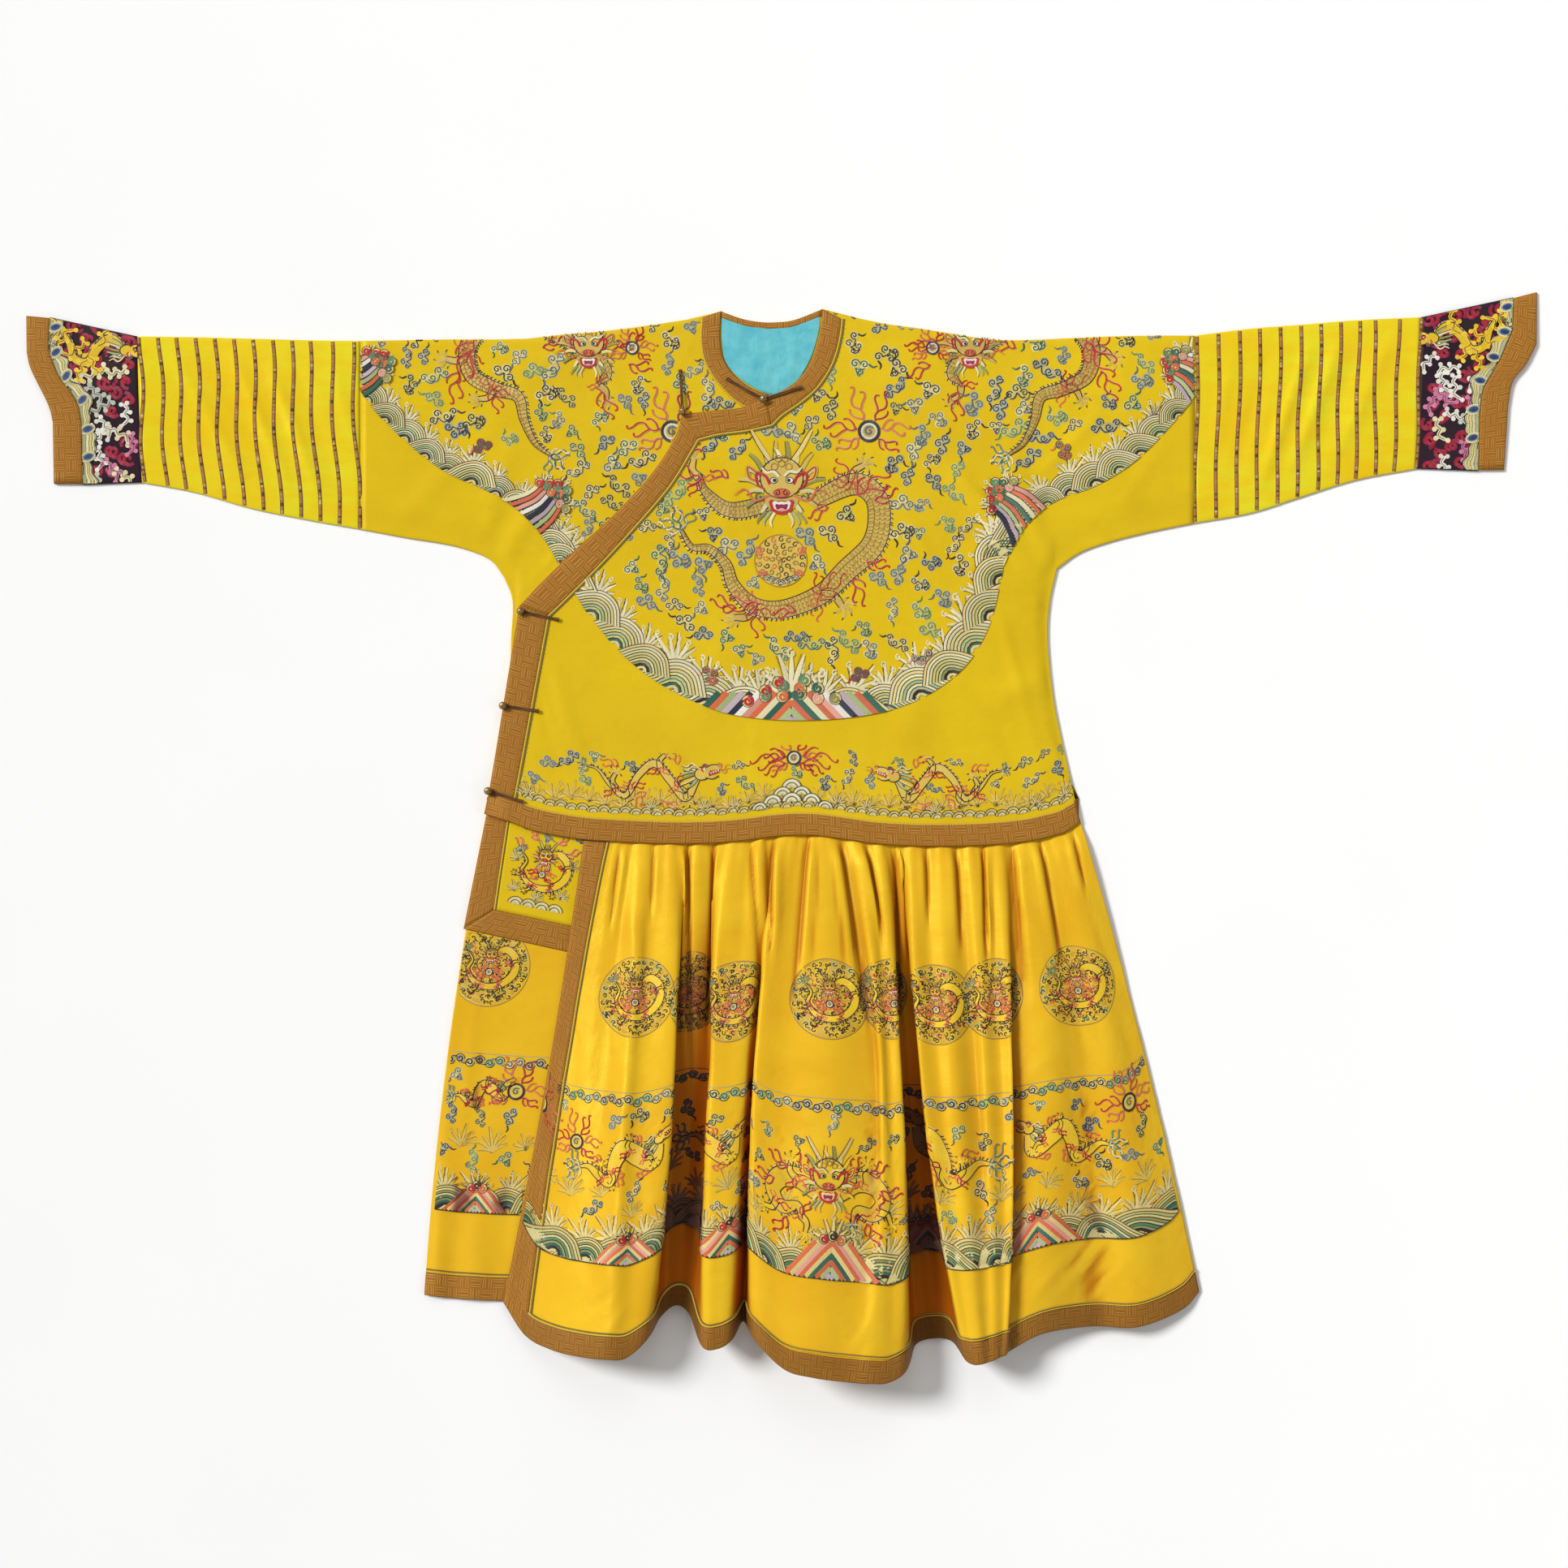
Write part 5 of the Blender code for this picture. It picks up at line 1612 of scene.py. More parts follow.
def running_dragon(length, girth):
    """A dragon running towards +X, its tail near the origin."""
    art = Embroidery()
    wave = np.array(
        ((0.74, 0.02), (0.66, -0.10), (0.56, 0.02), (0.46, 0.13), (0.35, 0.05),
         (0.26, -0.09), (0.16, -0.02), (0.08, 0.08), (0.0, 0.10))
    ) * length
    dragon_body(art, wave, girth, -1)
    art.add(dragon_profile(length * 0.21), wave[0] + (-length * 0.01, 0), 0.25, level=2)
    for share, turn in ((0.60, -0.9), (0.50, 1.3), (0.30, -1.9), (0.20, 1.6)):
        y = np.interp(share * length, wave[::-1, 0], wave[::-1, 1])
        art.add(claw(length * 0.11, 1), (share * length, y), turn)
    for x, y, turn in ((0.62, 0.12, 2.0), (0.40, -0.06, -2.4), (0.22, 0.10, 2.6), (0.50, -0.12, -0.6)):
        art.add(flame(length * 0.13, "coral", 1, 1.3), (x * length, y * length), turn)
    return art


def coiled_dragon(size, face=0.38):
    """A frontal dragon coiled round a pearl, within a circle of this diameter."""
    art = Embroidery()
    half = size / 2.0
    spine = np.array(
        ((0.10, 0.42), (0.46, 0.58), (0.78, 0.30), (0.76, -0.18), (0.42, -0.52), (0.0, -0.62),
         (-0.42, -0.50), (-0.68, -0.14), (-0.58, 0.18), (-0.78, 0.44))
    ) * half
    dragon_body(art, spine, half * 0.13, 1)
    art.add(pearl(half * 0.11), (0, -0.16 * half))
    art.add(dragon_face(size * face), (0, half * 0.10), level=3)
    for x, y, turn in ((0.66, 0.10, 0.6), (-0.62, -0.20, 3.4), (0.30, -0.56, -0.9), (-0.30, -0.56, -2.2)):
        art.add(claw(half * 0.27, 2), np.array((x, y)) * half, turn)
    return art


def roundel(size, seed):
    """A round badge: a coiled dragon whose circle is filled with small knotted curls."""
    art = Embroidery()
    pick = np.random.default_rng(seed)
    fills = ("bright_gold", "badge_gold", "bright_gold", "coral", "bright_gold", "badge_gold")
    rim_threads = ("outline", "outline", "dark_green", "outline", "outline", "green")
    art.ring((0, 0), size * 0.49, 0.9, "dragon_brown", 1, 60)
    for reach in np.arange(2.0, size * 0.49, 4.4):
        art.ring((0, 0), reach, 5.0, "badge_ground", 0, max(8, int(reach * 1.2)))
    for ring in range(1, 8):
        reach = size * 0.062 * ring
        count = max(5, int(tau * reach / 6.2))
        for i in range(count):
            way = tau * (i + 0.5 * (ring % 2)) / count + pick.uniform(-0.16, 0.16)
            at = heading(way) * reach * pick.uniform(0.97, 1.03)
            fill = fills[int(pick.integers(0, 6))]
            thread = "outline" if pick.random() < 0.85 else "coral"
            if ring == 7:
                fill = "bright_gold" if pick.random() < 0.8 else "pale_green"
                thread = rim_threads[int(pick.integers(0, 6))]
            hand = 1 if pick.random() < 0.5 else -1
            line = curl(at, 4.8, pick.uniform(0, 360), 0.95, hand, 9)
            art.line(line, 2.2, fill, 1)
            art.rim(line, 1.2 * hand, 1.2, thread, 3)
    art.add(coiled_dragon(size * 0.78, 0.34), level=3)
    art.dye(dragon_gold="bright_gold", red="coral")
    art.dye(cream="badge_gold", olive="badge_gold", straw="badge_gold")
    return art


# Branches of a knotted cloud: share of its stem, and the tip's x and y from there.
BRANCHES = (
    (0.0, -0.25, -0.35), (0.22, 0.0, 0.55), (0.45, 0.2, -0.6), (0.7, -0.1, 0.6), (1.0, 0.3, 0.35),
    (1.0, 0.1, -0.45),
)
CLOUD_PAIRS = (
    ("navy", "sea_grey"), ("outline", "mist"), ("green", "moss"), ("blue", "mist"), ("dark_green", "moss"),
    ("navy", "dull_blue"), ("outline", "moss"), ("dark_green", "mist"), ("navy", "mist"),
    ("blue", "sea_grey"),
)


def scatter_clouds(art, box, allowed, gap, seed, scale=1.0, tries=2600, clear=13.0):
    """Clouds wherever the drawing still has room for one."""
    pick = np.random.default_rng(seed)
    taken, art.scattered = art.spots(), len(art.strips)
    x0, y0, x1, y1 = box
    places = []
    for _ in range(tries):
        spot = np.array((pick.uniform(x0, x1), pick.uniform(y0, y1)))
        if places and np.min(np.linalg.norm(np.array(places) - spot, axis=1)) < gap:
            continue
        if not allowed(spot[None])[0] or np.min(np.linalg.norm(taken - spot, axis=1)) < clear:
            continue
        places.append(spot)
        thread, halo = CLOUD_PAIRS[int(pick.integers(0, len(CLOUD_PAIRS)))]
        size = scale * pick.uniform(0.85, 1.25)
        puff = cloud(int(pick.integers(0, 4)), thread, halo)
        art.add(puff, spot, pick.uniform(-0.8, 1.9), size, pick.random() < 0.5)


def cloud_border(length, height=13.0, gap=13.0):
    """A running border of linked curls in changing colours, each on a pale ground."""
    art = Embroidery()
    pairs = (("navy", "pale_blue"), ("outline", "mist"), ("dark_green", "pale_green"), ("blue", "mist"))
    for i, x in enumerate(np.arange(-length / 2, length / 2, gap)):
        thread, ground = pairs[(i // 2) % 4]
        hand = 1 if i % 2 else -1
        art.disc((x, hand * 1.4), height * 0.44, ground, 1, 1.0, 10)
        art.line(curl((x, hand * 1.8), height * 0.36, 180, 1.25, hand), taper(14, 1.9), thread, 3)
        art.line(arc((x, hand * 1.4), height * 0.47, 0, 180 * hand, 8), 0.9, "outline", 3)
        stem = ((x + 2, -hand * 3), (x + gap / 2, -hand * 4.2), (x + gap - 2, -hand * 2))
        art.stroke(stem, 2.4, ground, 1, 2.5)
        art.stroke(stem, 1.1, thread, 3, 2.5)
    return art


def knotted_cloud(reach, thread, width=3.4):
    """A branching cloud of round-ended strokes."""
    art = Embroidery()
    spots = np.array(((-1.0, -0.2), (-0.45, 0.28), (0.1, -0.12), (0.6, 0.22), (1.0, -0.1)))
    stem = art.stroke(spots * reach, width, thread, 3)
    for at, x, y in BRANCHES:
        root = stem[int(at * (len(stem) - 1))]
        tip = root + np.array((x, y)) * reach * 0.8
        art.line(resampled((root, tip), 2.5), width * 0.85, thread, 3)
        art.disc(tip, width * 0.72, thread, 4, 1.0, 8)
    art.rim(stem, width * 0.1, 0.8, "outline", 5)
    return art


YOKE_LEFT = (
    (-556, 612), (-555, 593), (-533, 559), (-491, 517), (-442, 479), (-385, 453), (-343, 426), (-310, 389),
    (-290, 354),
)
YOKE_CHEST = (
    (-259, 300), (-216, 247), (-170, 208), (-121, 181), (-68, 162), (6, 154), (91, 158), (165, 175),
    (229, 215), (266, 268), (284, 332), (288, 364),
)
YOKE_RIGHT = (
    (297, 370), (315, 404), (353, 438), (410, 460), (459, 491), (505, 536), (538, 578), (541, 600),
)


def yoke_field():
    """The field of the embroidered yoke."""
    edges = [through(path, 5) for path in (YOKE_LEFT, YOKE_CHEST, YOKE_RIGHT)]
    return Fence(np.concatenate([*edges, [(545, 760), (-560, 760)]]))


def peak(art, at, rocks, width, height, turn, size, heads=6, foam=1.0):
    """Rocks with their foam, the spray behind it and smaller spray beside it."""
    for x, reach, lean in ((0, 1.6, 0.0), (-0.3, 1.05, 0.5), (0.3, 1.05, -0.5)):
        spot = turned((x * width, height * 0.9), turn, at)
        art.add(splash(size * reach, "cream", 9, 105), spot, turn + lean, level=9)
    art.add(rocks, at, turn, level=13)
    for lift, share, fewer in ((0.0, 1.0, 0), (8.0 * foam, 0.6, 2), (15.0 * foam, 0.3, 4)):
        foamy = foam_heads(width * share * 0.92, heads - fewer, size=foam)
        art.add(foamy, turned((0, height + 2 + lift), turn, at), turn, level=13)


def turned(spot, turn, at):
    """A spot of a turned drawing, in the drawing that it was added to."""
    return (
        at[0] + spot[0] * cos(turn) - spot[1] * sin(turn),
        at[1] + spot[0] * sin(turn) + spot[1] * cos(turn),
    )


def front_dragon(art, spine, head, size, girth, limbs, hand=1):
    """A dragon whose head faces forward and whose body winds away from it."""
    line = dragon_body(art, spine, girth, hand, scaled=True)
    run = np.linspace(0.0, 1.0, len(line))
    for share, turn, reach in limbs:
        at = [np.interp(share, run, line[:, i]) for i in (0, 1)]
        art.add(claw(reach, 1), at, radians(turn))
        art.add(flame(reach * 1.3, "red", 1, 1.7), at, radians(turn + 55))
        art.add(flame(reach * 1.0, "coral", -1, 1.3), at, radians(turn - 60))
    art.add(dragon_face(size), head, level=5)


# Middles of the shoulder dragons' faces, and their height.
SHOULDERS = (-253, 245)
SHOULDER_Y = 612

# Spines of the chest dragon's neck and body, and its flames: x, y, turn in degrees, length.
CHEST_NECK = ((-6, 440), (-66, 428), (-100, 452), (-108, 476))
CHEST_BODY = (
    (38, 438), (92, 462), (121, 446), (126, 412), (116, 380), (84, 350), (50, 318), (0, 299), (-38, 304),
    (-64, 330), (-74, 358), (-96, 378), (-118, 380), (-132, 402),
)
CHEST_FLAMES = (
    (-104, 468, 170, 40), (-70, 470, 150, 26), (96, 448, 40, 52), (120, 440, 20, 34), (60, 432, 200, 30),
    (92, 340, -60, 40), (-30, 306, 195, 48), (-60, 300, 170, 36), (18, 296, 175, 30), (110, 360, -20, 30),
)

# A shoulder dragon's spine and flames, their x from its face.
SHOULDER_BODY = (
    (-12, 640), (-52, 664), (-98, 676), (-136, 668), (-158, 640), (-152, 604), (-120, 586), (-92, 576),
    (-84, 546), (-70, 516), (-50, 500),
)
SHOULDER_FLAMES = (
    (-150, 650, 240, 60), (-170, 610, 250, 44), (-60, 640, 20, 30), (40, 640, 20, 34), (52, 618, 340, 32),
    (16, 584, 285, 40),
)
YOKE_CLOUDS = (
    (-392, 512, 1, "red"), (366, 508, 2, "coral"), (-184, 216, 0, "red"), (100, 214, 1, "red"),
    (-94, 214, 2, "coral"), (184, 236, 3, "pink"),
)


def medal():
    """The round medal below the chest dragon's face: small curls, scalloped water and flames."""
    art = Embroidery()
    art.disc((0, 0), 34, "badge_gold", 2, 1.0, 24)
    pick = np.random.default_rng(4)
    art.ring((0, 0), 34, 1.1, "dragon_brown", 4, 36)
    tones = ("coral", "dragon_brown", "umber", "outline", "dragon_brown")
    for reach, count in ((4, 3), (11, 7), (19, 12), (28, 18)):
        for angle in np.linspace(0, 360, count, endpoint=False):
            tone = tones[int(pick.integers(0, 5))]
            spiral = curl(heading(radians(angle + reach)) * reach, 4.2, angle, 1.1)
            art.line(spiral, taper(14, 1.5, 0.6), tone, 4)
    for x in range(-18, 19, 6):
        art.add(scallop(6, ("navy", "pale_blue", "cream"), 4), (x, -31 + abs(x) * 0.35), level=3)
    for x, y, turn in ((-24, 8, 2.4), (24, 8, 0.7), (-17.6, -14, 3.6), (17.6, -14, -0.5)):
        art.add(flame(13, "coral", 1 if x > 0 else -1), (x, y), turn, level=3)
    return art


def shoulder_dragon(art, x, hand):
    """The dragon on one shoulder, its body behind its head and one arm before it."""
    body = [(x + hand * away, y) for away, y in SHOULDER_BODY]
    turns = (90, 200, 215) if hand > 0 else (90, -20, -35)
    limbs = zip((0.20, 0.48, 0.66), turns, (26, 30, 26))
    front_dragon(art, body, (x, SHOULDER_Y), 74, 12, limbs, hand)
    arm = [(x + hand * 14, 626), (x + hand * 24, 606), (x + hand * 12, 592)]
    dragon_body(art, arm, 8, hand, tail=False, scaled=True)
    art.add(claw(24, 1), arm[-1], radians(-60 if hand > 0 else 240))
    for away, y, turn, reach in SHOULDER_FLAMES:
        way = radians(turn) if hand > 0 else pi - radians(turn)
        art.add(flame(reach, "red", 1, 1.8), (x + hand * away, y), way, level=3)


def yoke_front():
    """The embroidered yoke: a dragon on the chest, one on each shoulder, sea and mountains below."""
    art = Embroidery()
    shores = ((YOKE_LEFT, 11, 27, 0.72), (YOKE_CHEST, 12, 37, 0.5), (YOKE_RIGHT, 13, 27, 0.28))
    for path, seed, radius, middle in shores:
        art.add(surf(smooth(path, 4.0), radius, radius * 1.3, seed, middle))
    peak(art, (12, 150), mountain(190, 40, 10.5, 0), 124, 34, 0.0, 38, 6, 1.3)
    peak(art, (-330, 420), bluff(52, 40, 6.6, 1), 52, 40, -0.85, 20)
    peak(art, (317, 420), bluff(52, 40, 6.6, 5), 52, 40, 0.85, 20)
    peak(art, (-560, 598), bluff(52, 38, 6.6, 2), 48, 36, -1.0, 16)
    peak(art, (546, 598), bluff(52, 38, 6.6, 6), 48, 36, 1.0, 16)
    dragon_body(art, CHEST_NECK, 11, 1, tail=False, scaled=True)
    limbs = ((0.12, 60, 30), (0.52, -25, 34), (0.70, -150, 32))
    front_dragon(art, CHEST_BODY, (-1, 420), 104, 15, limbs)
    art.add(claw(30, 1), (-106, 468), radians(110))
    for x, y, turn, reach in CHEST_FLAMES:
        tongue = flame(reach, "red", 1 if reach % 4 else -1, 1.9)
        art.add(tongue, (x, y), radians(turn), level=3)
    art.add(medal(), (-2, 362))
    for x, hand in zip(SHOULDERS, (1, -1)):
        shoulder_dragon(art, x, hand)
    for x, y, size in ((-144, 531, 13), (113, 531, 13), (-196, 640, 8), (196, 640, 8)):
        art.add(pearl(size), (x, y), level=3)
    for x, y, kind, tone in YOKE_CLOUDS:
        art.add(cloud(kind, tone, "dark_green"), (x, y), 0.3, 1.1, level=6)
    return art


def fitted_yoke(seed):
    """The yoke with clouds in the room that is left, and the test of its edge."""
    art, field = yoke_front(), yoke_field()
    scatter_clouds(art, (-552, 200, 540, 700), field.holds, 23.0, seed, 1.12, 3600, 11.5)
    return art, field


# Scallops of the little sea: x, y, radius and level; and small fans of spray: x and turn.
WAIST_SEA = (
    (12, 26, 13, 9), (0, 17, 12, 11), (25, 17, 12, 11), (-13, 8, 12, 13), (12, 8, 13, 13), (38, 8, 12, 13),
    (-30, 2, 10, 13), (56, 2, 10, 13),
)
WAIST_SPRAY = (
    (-330, 0.3), (-170, -0.3), (-100, 0.4), (110, -0.3), (200, 0.3), (330, -0.4), (368, 0.2), (-60, 0.2),
    (72, -0.2),
)


def waist_strip():
    """The strip above the waist binding: two dragons after a pearl, over a little sea."""
    art = Embroidery()
    art.add(running_dragon(196, 5.4), (-256, 42), 0.02, 1.0)
    art.add(running_dragon(184, 5.4), (286, 42), -0.02, 1.0, flip=True)
    art.add(pearl(8.5), (15, 66), level=3)
    for y, lean, reach in ((68, 0.1, 46), (60, -0.3, 30)):
        for x, turn, hand in ((26, lean, -1), (4, pi - lean, 1)):
            art.add(flame(reach, "red", hand, 1.6), (x, y), turn, level=3)
    art.dye(dragon_gold="badge_gold", cream="straw")
    for x, y, size, level in WAIST_SEA:
        art.add(scallop(size, ("sea_grey", "white", "cream")), (x, y), level=level)
    for x in np.arange(-372, 384, 14.0):
        wave = scallop(9.0, ("dragon_brown", "badge_gold", "straw"))
        art.add(wave, (x, 1 + (x // 14) % 2 * 2), 0.1, level=3)
    pick = np.random.default_rng(27)
    for x in np.arange(-366, 384, 23.0):
        fan = splash(21 * pick.uniform(0.8, 1.2), "badge_gold", 7, 120)
        fan.dye(umber="badge_gold", olive="dragon_brown")
        art.add(fan, (x, pick.uniform(7, 16)), pick.uniform(-0.5, 0.5))
    for x, turn in WAIST_SPRAY:
        art.add(splash(15, "straw", 7, 110), (x, 8), turn, level=5)
    scatter_clouds(art, (-376, 20, 386, 76), anywhere, 25.0, 71, 0.8, 1600, 9.5)
    return art


# Flames above the flap's dragon: x, y and turn.
FLAP_FLAMES = ((-14, 34, 2.3), (14, 34, 0.8), (-26, 22, 2.8), (26, 22, 0.3), (-8, 44, 1.9), (10, 44, 1.2))


def flap_drawing():
    """The small panel of the flap, filled by one coiled dragon."""
    art = Embroidery()
    for x, y, turn in FLAP_FLAMES:
        art.add(flame(20, "coral", 1 if x > 0 else -1, 2.2), (x, y), turn, level=2)
    art.add(coiled_dragon(80, 0.40), (0, -2), level=3)
    art.dye(dragon_gold="bright_gold", cream="straw", pale_green="straw")
    for x in (-26, -9, 9, 26):
        art.add(scallop(11, ("sea_grey", "straw", "cream")), (x, -54), level=1)
    for x, y, turn in ((0, -44, 0.0), (-30, -36, 0.4), (30, -36, -0.4), (-34, 4, 0.6), (34, 6, -0.6)):
        art.add(splash(14, "straw", 7, 110), (x, y), turn, level=3)
    scatter_clouds(art, (-38, -50, 38, 52), anywhere, 13.5, 5, 0.62, 900, 7.5)
    return art


# The cuff dragon's spine, and the knots of cloud beside it: x, y, turn and reach.
CUFF_BODY = ((18, 66), (36, 84), (54, 72), (66, 54), (84, 58), (92, 80), (104, 96), (116, 84))
CUFF_KNOTS = (
    (46, 88, 1.9, 15), (60, 56, -1.9, 14), (84, 70, 2.6, 15), (98, 84, -1.0, 15), (74, 44, -1.2, 13),
    (108, 100, 1.2, 12),
)


def cuff_drawing(hand):
    """Knotted clouds and crimson flames under a yellow dragon; the wrist is at x = 0."""
    art = Embroidery()
    pick = np.random.default_rng(17 + hand)
    dragon_body(art, CUFF_BODY, 6.4, 1, level=8)
    art.add(dragon_profile(38), (24, 74), 3.3, level=10)
    for x, y, turn, reach in CUFF_KNOTS:
        art.add(knotted_cloud(reach, "bright_gold", 4.4), (x, y), turn, level=7)
    art.dye(dragon_gold="bright_gold")
    taken = []
    tones = ("white", "crimson", "cream", "crimson", "white", "rose", "pale_blue", "crimson")
    for _ in range(1500):
        spot = np.array((pick.uniform(9, 122), pick.uniform(-104, 104)))
        if any(np.linalg.norm(spot - other) < 16.8 for other in taken):
            continue
        tone = "crimson" if spot[1] > 44 else tones[len(taken) % len(tones)]
        taken.append(spot)
        size = pick.uniform(11.0, 14.0)
        if tone in ("crimson", "rose"):
            for lean in (0.0, 1.9):
                start, centre = pick.uniform(0, 360), spot + (lean * 3, lean)
                art.line(curl(centre, size * 0.72, start, 1.0, 1, 12), taper(12, 5.0, 0.6), "crimson", 2)
                heart = curl(centre, size * 0.55, start + 40, 0.9, 1, 10)
                art.line(heart, 1.4, "rose" if tone == "rose" else "red", 4)
        if tone != "crimson":
            knot = knotted_cloud(size, tone, pick.uniform(4.2, 5.0))
            art.add(knot, spot, pick.uniform(0.0, pi), level=3)
    return art


# Bands of the cuff's water: share of its reach, thread and width.
SHORE_BANDS = (
    (0.16, "sea_grey", 4.6), (0.40, "cream", 4.6), (0.62, "straw", 4.6), (0.84, "cream", 4.0),
    (1.0, "outline", 1.2),
)


def cuff_shore(path, hand):
    """Scalloped waves with blue ovals, along the inner edge of a cuff's binding."""
    art = Embroidery()
    line = smooth(path, 3.0)
    run, sides = lengths(line), aside(line) * -hand
    reach = 15.0 + 4.5 * np.sin(run * 0.118) + 2.0 * np.sin(run * 0.31 + 1.0)
    for share, thread, wide in SHORE_BANDS:
        art.line(line + sides * (reach * share)[:, None], wide, thread, 6 if wide > 2 else 8)
        art.line(line + sides * (reach * (share - 0.12))[:, None], 0.9, "olive", 8)
    for _, at, side in along_line(line, np.arange(12.0, run[-1] - 6.0, 36.0), -hand):
        art.add(oval_stone(), at + side * 8.0, np.arctan2(*side[::-1]) + 0.35, level=10)
    return art


def oval_stone():
    """A blue oval in rings of pale thread."""
    art = Embroidery()
    for reach, thread in ((9.5, "cream"), (7.4, "sea_grey")):
        art.ring((0, 0), reach, 1.6, thread, 1, 16, 0.62)
    art.disc((0, 0), 6.2, "sapphire", 1, 0.6, 12)
    art.disc((0, 0.6), 2.8, "navy", 2, 0.5, 8)
    return art


# Levels of the skirt's band: its top, its foot and the edges of its field, then the lines along it
# with their width, thread and layer.
BAND_TOP = 0.505
BAND_FOOT = 0.82
BAND_EDGES = (0.49, 0.823)
BAND_LINES = ((0.497, 0.9, "sea_grey", 4), (0.822, 1.2, "outline", 16))


def skirt_art(length, at, motifs):
    """The skirt's embroidery on the flat cloth: badges above, then a border, dragons and sea."""
    art = Embroidery()
    span = np.linspace(0.0, length, int(length / 5))
    top, foot = at(0, BAND_TOP)[1], at(0, BAND_FOOT)[1]
    art.add(cloud_border(length - 8), (length / 2, top - 5), level=2)
    for level, width, thread, layer in BAND_LINES:
        line = np.column_stack([span, np.full(len(span), at(0, level)[1])])
        art.line(line, width, thread, layer)
    shore = np.column_stack([span[1:-1], np.full(len(span) - 2, foot)])
    art.add(surf(shore, 33.0, 42.0, 23, 0.45, 1.0, DEEP_SWELLS))
    pick = np.random.default_rng(9)
    for x in np.arange(30, length - 30, 44):
        lift, lean = pick.uniform(34, 92), pick.uniform(-0.5, 0.5)
        fan = splash(26 * pick.uniform(0.8, 1.2), "badge_gold", 7, 120)
        fan.dye(umber="dragon_brown")
        art.add(fan, (x, foot + lift), lean)
    for kind, x, level, size, *flip in motifs:
        spot = at(x, level)
        if kind == "front":
            art.add(skirt_dragon(size), spot, level=3)
        elif kind == "side":
            dragon = running_dragon(size, size * 0.08)
            art.add(dragon, spot, -0.35 if flip else 0.35, flip=bool(flip), level=3)
        elif kind == "pearl":
            art.add(pearl(size), spot, level=3)
        elif kind == "peak":
            art.add(splash(size * 0.8, "straw", 9, 130), (spot[0], foot + size * 0.8), level=12)
            rocks = mountain(size * 1.1, size * 0.95, size * 0.16, 2)
            rocks.dye(navy="coral")
            art.add(rocks, (spot[0], foot), level=14)
            foam = foam_heads(size * 0.5, 3, ("red", "outline", "coral"))
            art.add(foam, (spot[0], foot + size * 1.05), level=14)
    art.dye(dragon_gold="bright_gold", cream="straw", white="straw", pale_blue="sea_grey", navy="outline")
    box = (6, foot + 40, length - 6, top - 18)
    scatter_clouds(art, box, anywhere, 33.0, 41, 0.95, 3600, 10.5)
    return art


# Spine of one side loop of the skirt's front-facing dragon.
SIDE_LOOP = (
    (0.24, -0.05), (0.62, 0.22), (1.05, 0.18), (1.25, -0.14), (1.02, -0.42), (0.66, -0.34), (0.58, -0.62),
)


def skirt_dragon(size):
    """A frontal dragon with a loop of its body on each side."""
    art = Embroidery()
    half = size / 2.0
    for hand in (1, -1):
        loop = np.array(SIDE_LOOP) * half * (hand, 1)
        dragon_body(art, loop, size * 0.11, hand, tail=hand > 0)
        for x, y, turn in ((1.15, -0.32, -40), (0.60, -0.52, -110), (0.7, 0.2, 70)):
            way = radians(turn if hand > 0 else 180 - turn)
            art.add(claw(size * 0.20, 2), np.array((x * hand, y)) * half, way)
        for x, y, turn in ((0.4, 0.3, 50), (0.9, 0.4, 20), (1.2, 0.1, -20), (0.9, -0.6, -60)):
            way = radians(turn if hand > 0 else 180 - turn)
            art.add(flame(size * 0.26, "red", hand, 1.7), np.array((x * hand, y)) * half, way, level=3)
    art.add(dragon_face(size * 0.64), (0, -half * 0.26), level=4)
    return art


def colour_prop(name, about, default):
    return FloatVectorProperty(
        name=name, description=about, default=default, size=3, min=0.0, max=1.0, subtype="COLOR"
    )


class RobeSilks(bpy.types.PropertyGroup):
    """Colours of the robe's cloths."""

    yellow: colour_prop("Yellow silk", "Satin of the bodice and upper sleeves", (0.72, 0.50, 0.012))
    golden: colour_prop("Golden silk", "Satin of the skirt", (0.79, 0.485, 0.020))
    lemon: colour_prop("Lemon silk", "Satin of the striped lower sleeves", (0.735, 0.69, 0.022))
    brown: colour_prop("Brown brocade", "Ground of the bindings", (0.30, 0.118, 0.016))
    fret: colour_prop("Key fret", "Woven figure of the bindings", (0.54, 0.275, 0.05))
    night: colour_prop("Night silk", "Ground of the horse-hoof cuffs", (0.020, 0.010, 0.022))
    turquoise: colour_prop("Turquoise lining", "Lining seen in the neck", (0.085, 0.44, 0.52))


def length_prop(name, about, default):
    return FloatProperty(name=name, description=about, default=default, unit="LENGTH")


class RobeSizes(bpy.types.PropertyGroup):
    """Sizes of the trims."""

    trim: length_prop("Trim width", "Width of the sleeve trims", 0.005)
    cord: length_prop("Cord", "Thickness of the piping cord", 0.0021)
    stitch: length_prop("Stitch", "Length of one running stitch", 0.0034)
    gap: length_prop("Stitch gap", "Distance between running stitches", 0.0062)
    badges: IntProperty(name="Badge seed", description="Seed of the round badges", default=5)


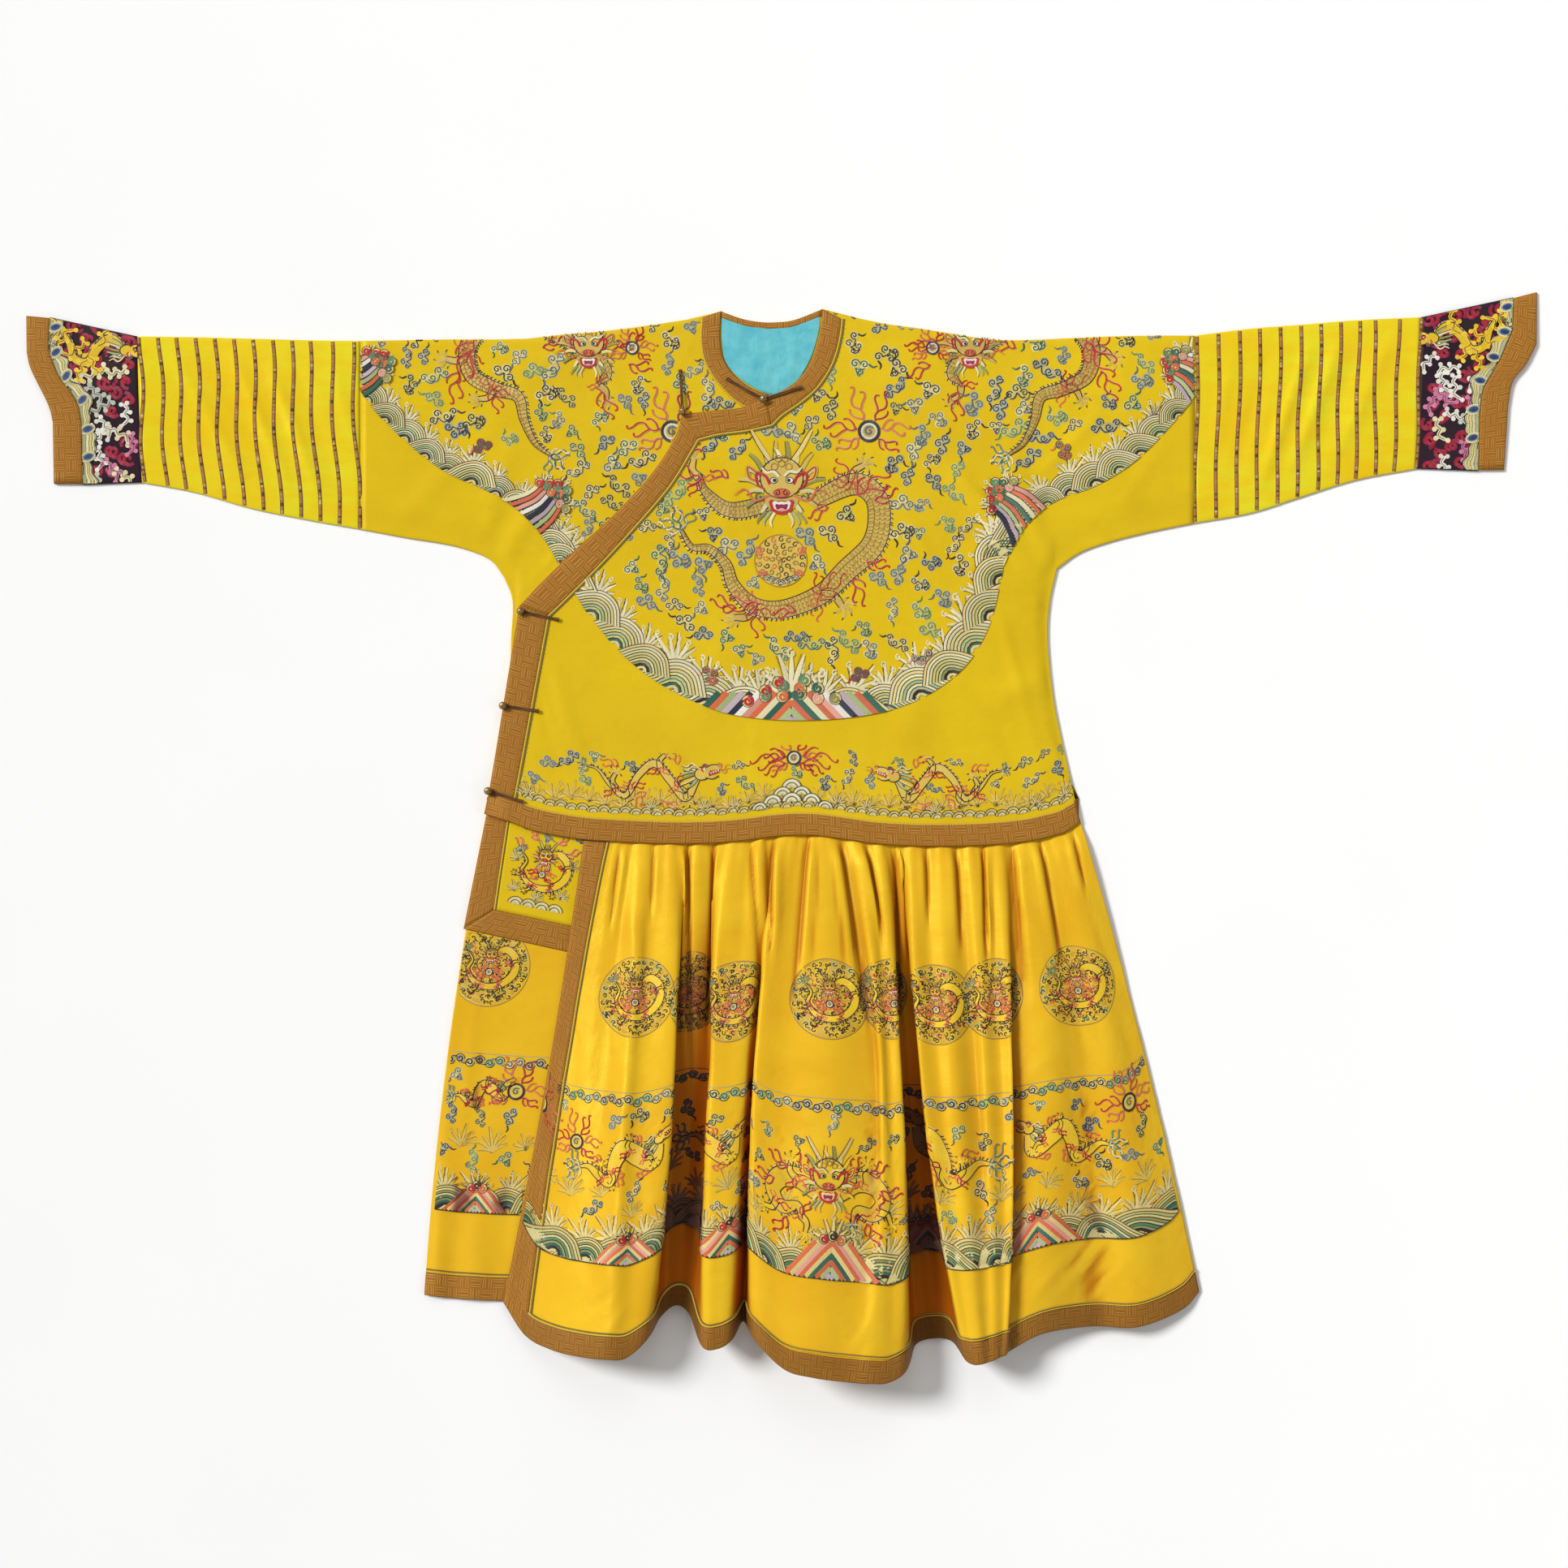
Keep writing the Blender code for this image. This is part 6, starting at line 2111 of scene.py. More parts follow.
THREADS = {
    "dragon_gold": (0.63, 0.44, 0.09),
    "badge_gold": (0.72, 0.50, 0.08),
    "badge_ground": (0.68, 0.41, 0.025),
    "sapphire": (0.02, 0.07, 0.24),
    "straw": (0.76, 0.60, 0.22),
    "dragon_brown": (0.33, 0.17, 0.03),
    "umber": (0.10, 0.05, 0.02),
    "outline": (0.035, 0.02, 0.015),
    "navy": (0.03, 0.036, 0.06),
    "blue": (0.11, 0.14, 0.15),
    "dull_blue": (0.40, 0.42, 0.30),
    "pale_blue": (0.52, 0.54, 0.44),
    "sea_grey": (0.44, 0.43, 0.25),
    "mist": (0.70, 0.61, 0.26),
    "moss": (0.58, 0.52, 0.16),
    "green": (0.11, 0.25, 0.12),
    "dark_green": (0.035, 0.13, 0.085),
    "pale_green": (0.42, 0.50, 0.22),
    "olive": (0.30, 0.30, 0.09),
    "cream": (0.80, 0.72, 0.42),
    "water_ground": (0.58, 0.53, 0.24),
    "white": (0.82, 0.79, 0.68),
    "red": (0.50, 0.018, 0.02),
    "crimson": (0.30, 0.01, 0.05),
    "coral": (0.70, 0.15, 0.055),
    "pink": (0.74, 0.34, 0.26),
    "rose": (0.62, 0.20, 0.33),
    "lavender": (0.55, 0.42, 0.46),
    "bright_gold": (0.85, 0.55, 0.02),
}


def finish(slot):
    """The material of one slot, made when it is first asked for."""
    made = bpy.data.materials.get("robe_" + slot)
    if made:
        return made
    silks = bpy.context.scene.robe_silks
    makers = {
        "yellow_silk": lambda n: silk(n, tuple(silks.yellow), (0.64, 0.42, 0.010), 0.42, 0.45, 0.22),
        "golden_silk": lambda n: silk(n, tuple(silks.golden), (0.70, 0.36, 0.012), 0.34, 0.5, 0.10),
        "lemon_silk": lambda n: silk(n, tuple(silks.lemon), (0.80, 0.49, 0.008), 0.34, 0.5, 0.5),
        "brown_brocade": lambda n: brocade(n, tuple(silks.brown), tuple(silks.fret), 15.0),
        "dark_cuff_silk": lambda n: silk(n, tuple(silks.night), (0.035, 0.012, 0.03), 0.45, 0.35),
        "turquoise_lining": lambda n: lining_cloth(n, tuple(silks.turquoise), (0.17, 0.56, 0.60)),
        "old_brass": cast_brass,
        "sleeve_trim": trim_weave,
        "silk_thread": stitched_thread,
        "dull_cord": lambda n: twisted_cord(n, (0.16, 0.13, 0.04), (0.42, 0.30, 0.06), 4.5),
        "yellow_piping": lambda n: twisted_cord(n, (0.70, 0.50, 0.03), (0.52, 0.33, 0.03), 2.6),
        "loop_cord": lambda n: twisted_cord(n, (0.17, 0.07, 0.02), (0.11, 0.045, 0.015), 3.4),
        "pale_floor": studio_floor,
    }
    return makers[slot]("robe_" + slot)


SHAPES = {}


def named(*starts):
    """The pieces whose names begin with one of these words."""
    return [piece for piece in bpy.data.objects if piece.name.startswith(starts)]


def laid(name, grids, wall, slot, node, flat, rests_on, held="laid", **more):
    """A piece of cloth that stands for one solid."""
    piece = cloth(name, grids, wall, slot, [node], **more)
    declare(piece, *flat, rests_on, held)
    return piece


def rolled(grid, first=None, last=None):
    """Cloth that turns down over the two long edges of a grid, each as far as a row."""
    return [roll(grid[:first, 0], grid[:first, 1]), roll(grid[:last, -1], grid[:last, -2])]


def two_layers(part, side, grid, rolls, slot, flat):
    """The front layer of a sleeve or cuff with its turned edges, and the flat one behind it."""
    behind = f"{part}_back_silk_{side}"
    front = laid(
        f"{part}_front_silk_{side}", [grid, *rolls], SILK, slot, f"{part}_front_{side}", flat, [behind]
    )
    under = grid[:, ::4].copy()
    under[..., 2] = BACK_TOP
    return front, laid(behind, [under], BACK_WALL, slot, f"{part}_back_{side}", flat, [])


def flat_lines(lines):
    """Lines of the plan side by side, at the height of the back."""
    return np.stack([np.column_stack([line, np.full(len(line), BACK_TOP)]) for line in lines])


class ROBE_OT_bodice(bpy.types.Operator):
    """Makes the outer front, the inner front and the back, with the upper sleeves cut in one"""

    bl_idname = "robe.bodice"
    bl_label = "Bodice"

    def execute(self, context):
        outer = ribs(OUTER_FRONT, OUTER_CORNERS, OUTER_FOLDS, 0)
        inner = ribs(INNER_FRONT, INNER_CORNERS, INNER_FOLDS, 500)
        waist, neck = WAIST_RIB * RIB_SAMPLES, NECK_RIB * RIB_SAMPLES
        start, foot, line = outer[-1, 0], np.array(SIDE_FOOT, float), outer[-1, EDGE_STEPS:]
        share = (line[0, 1] - line[:, 1]) / (line[0, 1] - line[-1, 1])
        side = np.column_stack([start[:2] + (foot - start)[:2] * share[:, None], line[:, 2]])
        hem = np.concatenate([outer[waist:, -1], side[-1:]])
        drop = hem * (1.0 + WAIST_FLARE, 1.0, 1.0) - (0.0, WAIST_DROP, 0.0)
        SHAPES.update(outer=outer, inner=inner, side=side, side_inner=line, waist=hem, waist_drop=drop)
        grids = [outer, np.stack([line, side]), np.stack([hem, drop]), *rolled(outer, neck + 1, waist + 1)]
        below = ["bodice_inner_front", "skirt_front_panel"]
        front = laid("bodice_outer_front", grids, SILK, "yellow_silk", "front_outer", (0.93, 0.80), below)
        neck = INNER_NECK_RIB * RIB_SAMPLES
        grids = [inner, *rolled(inner, neck + 1, neck + 1)]
        below = ["bodice_back"]
        under = laid("bodice_inner_front", grids, SILK, "yellow_silk", "front_inner", (0.60, 0.70), below)
        back = laid("bodice_back", [self.back()], BACK_WALL, "yellow_silk", "back_body", (1.12, 0.70), [])
        SHAPES.update(fronts=[front, under], back=back)
        return {"FINISHED"}

    def back(self):
        """Lines down the back, from the shoulders and the neck to the underarms and the waist."""
        left = through(INNER_FRONT[: INNER_NECK_RIB + 1], BACK_LINES, INNER_CORNERS)[:-2]
        right = through(OUTER_FRONT[: NECK_RIB + 1], BACK_LINES, OUTER_CORNERS)[:-6]
        shares = np.linspace(0.0, 1.0, BACK_POINTS)[:, None]
        middle = through(BACK_NECK, BACK_LINES)
        ends = [(row[0:2], row[4:6]) for row in left]
        ends += [(top, (x, BACK_WAIST)) for top, x in zip(middle, np.linspace(*BACK_SIDES, len(middle)))]
        ends += [(row[0:2], row[4:6]) for row in right[::-1]]
        return flat_lines([np.array(a) + (np.array(b) - np.array(a)) * shares for a, b in ends])


# Lines of the back between two ribs, points down each, and where its waist ends at each side.
BACK_LINES = 4
BACK_POINTS = 30
BACK_SIDES = (-386, 387)

# Points down the lining, and its folds in the same form as those of the fronts.
LINING_POINTS = 30
LINING_FOLDS = ((-30, 668, -38, 600, 5, 0.8), (20, 660, 6, 596, 6, 0.9), (-6, 640, -14, 586, 4, -0.5))


class ROBE_OT_neck(bpy.types.Operator):
    """Makes the lining that shows in the neck and the binding all round it"""

    bl_idname = "robe.neck"
    bl_label = "Neck"

    def execute(self, context):
        outer = SHAPES["outer"][NECK_RIB * RIB_SAMPLES : CLOSURE_RIB * RIB_SAMPLES + 1]
        neck = band(outer[:, 0], outer[:, EDGE_STEPS])
        binding("neck_binding_outer", neck, ["neck_band_outer"], ["bodice_outer_front"])
        inner = SHAPES["inner"][INNER_NECK_RIB * RIB_SAMPLES :]
        neck = band(inner[:, 0], inner[:, EDGE_STEPS])
        binding("neck_binding_inner", neck, ["neck_band_inner"], ["bodice_inner_front"])
        top = flat_lines([through([(-79.6, 687.8), *BACK_NECK[1:-1], (51.5, 690.6)], 5)])[0]
        strip = band(top, top - (0.0, BACK_NECK_STRIP, 0.0), BAND_LIFT)
        binding("neck_binding_back", strip, ["neck_band_back"], ["bodice_back"])
        neck_x, neck_y = zip(*BACK_NECK)
        lines = []
        for x, y in through(NECK_LINING, 6):
            top = float(np.interp(x, neck_x, neck_y)) - 2.0
            lines.append(np.linspace((x, top), (x, min(y, top - 1.0)), LINING_POINTS))
        grid = flat_lines(lines)
        grid[..., 2] = BACK_TOP + 0.3 + LINING
        grid[..., 2] += fold_height(grid, LINING_FOLDS)
        laid(
            "neck_lining_silk", [grid], LINING, "turquoise_lining", "neck_lining", (0.135, 0.11),
            ["bodice_back"],
        )
        return {"FINISHED"}


class ROBE_OT_bindings(bpy.types.Operator):
    """Makes the brocade bindings of the closure, the side and the waist"""

    bl_idname = "robe.bindings"
    bl_label = "Closure bindings"

    def execute(self, context):
        outer = SHAPES["outer"][CLOSURE_RIB * RIB_SAMPLES :]
        for name, node, edge, inside in (
            ("closure_binding", "closure_band_upper", outer[:, 0], outer[:, EDGE_STEPS]),
            ("side_binding", "closure_band_side", SHAPES["side"], SHAPES["side_inner"]),
            ("waist_binding", "waist_band_front", SHAPES["waist"], SHAPES["waist_drop"]),
        ):
            binding(name, band(edge, inside), [node], ["bodice_outer_front"])
        left, right = ((x, BACK_WAIST) for x in BACK_SIDES)
        edge = flat_lines([np.linspace(left, right, 40)])[0]
        strip = np.stack([edge, edge - (0.0, WAIST_DROP, 0.0)], axis=1)
        binding("waist_binding_back", strip, ["waist_band_back"], [], SILK)
        return {"FINISHED"}


# Lines of points between two ribs of a sleeve, points across it, and points along a trim. A trim's
# section is its share of the width and its height, and its weave has its own coordinates across.
SLEEVE_SAMPLES = 14
SLEEVE_POINTS = 49
TRIM_POINTS = 44
TRIM_PROFILE = ((-0.5, 0.12), (-0.42, 0.55), (0.0, 0.7), (0.42, 0.55), (0.5, 0.12))
TRIM_WEAVE = (0.0, 0.4, 2.5, 4.6, 5.0)


class ROBE_OT_sleeves(bpy.types.Operator):
    """Makes the striped lower sleeves, front and back layers, with their narrow trims"""

    bl_idname = "robe.sleeves"
    bl_label = "Lower sleeves"

    def execute(self, context):
        for side, table, trims in (("right", SLEEVE_RIGHT, TRIMS_RIGHT), ("left", SLEEVE_LEFT, TRIMS_LEFT)):
            rows = through(table, SLEEVE_SAMPLES)
            share = np.linspace(-1.0, 1.0, SLEEVE_POINTS)
            fall = SLEEVE_PUFF * (1.0 - np.abs(share) ** 3)
            lines = []
            for x0, y0, x1, y1 in rows:
                spots = np.linspace((x0, y0), (x1, y1), SLEEVE_POINTS)
                z = FRONT_TOP + fall + fold_height(spots, SLEEVE_FOLDS) * (1.0 - share**6)
                z += ripple(spots[:, 0], spots[:, 1], 0.8) * (1.0 - share**6)
                lines.append(np.column_stack([spots, z]))
            grid = np.stack(lines)
            front, back = two_layers("sleeve", side, grid, rolled(grid), "lemon_silk", (0.30, 0.26))
            plans = ((Plan([front]), 1.0), (Plan([back], below=True), 0.4))
            self.trims(side, plans, rows, trims, context.scene.robe_sizes.trim / MM)
        return {"FINISHED"}

    def trims(self, side, plans, rows, trims, width):
        """Narrow trims across the sleeve, over the fold and round to the back."""
        top_x, top_y, low_x, low_y = rows.T
        order = 1 if top_x[-1] > top_x[0] else -1
        sway = 9.0 if side == "right" else 4.5
        steps, share = np.arange(TRIM_POINTS), np.linspace(0.0, 1.0, TRIM_POINTS)
        grids, uvs = [], []
        for number, (x0, x1) in enumerate(trims):
            y0 = np.interp(x0 * order, top_x * order, top_y)
            y1 = np.interp(x1 * order, low_x * order, low_y)
            spots = np.linspace((x0, y0 - 0.4), (x1, y1 + 0.4), TRIM_POINTS)
            spots[:, 0] += sway * np.sin(share * 5.6 + number * 0.25) * share * (1 - share) * 2
            for plan, height in plans:
                middle, _, good = plan.carry(spots)
                middle = np.interp(steps, steps[good], middle[good, 2])
                lines = []
                for offset, lift in TRIM_PROFILE:
                    line = beside(spots, offset * width)
                    places, normals, good = plan.carry(line)
                    places = np.column_stack([line, np.where(good, places[:, 2], middle)])
                    lines.append(places + normals * lift * height)
                grids.append(np.stack(lines, axis=1))
                uvs.append(flat_uv(lengths(lines[2]) + number * 400.0, TRIM_WEAVE))
        upward = [True, False] * len(trims)
        settle(sheets_mesh(f"sleeve_trims_{side}", grids, uvs, upward, finish("sleeve_trim")))


# Lines of points between two lines of a cuff, points along each, and the lift of its binding.
CUFF_SAMPLES = 8
CUFF_POINTS = 24
CUFF_LIFT = 0.7


class ROBE_OT_cuffs(bpy.types.Operator):
    """Makes the horse-hoof cuffs and the bindings round their mouths"""

    bl_idname = "robe.cuffs"
    bl_label = "Cuffs"

    def execute(self, context):
        for side, table in (("right", CUFF_RIGHT), ("left", CUFF_LEFT)):
            rows = through(table, CUFF_SAMPLES, CUFF_CORNERS)
            share = np.linspace(-1.0, 1.0, len(rows))
            z = FRONT_TOP + SLEEVE_PUFF * (1.0 - np.abs(share) ** 3)
            body, edge, mouth = [], rows[:, 2:4], rows[:, 4:6]
            for row, height in zip(rows, z):
                spots = np.linspace(row[0:2], row[2:4], CUFF_POINTS)
                lift = height + ripple(spots[:, 0] * 2, spots[:, 1] * 2, 0.6)
                body.append(np.column_stack([spots, lift]))
            body = np.stack(body)
            rolls = rolled(body.transpose(1, 0, 2))
            front, back = two_layers("cuff", side, body, rolls, "dark_cuff_silk", (0.20, 0.14))
            SHAPES[f"cuff_{side}"] = (front, back, rows)
            ends = np.column_stack([mouth, z]), np.column_stack([edge, body[:, -1, 2]])
            strip = band(*ends, CUFF_LIFT)
            node, below = [f"cuff_band_front_{side}"], [f"cuff_front_silk_{side}"]
            binding(f"cuff_binding_front_{side}", strip, node, below, SILK + CUFF_LIFT)
            low = flat_lines([mouth, edge]).transpose(1, 0, 2)
            binding(f"cuff_binding_back_{side}", low, [f"cuff_band_back_{side}"], [], SILK)
        return {"FINISHED"}


# Points between two knots of a skirt's section, and sections down the front and the under skirt.
SKIRT_SAMPLES = 9
UNDER_SAMPLES = 7
SKIRT_LEVELS = 97
UNDER_LEVELS = 81
# Lines of its side binding and the highest of them, and the level at which its width is measured.
SIDE_LINES = 8
SIDE_RISE = 0.9
SIDE_MIDDLE = 60
# The x up to which the front skirt lies on the surface itself.
SKIRT_SIDE = -200.0


def skirt_row(level):
    """One section of the front skirt at a share of the way down."""
    waist = sorted((row[4] * (1 + WAIST_FLARE), row[5] - WAIST_DROP) for row in OUTER_FRONT[WAIST_RIB:])
    waist_x, waist_y = zip(*waist)
    knots = []
    for x0, x1, x2, hem_y, z0, z1, z2 in FRONT_SKIRT:
        top_y = np.interp(x0, waist_x, waist_y) + SKIRT_TUCK
        middle = (top_y - MID_LEVEL) / (top_y - hem_y)
        y = top_y + (hem_y - top_y) * level
        knots.append((bend(level, middle, x0, x1, x2), y, bend(level, middle, z0, z1, z2)))
    row = through(knots, SKIRT_SAMPLES)
    row[:, 2] = np.maximum(row[:, 2], np.where(row[:, 0] < SKIRT_SIDE, 0.0, SKIRT_REST))
    return row


def bend(t, middle, waist, halfway, hem):
    """A quadratic from the waist at 0 through its middle to the hem at 1."""
    return (
        waist * (t - middle) * (t - 1.0) / middle
        + halfway * t * (t - 1.0) / (middle * (middle - 1.0))
        + hem * t * (t - middle) / (1.0 - middle)
    )


# A hem binding's section: distance above the hem, and height above the cloth.
HEM_PROFILE = ((30.0, 0.1), (29.0, 0.7), (26.0, 0.95), (15.0, 1.0), (4.0, 0.9), (1.0, 0.6), (0.0, 0.0))
UNDER_PROFILE = ((30.0, 0.1), (29.0, 0.6), (26.0, 0.8), (15.0, 0.85), (4.0, 0.8), (1.0, 0.5), (0.0, 0.0))

# Folds of the under skirt, in the same form as those of the fronts.
UNDER_FOLDS = (
    (-430, -420, -330, -560, 9, 1.5), (-440, -500, -380, -570, 8, 1.3), (-400, -200, -420, -400, 9, 1.2),
    (-350, -480, -350, -560, 7, 1.0),
)

# Row of the back skirt's outline at which its hem binding starts, points between two rows, and
# points across each.
BACK_HEM_ROW = 7
BACK_SAMPLES = 6
BACK_COLUMNS = 60


class ROBE_OT_skirt(bpy.types.Operator):
    """Makes the pleated front skirt, its open side and its hem, the under skirt and the back skirt"""

    bl_idname = "robe.skirt"
    bl_label = "Skirt"

    def execute(self, context):
        levels = np.linspace(0.0, 1.0, SKIRT_LEVELS)
        whole = Draped(self.dressed(Draped([skirt_row(level) for level in levels], levels)), levels)
        border = SKIRT_BORDER * SKIRT_SAMPLES
        SHAPES.update(skirt=whole, skirt_border=border)
        part = whole.above_hem(), slice(border - 3, None)
        # The front panel carries the painted shade of its folds.
        laid(
            "skirt_front_panel", [whole.grid[part]], SILK, "golden_silk", "skirt_front", (2.1, 0.72),
            ["skirt_back_panel"], "gathered", uvs=[whole.uv()[part]], folds=whole.fold[part],
        )
        columns = np.linspace(0, border, SIDE_LINES)
        rises = SIDE_RISE * np.sin(np.linspace(0.15, pi - 0.15, SIDE_LINES)) ** 0.3
        edge = np.stack([whole.line(levels, *each) for each in zip(columns, rises)], axis=1)
        uv = flat_uv(lengths(edge[:, 3]), lengths(edge[SIDE_MIDDLE]))
        laid(
            "skirt_side_binding", [edge], SILK, "brown_brocade", "skirt_edge_band", (0.06, 0.74),
            ["skirt_front_panel"], uvs=[uv],
        )
        # Painted shade on the hem binding: darkened all along, and more where the skirt folds.
        hem, shade = whole.hem(HEM_PROFILE)[border - 2 :], whole.fold[-1][border - 2 :, None]
        shade = 0.38 + 0.57 * np.repeat(shade, len(HEM_PROFILE), axis=1)
        binding("skirt_hem_binding", hem, ["skirt_front_hem"], ["skirt_front_panel"], SILK + 0.6, shade)
        self.under()
        self.behind()
        return {"FINISHED"}

    def dressed(self, plain):
        """The skirt's form with its creases, pleats, ripples and the pucker of its embroidery."""
        lift = np.zeros(plain.grid.shape[:2])
        for x, level, slant, length, width, height in SKIRT_CREASES:
            run, down = plain.local(plain.column_at(x, level), level)
            along = down * cos(slant) + run * sin(slant)
            across = run * cos(slant) - down * sin(slant)
            near = np.cos(pi * np.clip(along / length, -0.5, 0.5))
            lift += height * near * np.exp(-((across / width) ** 2))
        down, across = plain.levels[:, None], plain.runs[8][None]
        gathers = np.sin(across * (tau / 15.0) + 2.0 * np.sin(across / 41.0))
        lift += 0.3 * gathers * np.exp(-((down / 0.11) ** 2))
        lift += self.pleats(plain.grid) * ease((down - 0.012) / 0.05)
        lift += PLEAT_RISE * ease((down - 0.018) / 0.05) * (1.0 - ease((down - 0.12) / 0.3))
        across = plain.runs[-1][None]
        lift += ripple(across * 2.2 + 90, plain.drops * 2.0, 1.4) * ease(down / 0.1) - 0.5
        stitched = np.exp(-(((down - DRAWING_LEVEL) / 0.16) ** 4))
        pucker = np.sin(across * 0.31 + 3 * np.sin(plain.drops * 0.11)) * np.sin(plain.drops * 0.37)
        lift += 0.35 * stitched * pucker
        grid = plain.grid + plain.normals * lift[..., None] * ease(down / 0.01)[..., None]
        grid[..., 2] = np.maximum(grid[..., 2], np.where(grid[..., 0] < SKIRT_SIDE, 0.3, SKIRT_REST))
        return grid

    def pleats(self, grid):
        """How far the sharp creases under the waist move the cloth at each point."""
        total = np.zeros(grid.shape[:2])
        for x0, x1, y1, depth, width, hand in SKIRT_PLEATS:
            share = grid[..., 1] / y1
            away = (grid[..., 0] - x0 - (x1 - x0) * share) * hand / width
            fade = 1.0 - ease((share - 0.45) / 0.55)
            total += depth * fade * (0.75 * np.exp(-(((away - 2.2) / 1.7) ** 2)) - np.exp(-(away**2)))
        return total

    def under(self):
        """The under skirt at the open side, with its hem."""
        levels = np.linspace(0.0, 1.0, UNDER_LEVELS)
        rows = []
        for t in levels:
            knots = []
            for x0, x1, x2, hem_y, z1, z2 in UNDER_SKIRT:
                top_y = UNDER_WAIST - 0.11 * (x0 + 236)
                middle = (top_y - MID_LEVEL) / (top_y - hem_y)
                x, z = bend(t, middle, x0, x1, x2), bend(t, middle, FRONT_TOP, z1, z2)
                knots.append((x, top_y + (hem_y - top_y) * t, max(z, FRONT_TOP)))
            rows.append(through(knots, UNDER_SAMPLES))
        grid = np.stack(rows)
        spots, inner = grid[..., :2], ease((levels - 0.22) / 0.1)[:, None]
        grid[..., 2] = np.maximum(grid[..., 2], FRONT_TOP)
        grid[..., 2] += (fold_height(spots, UNDER_FOLDS) + ripple(spots[..., 0], spots[..., 1], 1.0)) * inner
        SHAPES["under_skirt"] = whole = Draped(grid, levels)
        part = whole.above_hem()
        laid(
            "under_skirt_panel", [grid[part]], SILK, "golden_silk", "skirt_under", (0.20, 0.66),
            ["skirt_back_panel"], uvs=[whole.uv()[part]],
        )
        hem = whole.hem(UNDER_PROFILE)
        binding("under_skirt_hem", hem, ["skirt_under_hem"], ["under_skirt_panel"], SILK + 0.4)

    def behind(self):
        """The pressed back skirt with its hem."""
        rows = through(BACK_SKIRT, BACK_SAMPLES)
        grid = flat_lines([np.linspace((x0, y), (x1, y), BACK_COLUMNS) for y, x0, x1 in rows])
        hem_row = BACK_HEM_ROW * BACK_SAMPLES
        panel, flat = [grid[: hem_row + 1]], (1.02, 0.60)
        back = laid("skirt_back_panel", panel, BACK_WALL, "golden_silk", "skirt_back", flat, [])
        SHAPES["back_skirt"] = back
        binding("skirt_back_binding", grid[hem_row:].transpose(1, 0, 2), ["skirt_back_hem"], [], SILK)


# Points along each side of the flap, points across its panel, and the lift of its bindings.
FLAP_STEPS = 25
FLAP_COLUMNS = 20
FLAP_LIFT = 0.7


class ROBE_OT_flap(bpy.types.Operator):
    """Makes the small flap at the waist: a panel between two mitred bindings"""

    bl_idname = "robe.flap"
    bl_label = "Flap"

    def execute(self, context):
        steps = np.linspace(0.0, 1.0, FLAP_STEPS)[:, None]
        top = [np.array((*spot, FLAP_Z)) for spot in FLAP_TOP]
        corner, inner_corner, inner_end, corner_end = (np.array((*spot, FLAP_Z)) for spot in FLAP_FOOT)
        outer, inner, far, upper, lower = (
            start + (end - start) * steps
            for start, end in (
                (top[0], corner), (top[1], inner_corner), (top[2], inner_end), (inner_corner, inner_end),
                (corner, corner_end),
            )
        )
        panel = np.stack([np.linspace(a, b, FLAP_COLUMNS) for a, b in zip(inner, far)])
        panel[..., 2] += ripple(panel[..., 0] * 2, panel[..., 1] * 2, 0.5)
        below = ["under_skirt_panel"]
        flap = laid("flap_silk", [panel], SILK, "yellow_silk", "flap_panel", (0.115, 0.135), below)
        binding("flap_binding_side", band(outer, inner, FLAP_LIFT), ["flap_band_side"], below, SILK + 0.5)
        binding("flap_binding_foot", band(lower, upper, FLAP_LIFT), ["flap_band_foot"], below, SILK + 0.5)
        SHAPES.update(flap=flap, flap_lines=(inner, upper))
        return {"FINISHED"}


class Grower:
    """Builds one Geometry Nodes tree that grows repeats along lines."""

    def __init__(self, name, **sockets):
        self.tree = bpy.data.node_groups.new(name, "GeometryNodeTree")
        face = self.tree.interface
        face.new_socket("Lines", in_out="INPUT", socket_type="NodeSocketGeometry")
        for label, kind in sockets.items():
            face.new_socket(label, in_out="INPUT", socket_type="NodeSocket" + kind)
        face.new_socket("Geometry", in_out="OUTPUT", socket_type="NodeSocketGeometry")
        self.start = self.tree.nodes.new("NodeGroupInput")
        self.end = self.tree.nodes.new("NodeGroupOutput")

    def value(self, label):
        return self.start.outputs[label]

    def node(self, kind, settings=None, **inputs):
        """A node with its inputs, keyed by socket name with _ for a space, or by _number."""
        made = self.tree.nodes.new(kind)
        for key, item in (settings or {}).items():
            setattr(made, key, item)
        for key, item in inputs.items():
            socket = made.inputs[int(key[1:])] if key[0] == "_" else made.inputs[key.replace("_", " ")]
            if isinstance(item, bpy.types.NodeSocket):
                self.tree.links.new(item, socket)
            else:
                socket.default_value = item
        return made.outputs

    def even_lines(self, step):
        """The lines as curves of points at an even distance."""
        curve = self.node("GeometryNodeMeshToCurve", Mesh=self.value("Lines"))
        settings = {"mode": "LENGTH"}
        return self.node("GeometryNodeResampleCurve", settings, Curve=curve[0], Length=self.value(step))[0]

    def product(self, first, second):
        return self.node("ShaderNodeMath", {"operation": "MULTIPLY"}, _0=first, _1=second)[0]

    def kept(self, geometry, value, label):
        """The geometry, with a value kept on it for later, and that value."""
        keeper = self.tree.nodes.new("GeometryNodeCaptureAttribute")
        keeper.capture_items.new("FLOAT", label)
        self.tree.links.new(geometry, keeper.inputs[0])
        self.tree.links.new(value, keeper.inputs[1])
        return keeper.outputs

    def finish(self, geometry):
        dressed = self.node("GeometryNodeSetMaterial", Geometry=geometry, Material=self.value("Material"))
        solid = self.node("GeometryNodeRealizeInstances", Geometry=dressed[0])
        self.tree.links.new(solid[0], self.end.inputs[0])
        return self.tree


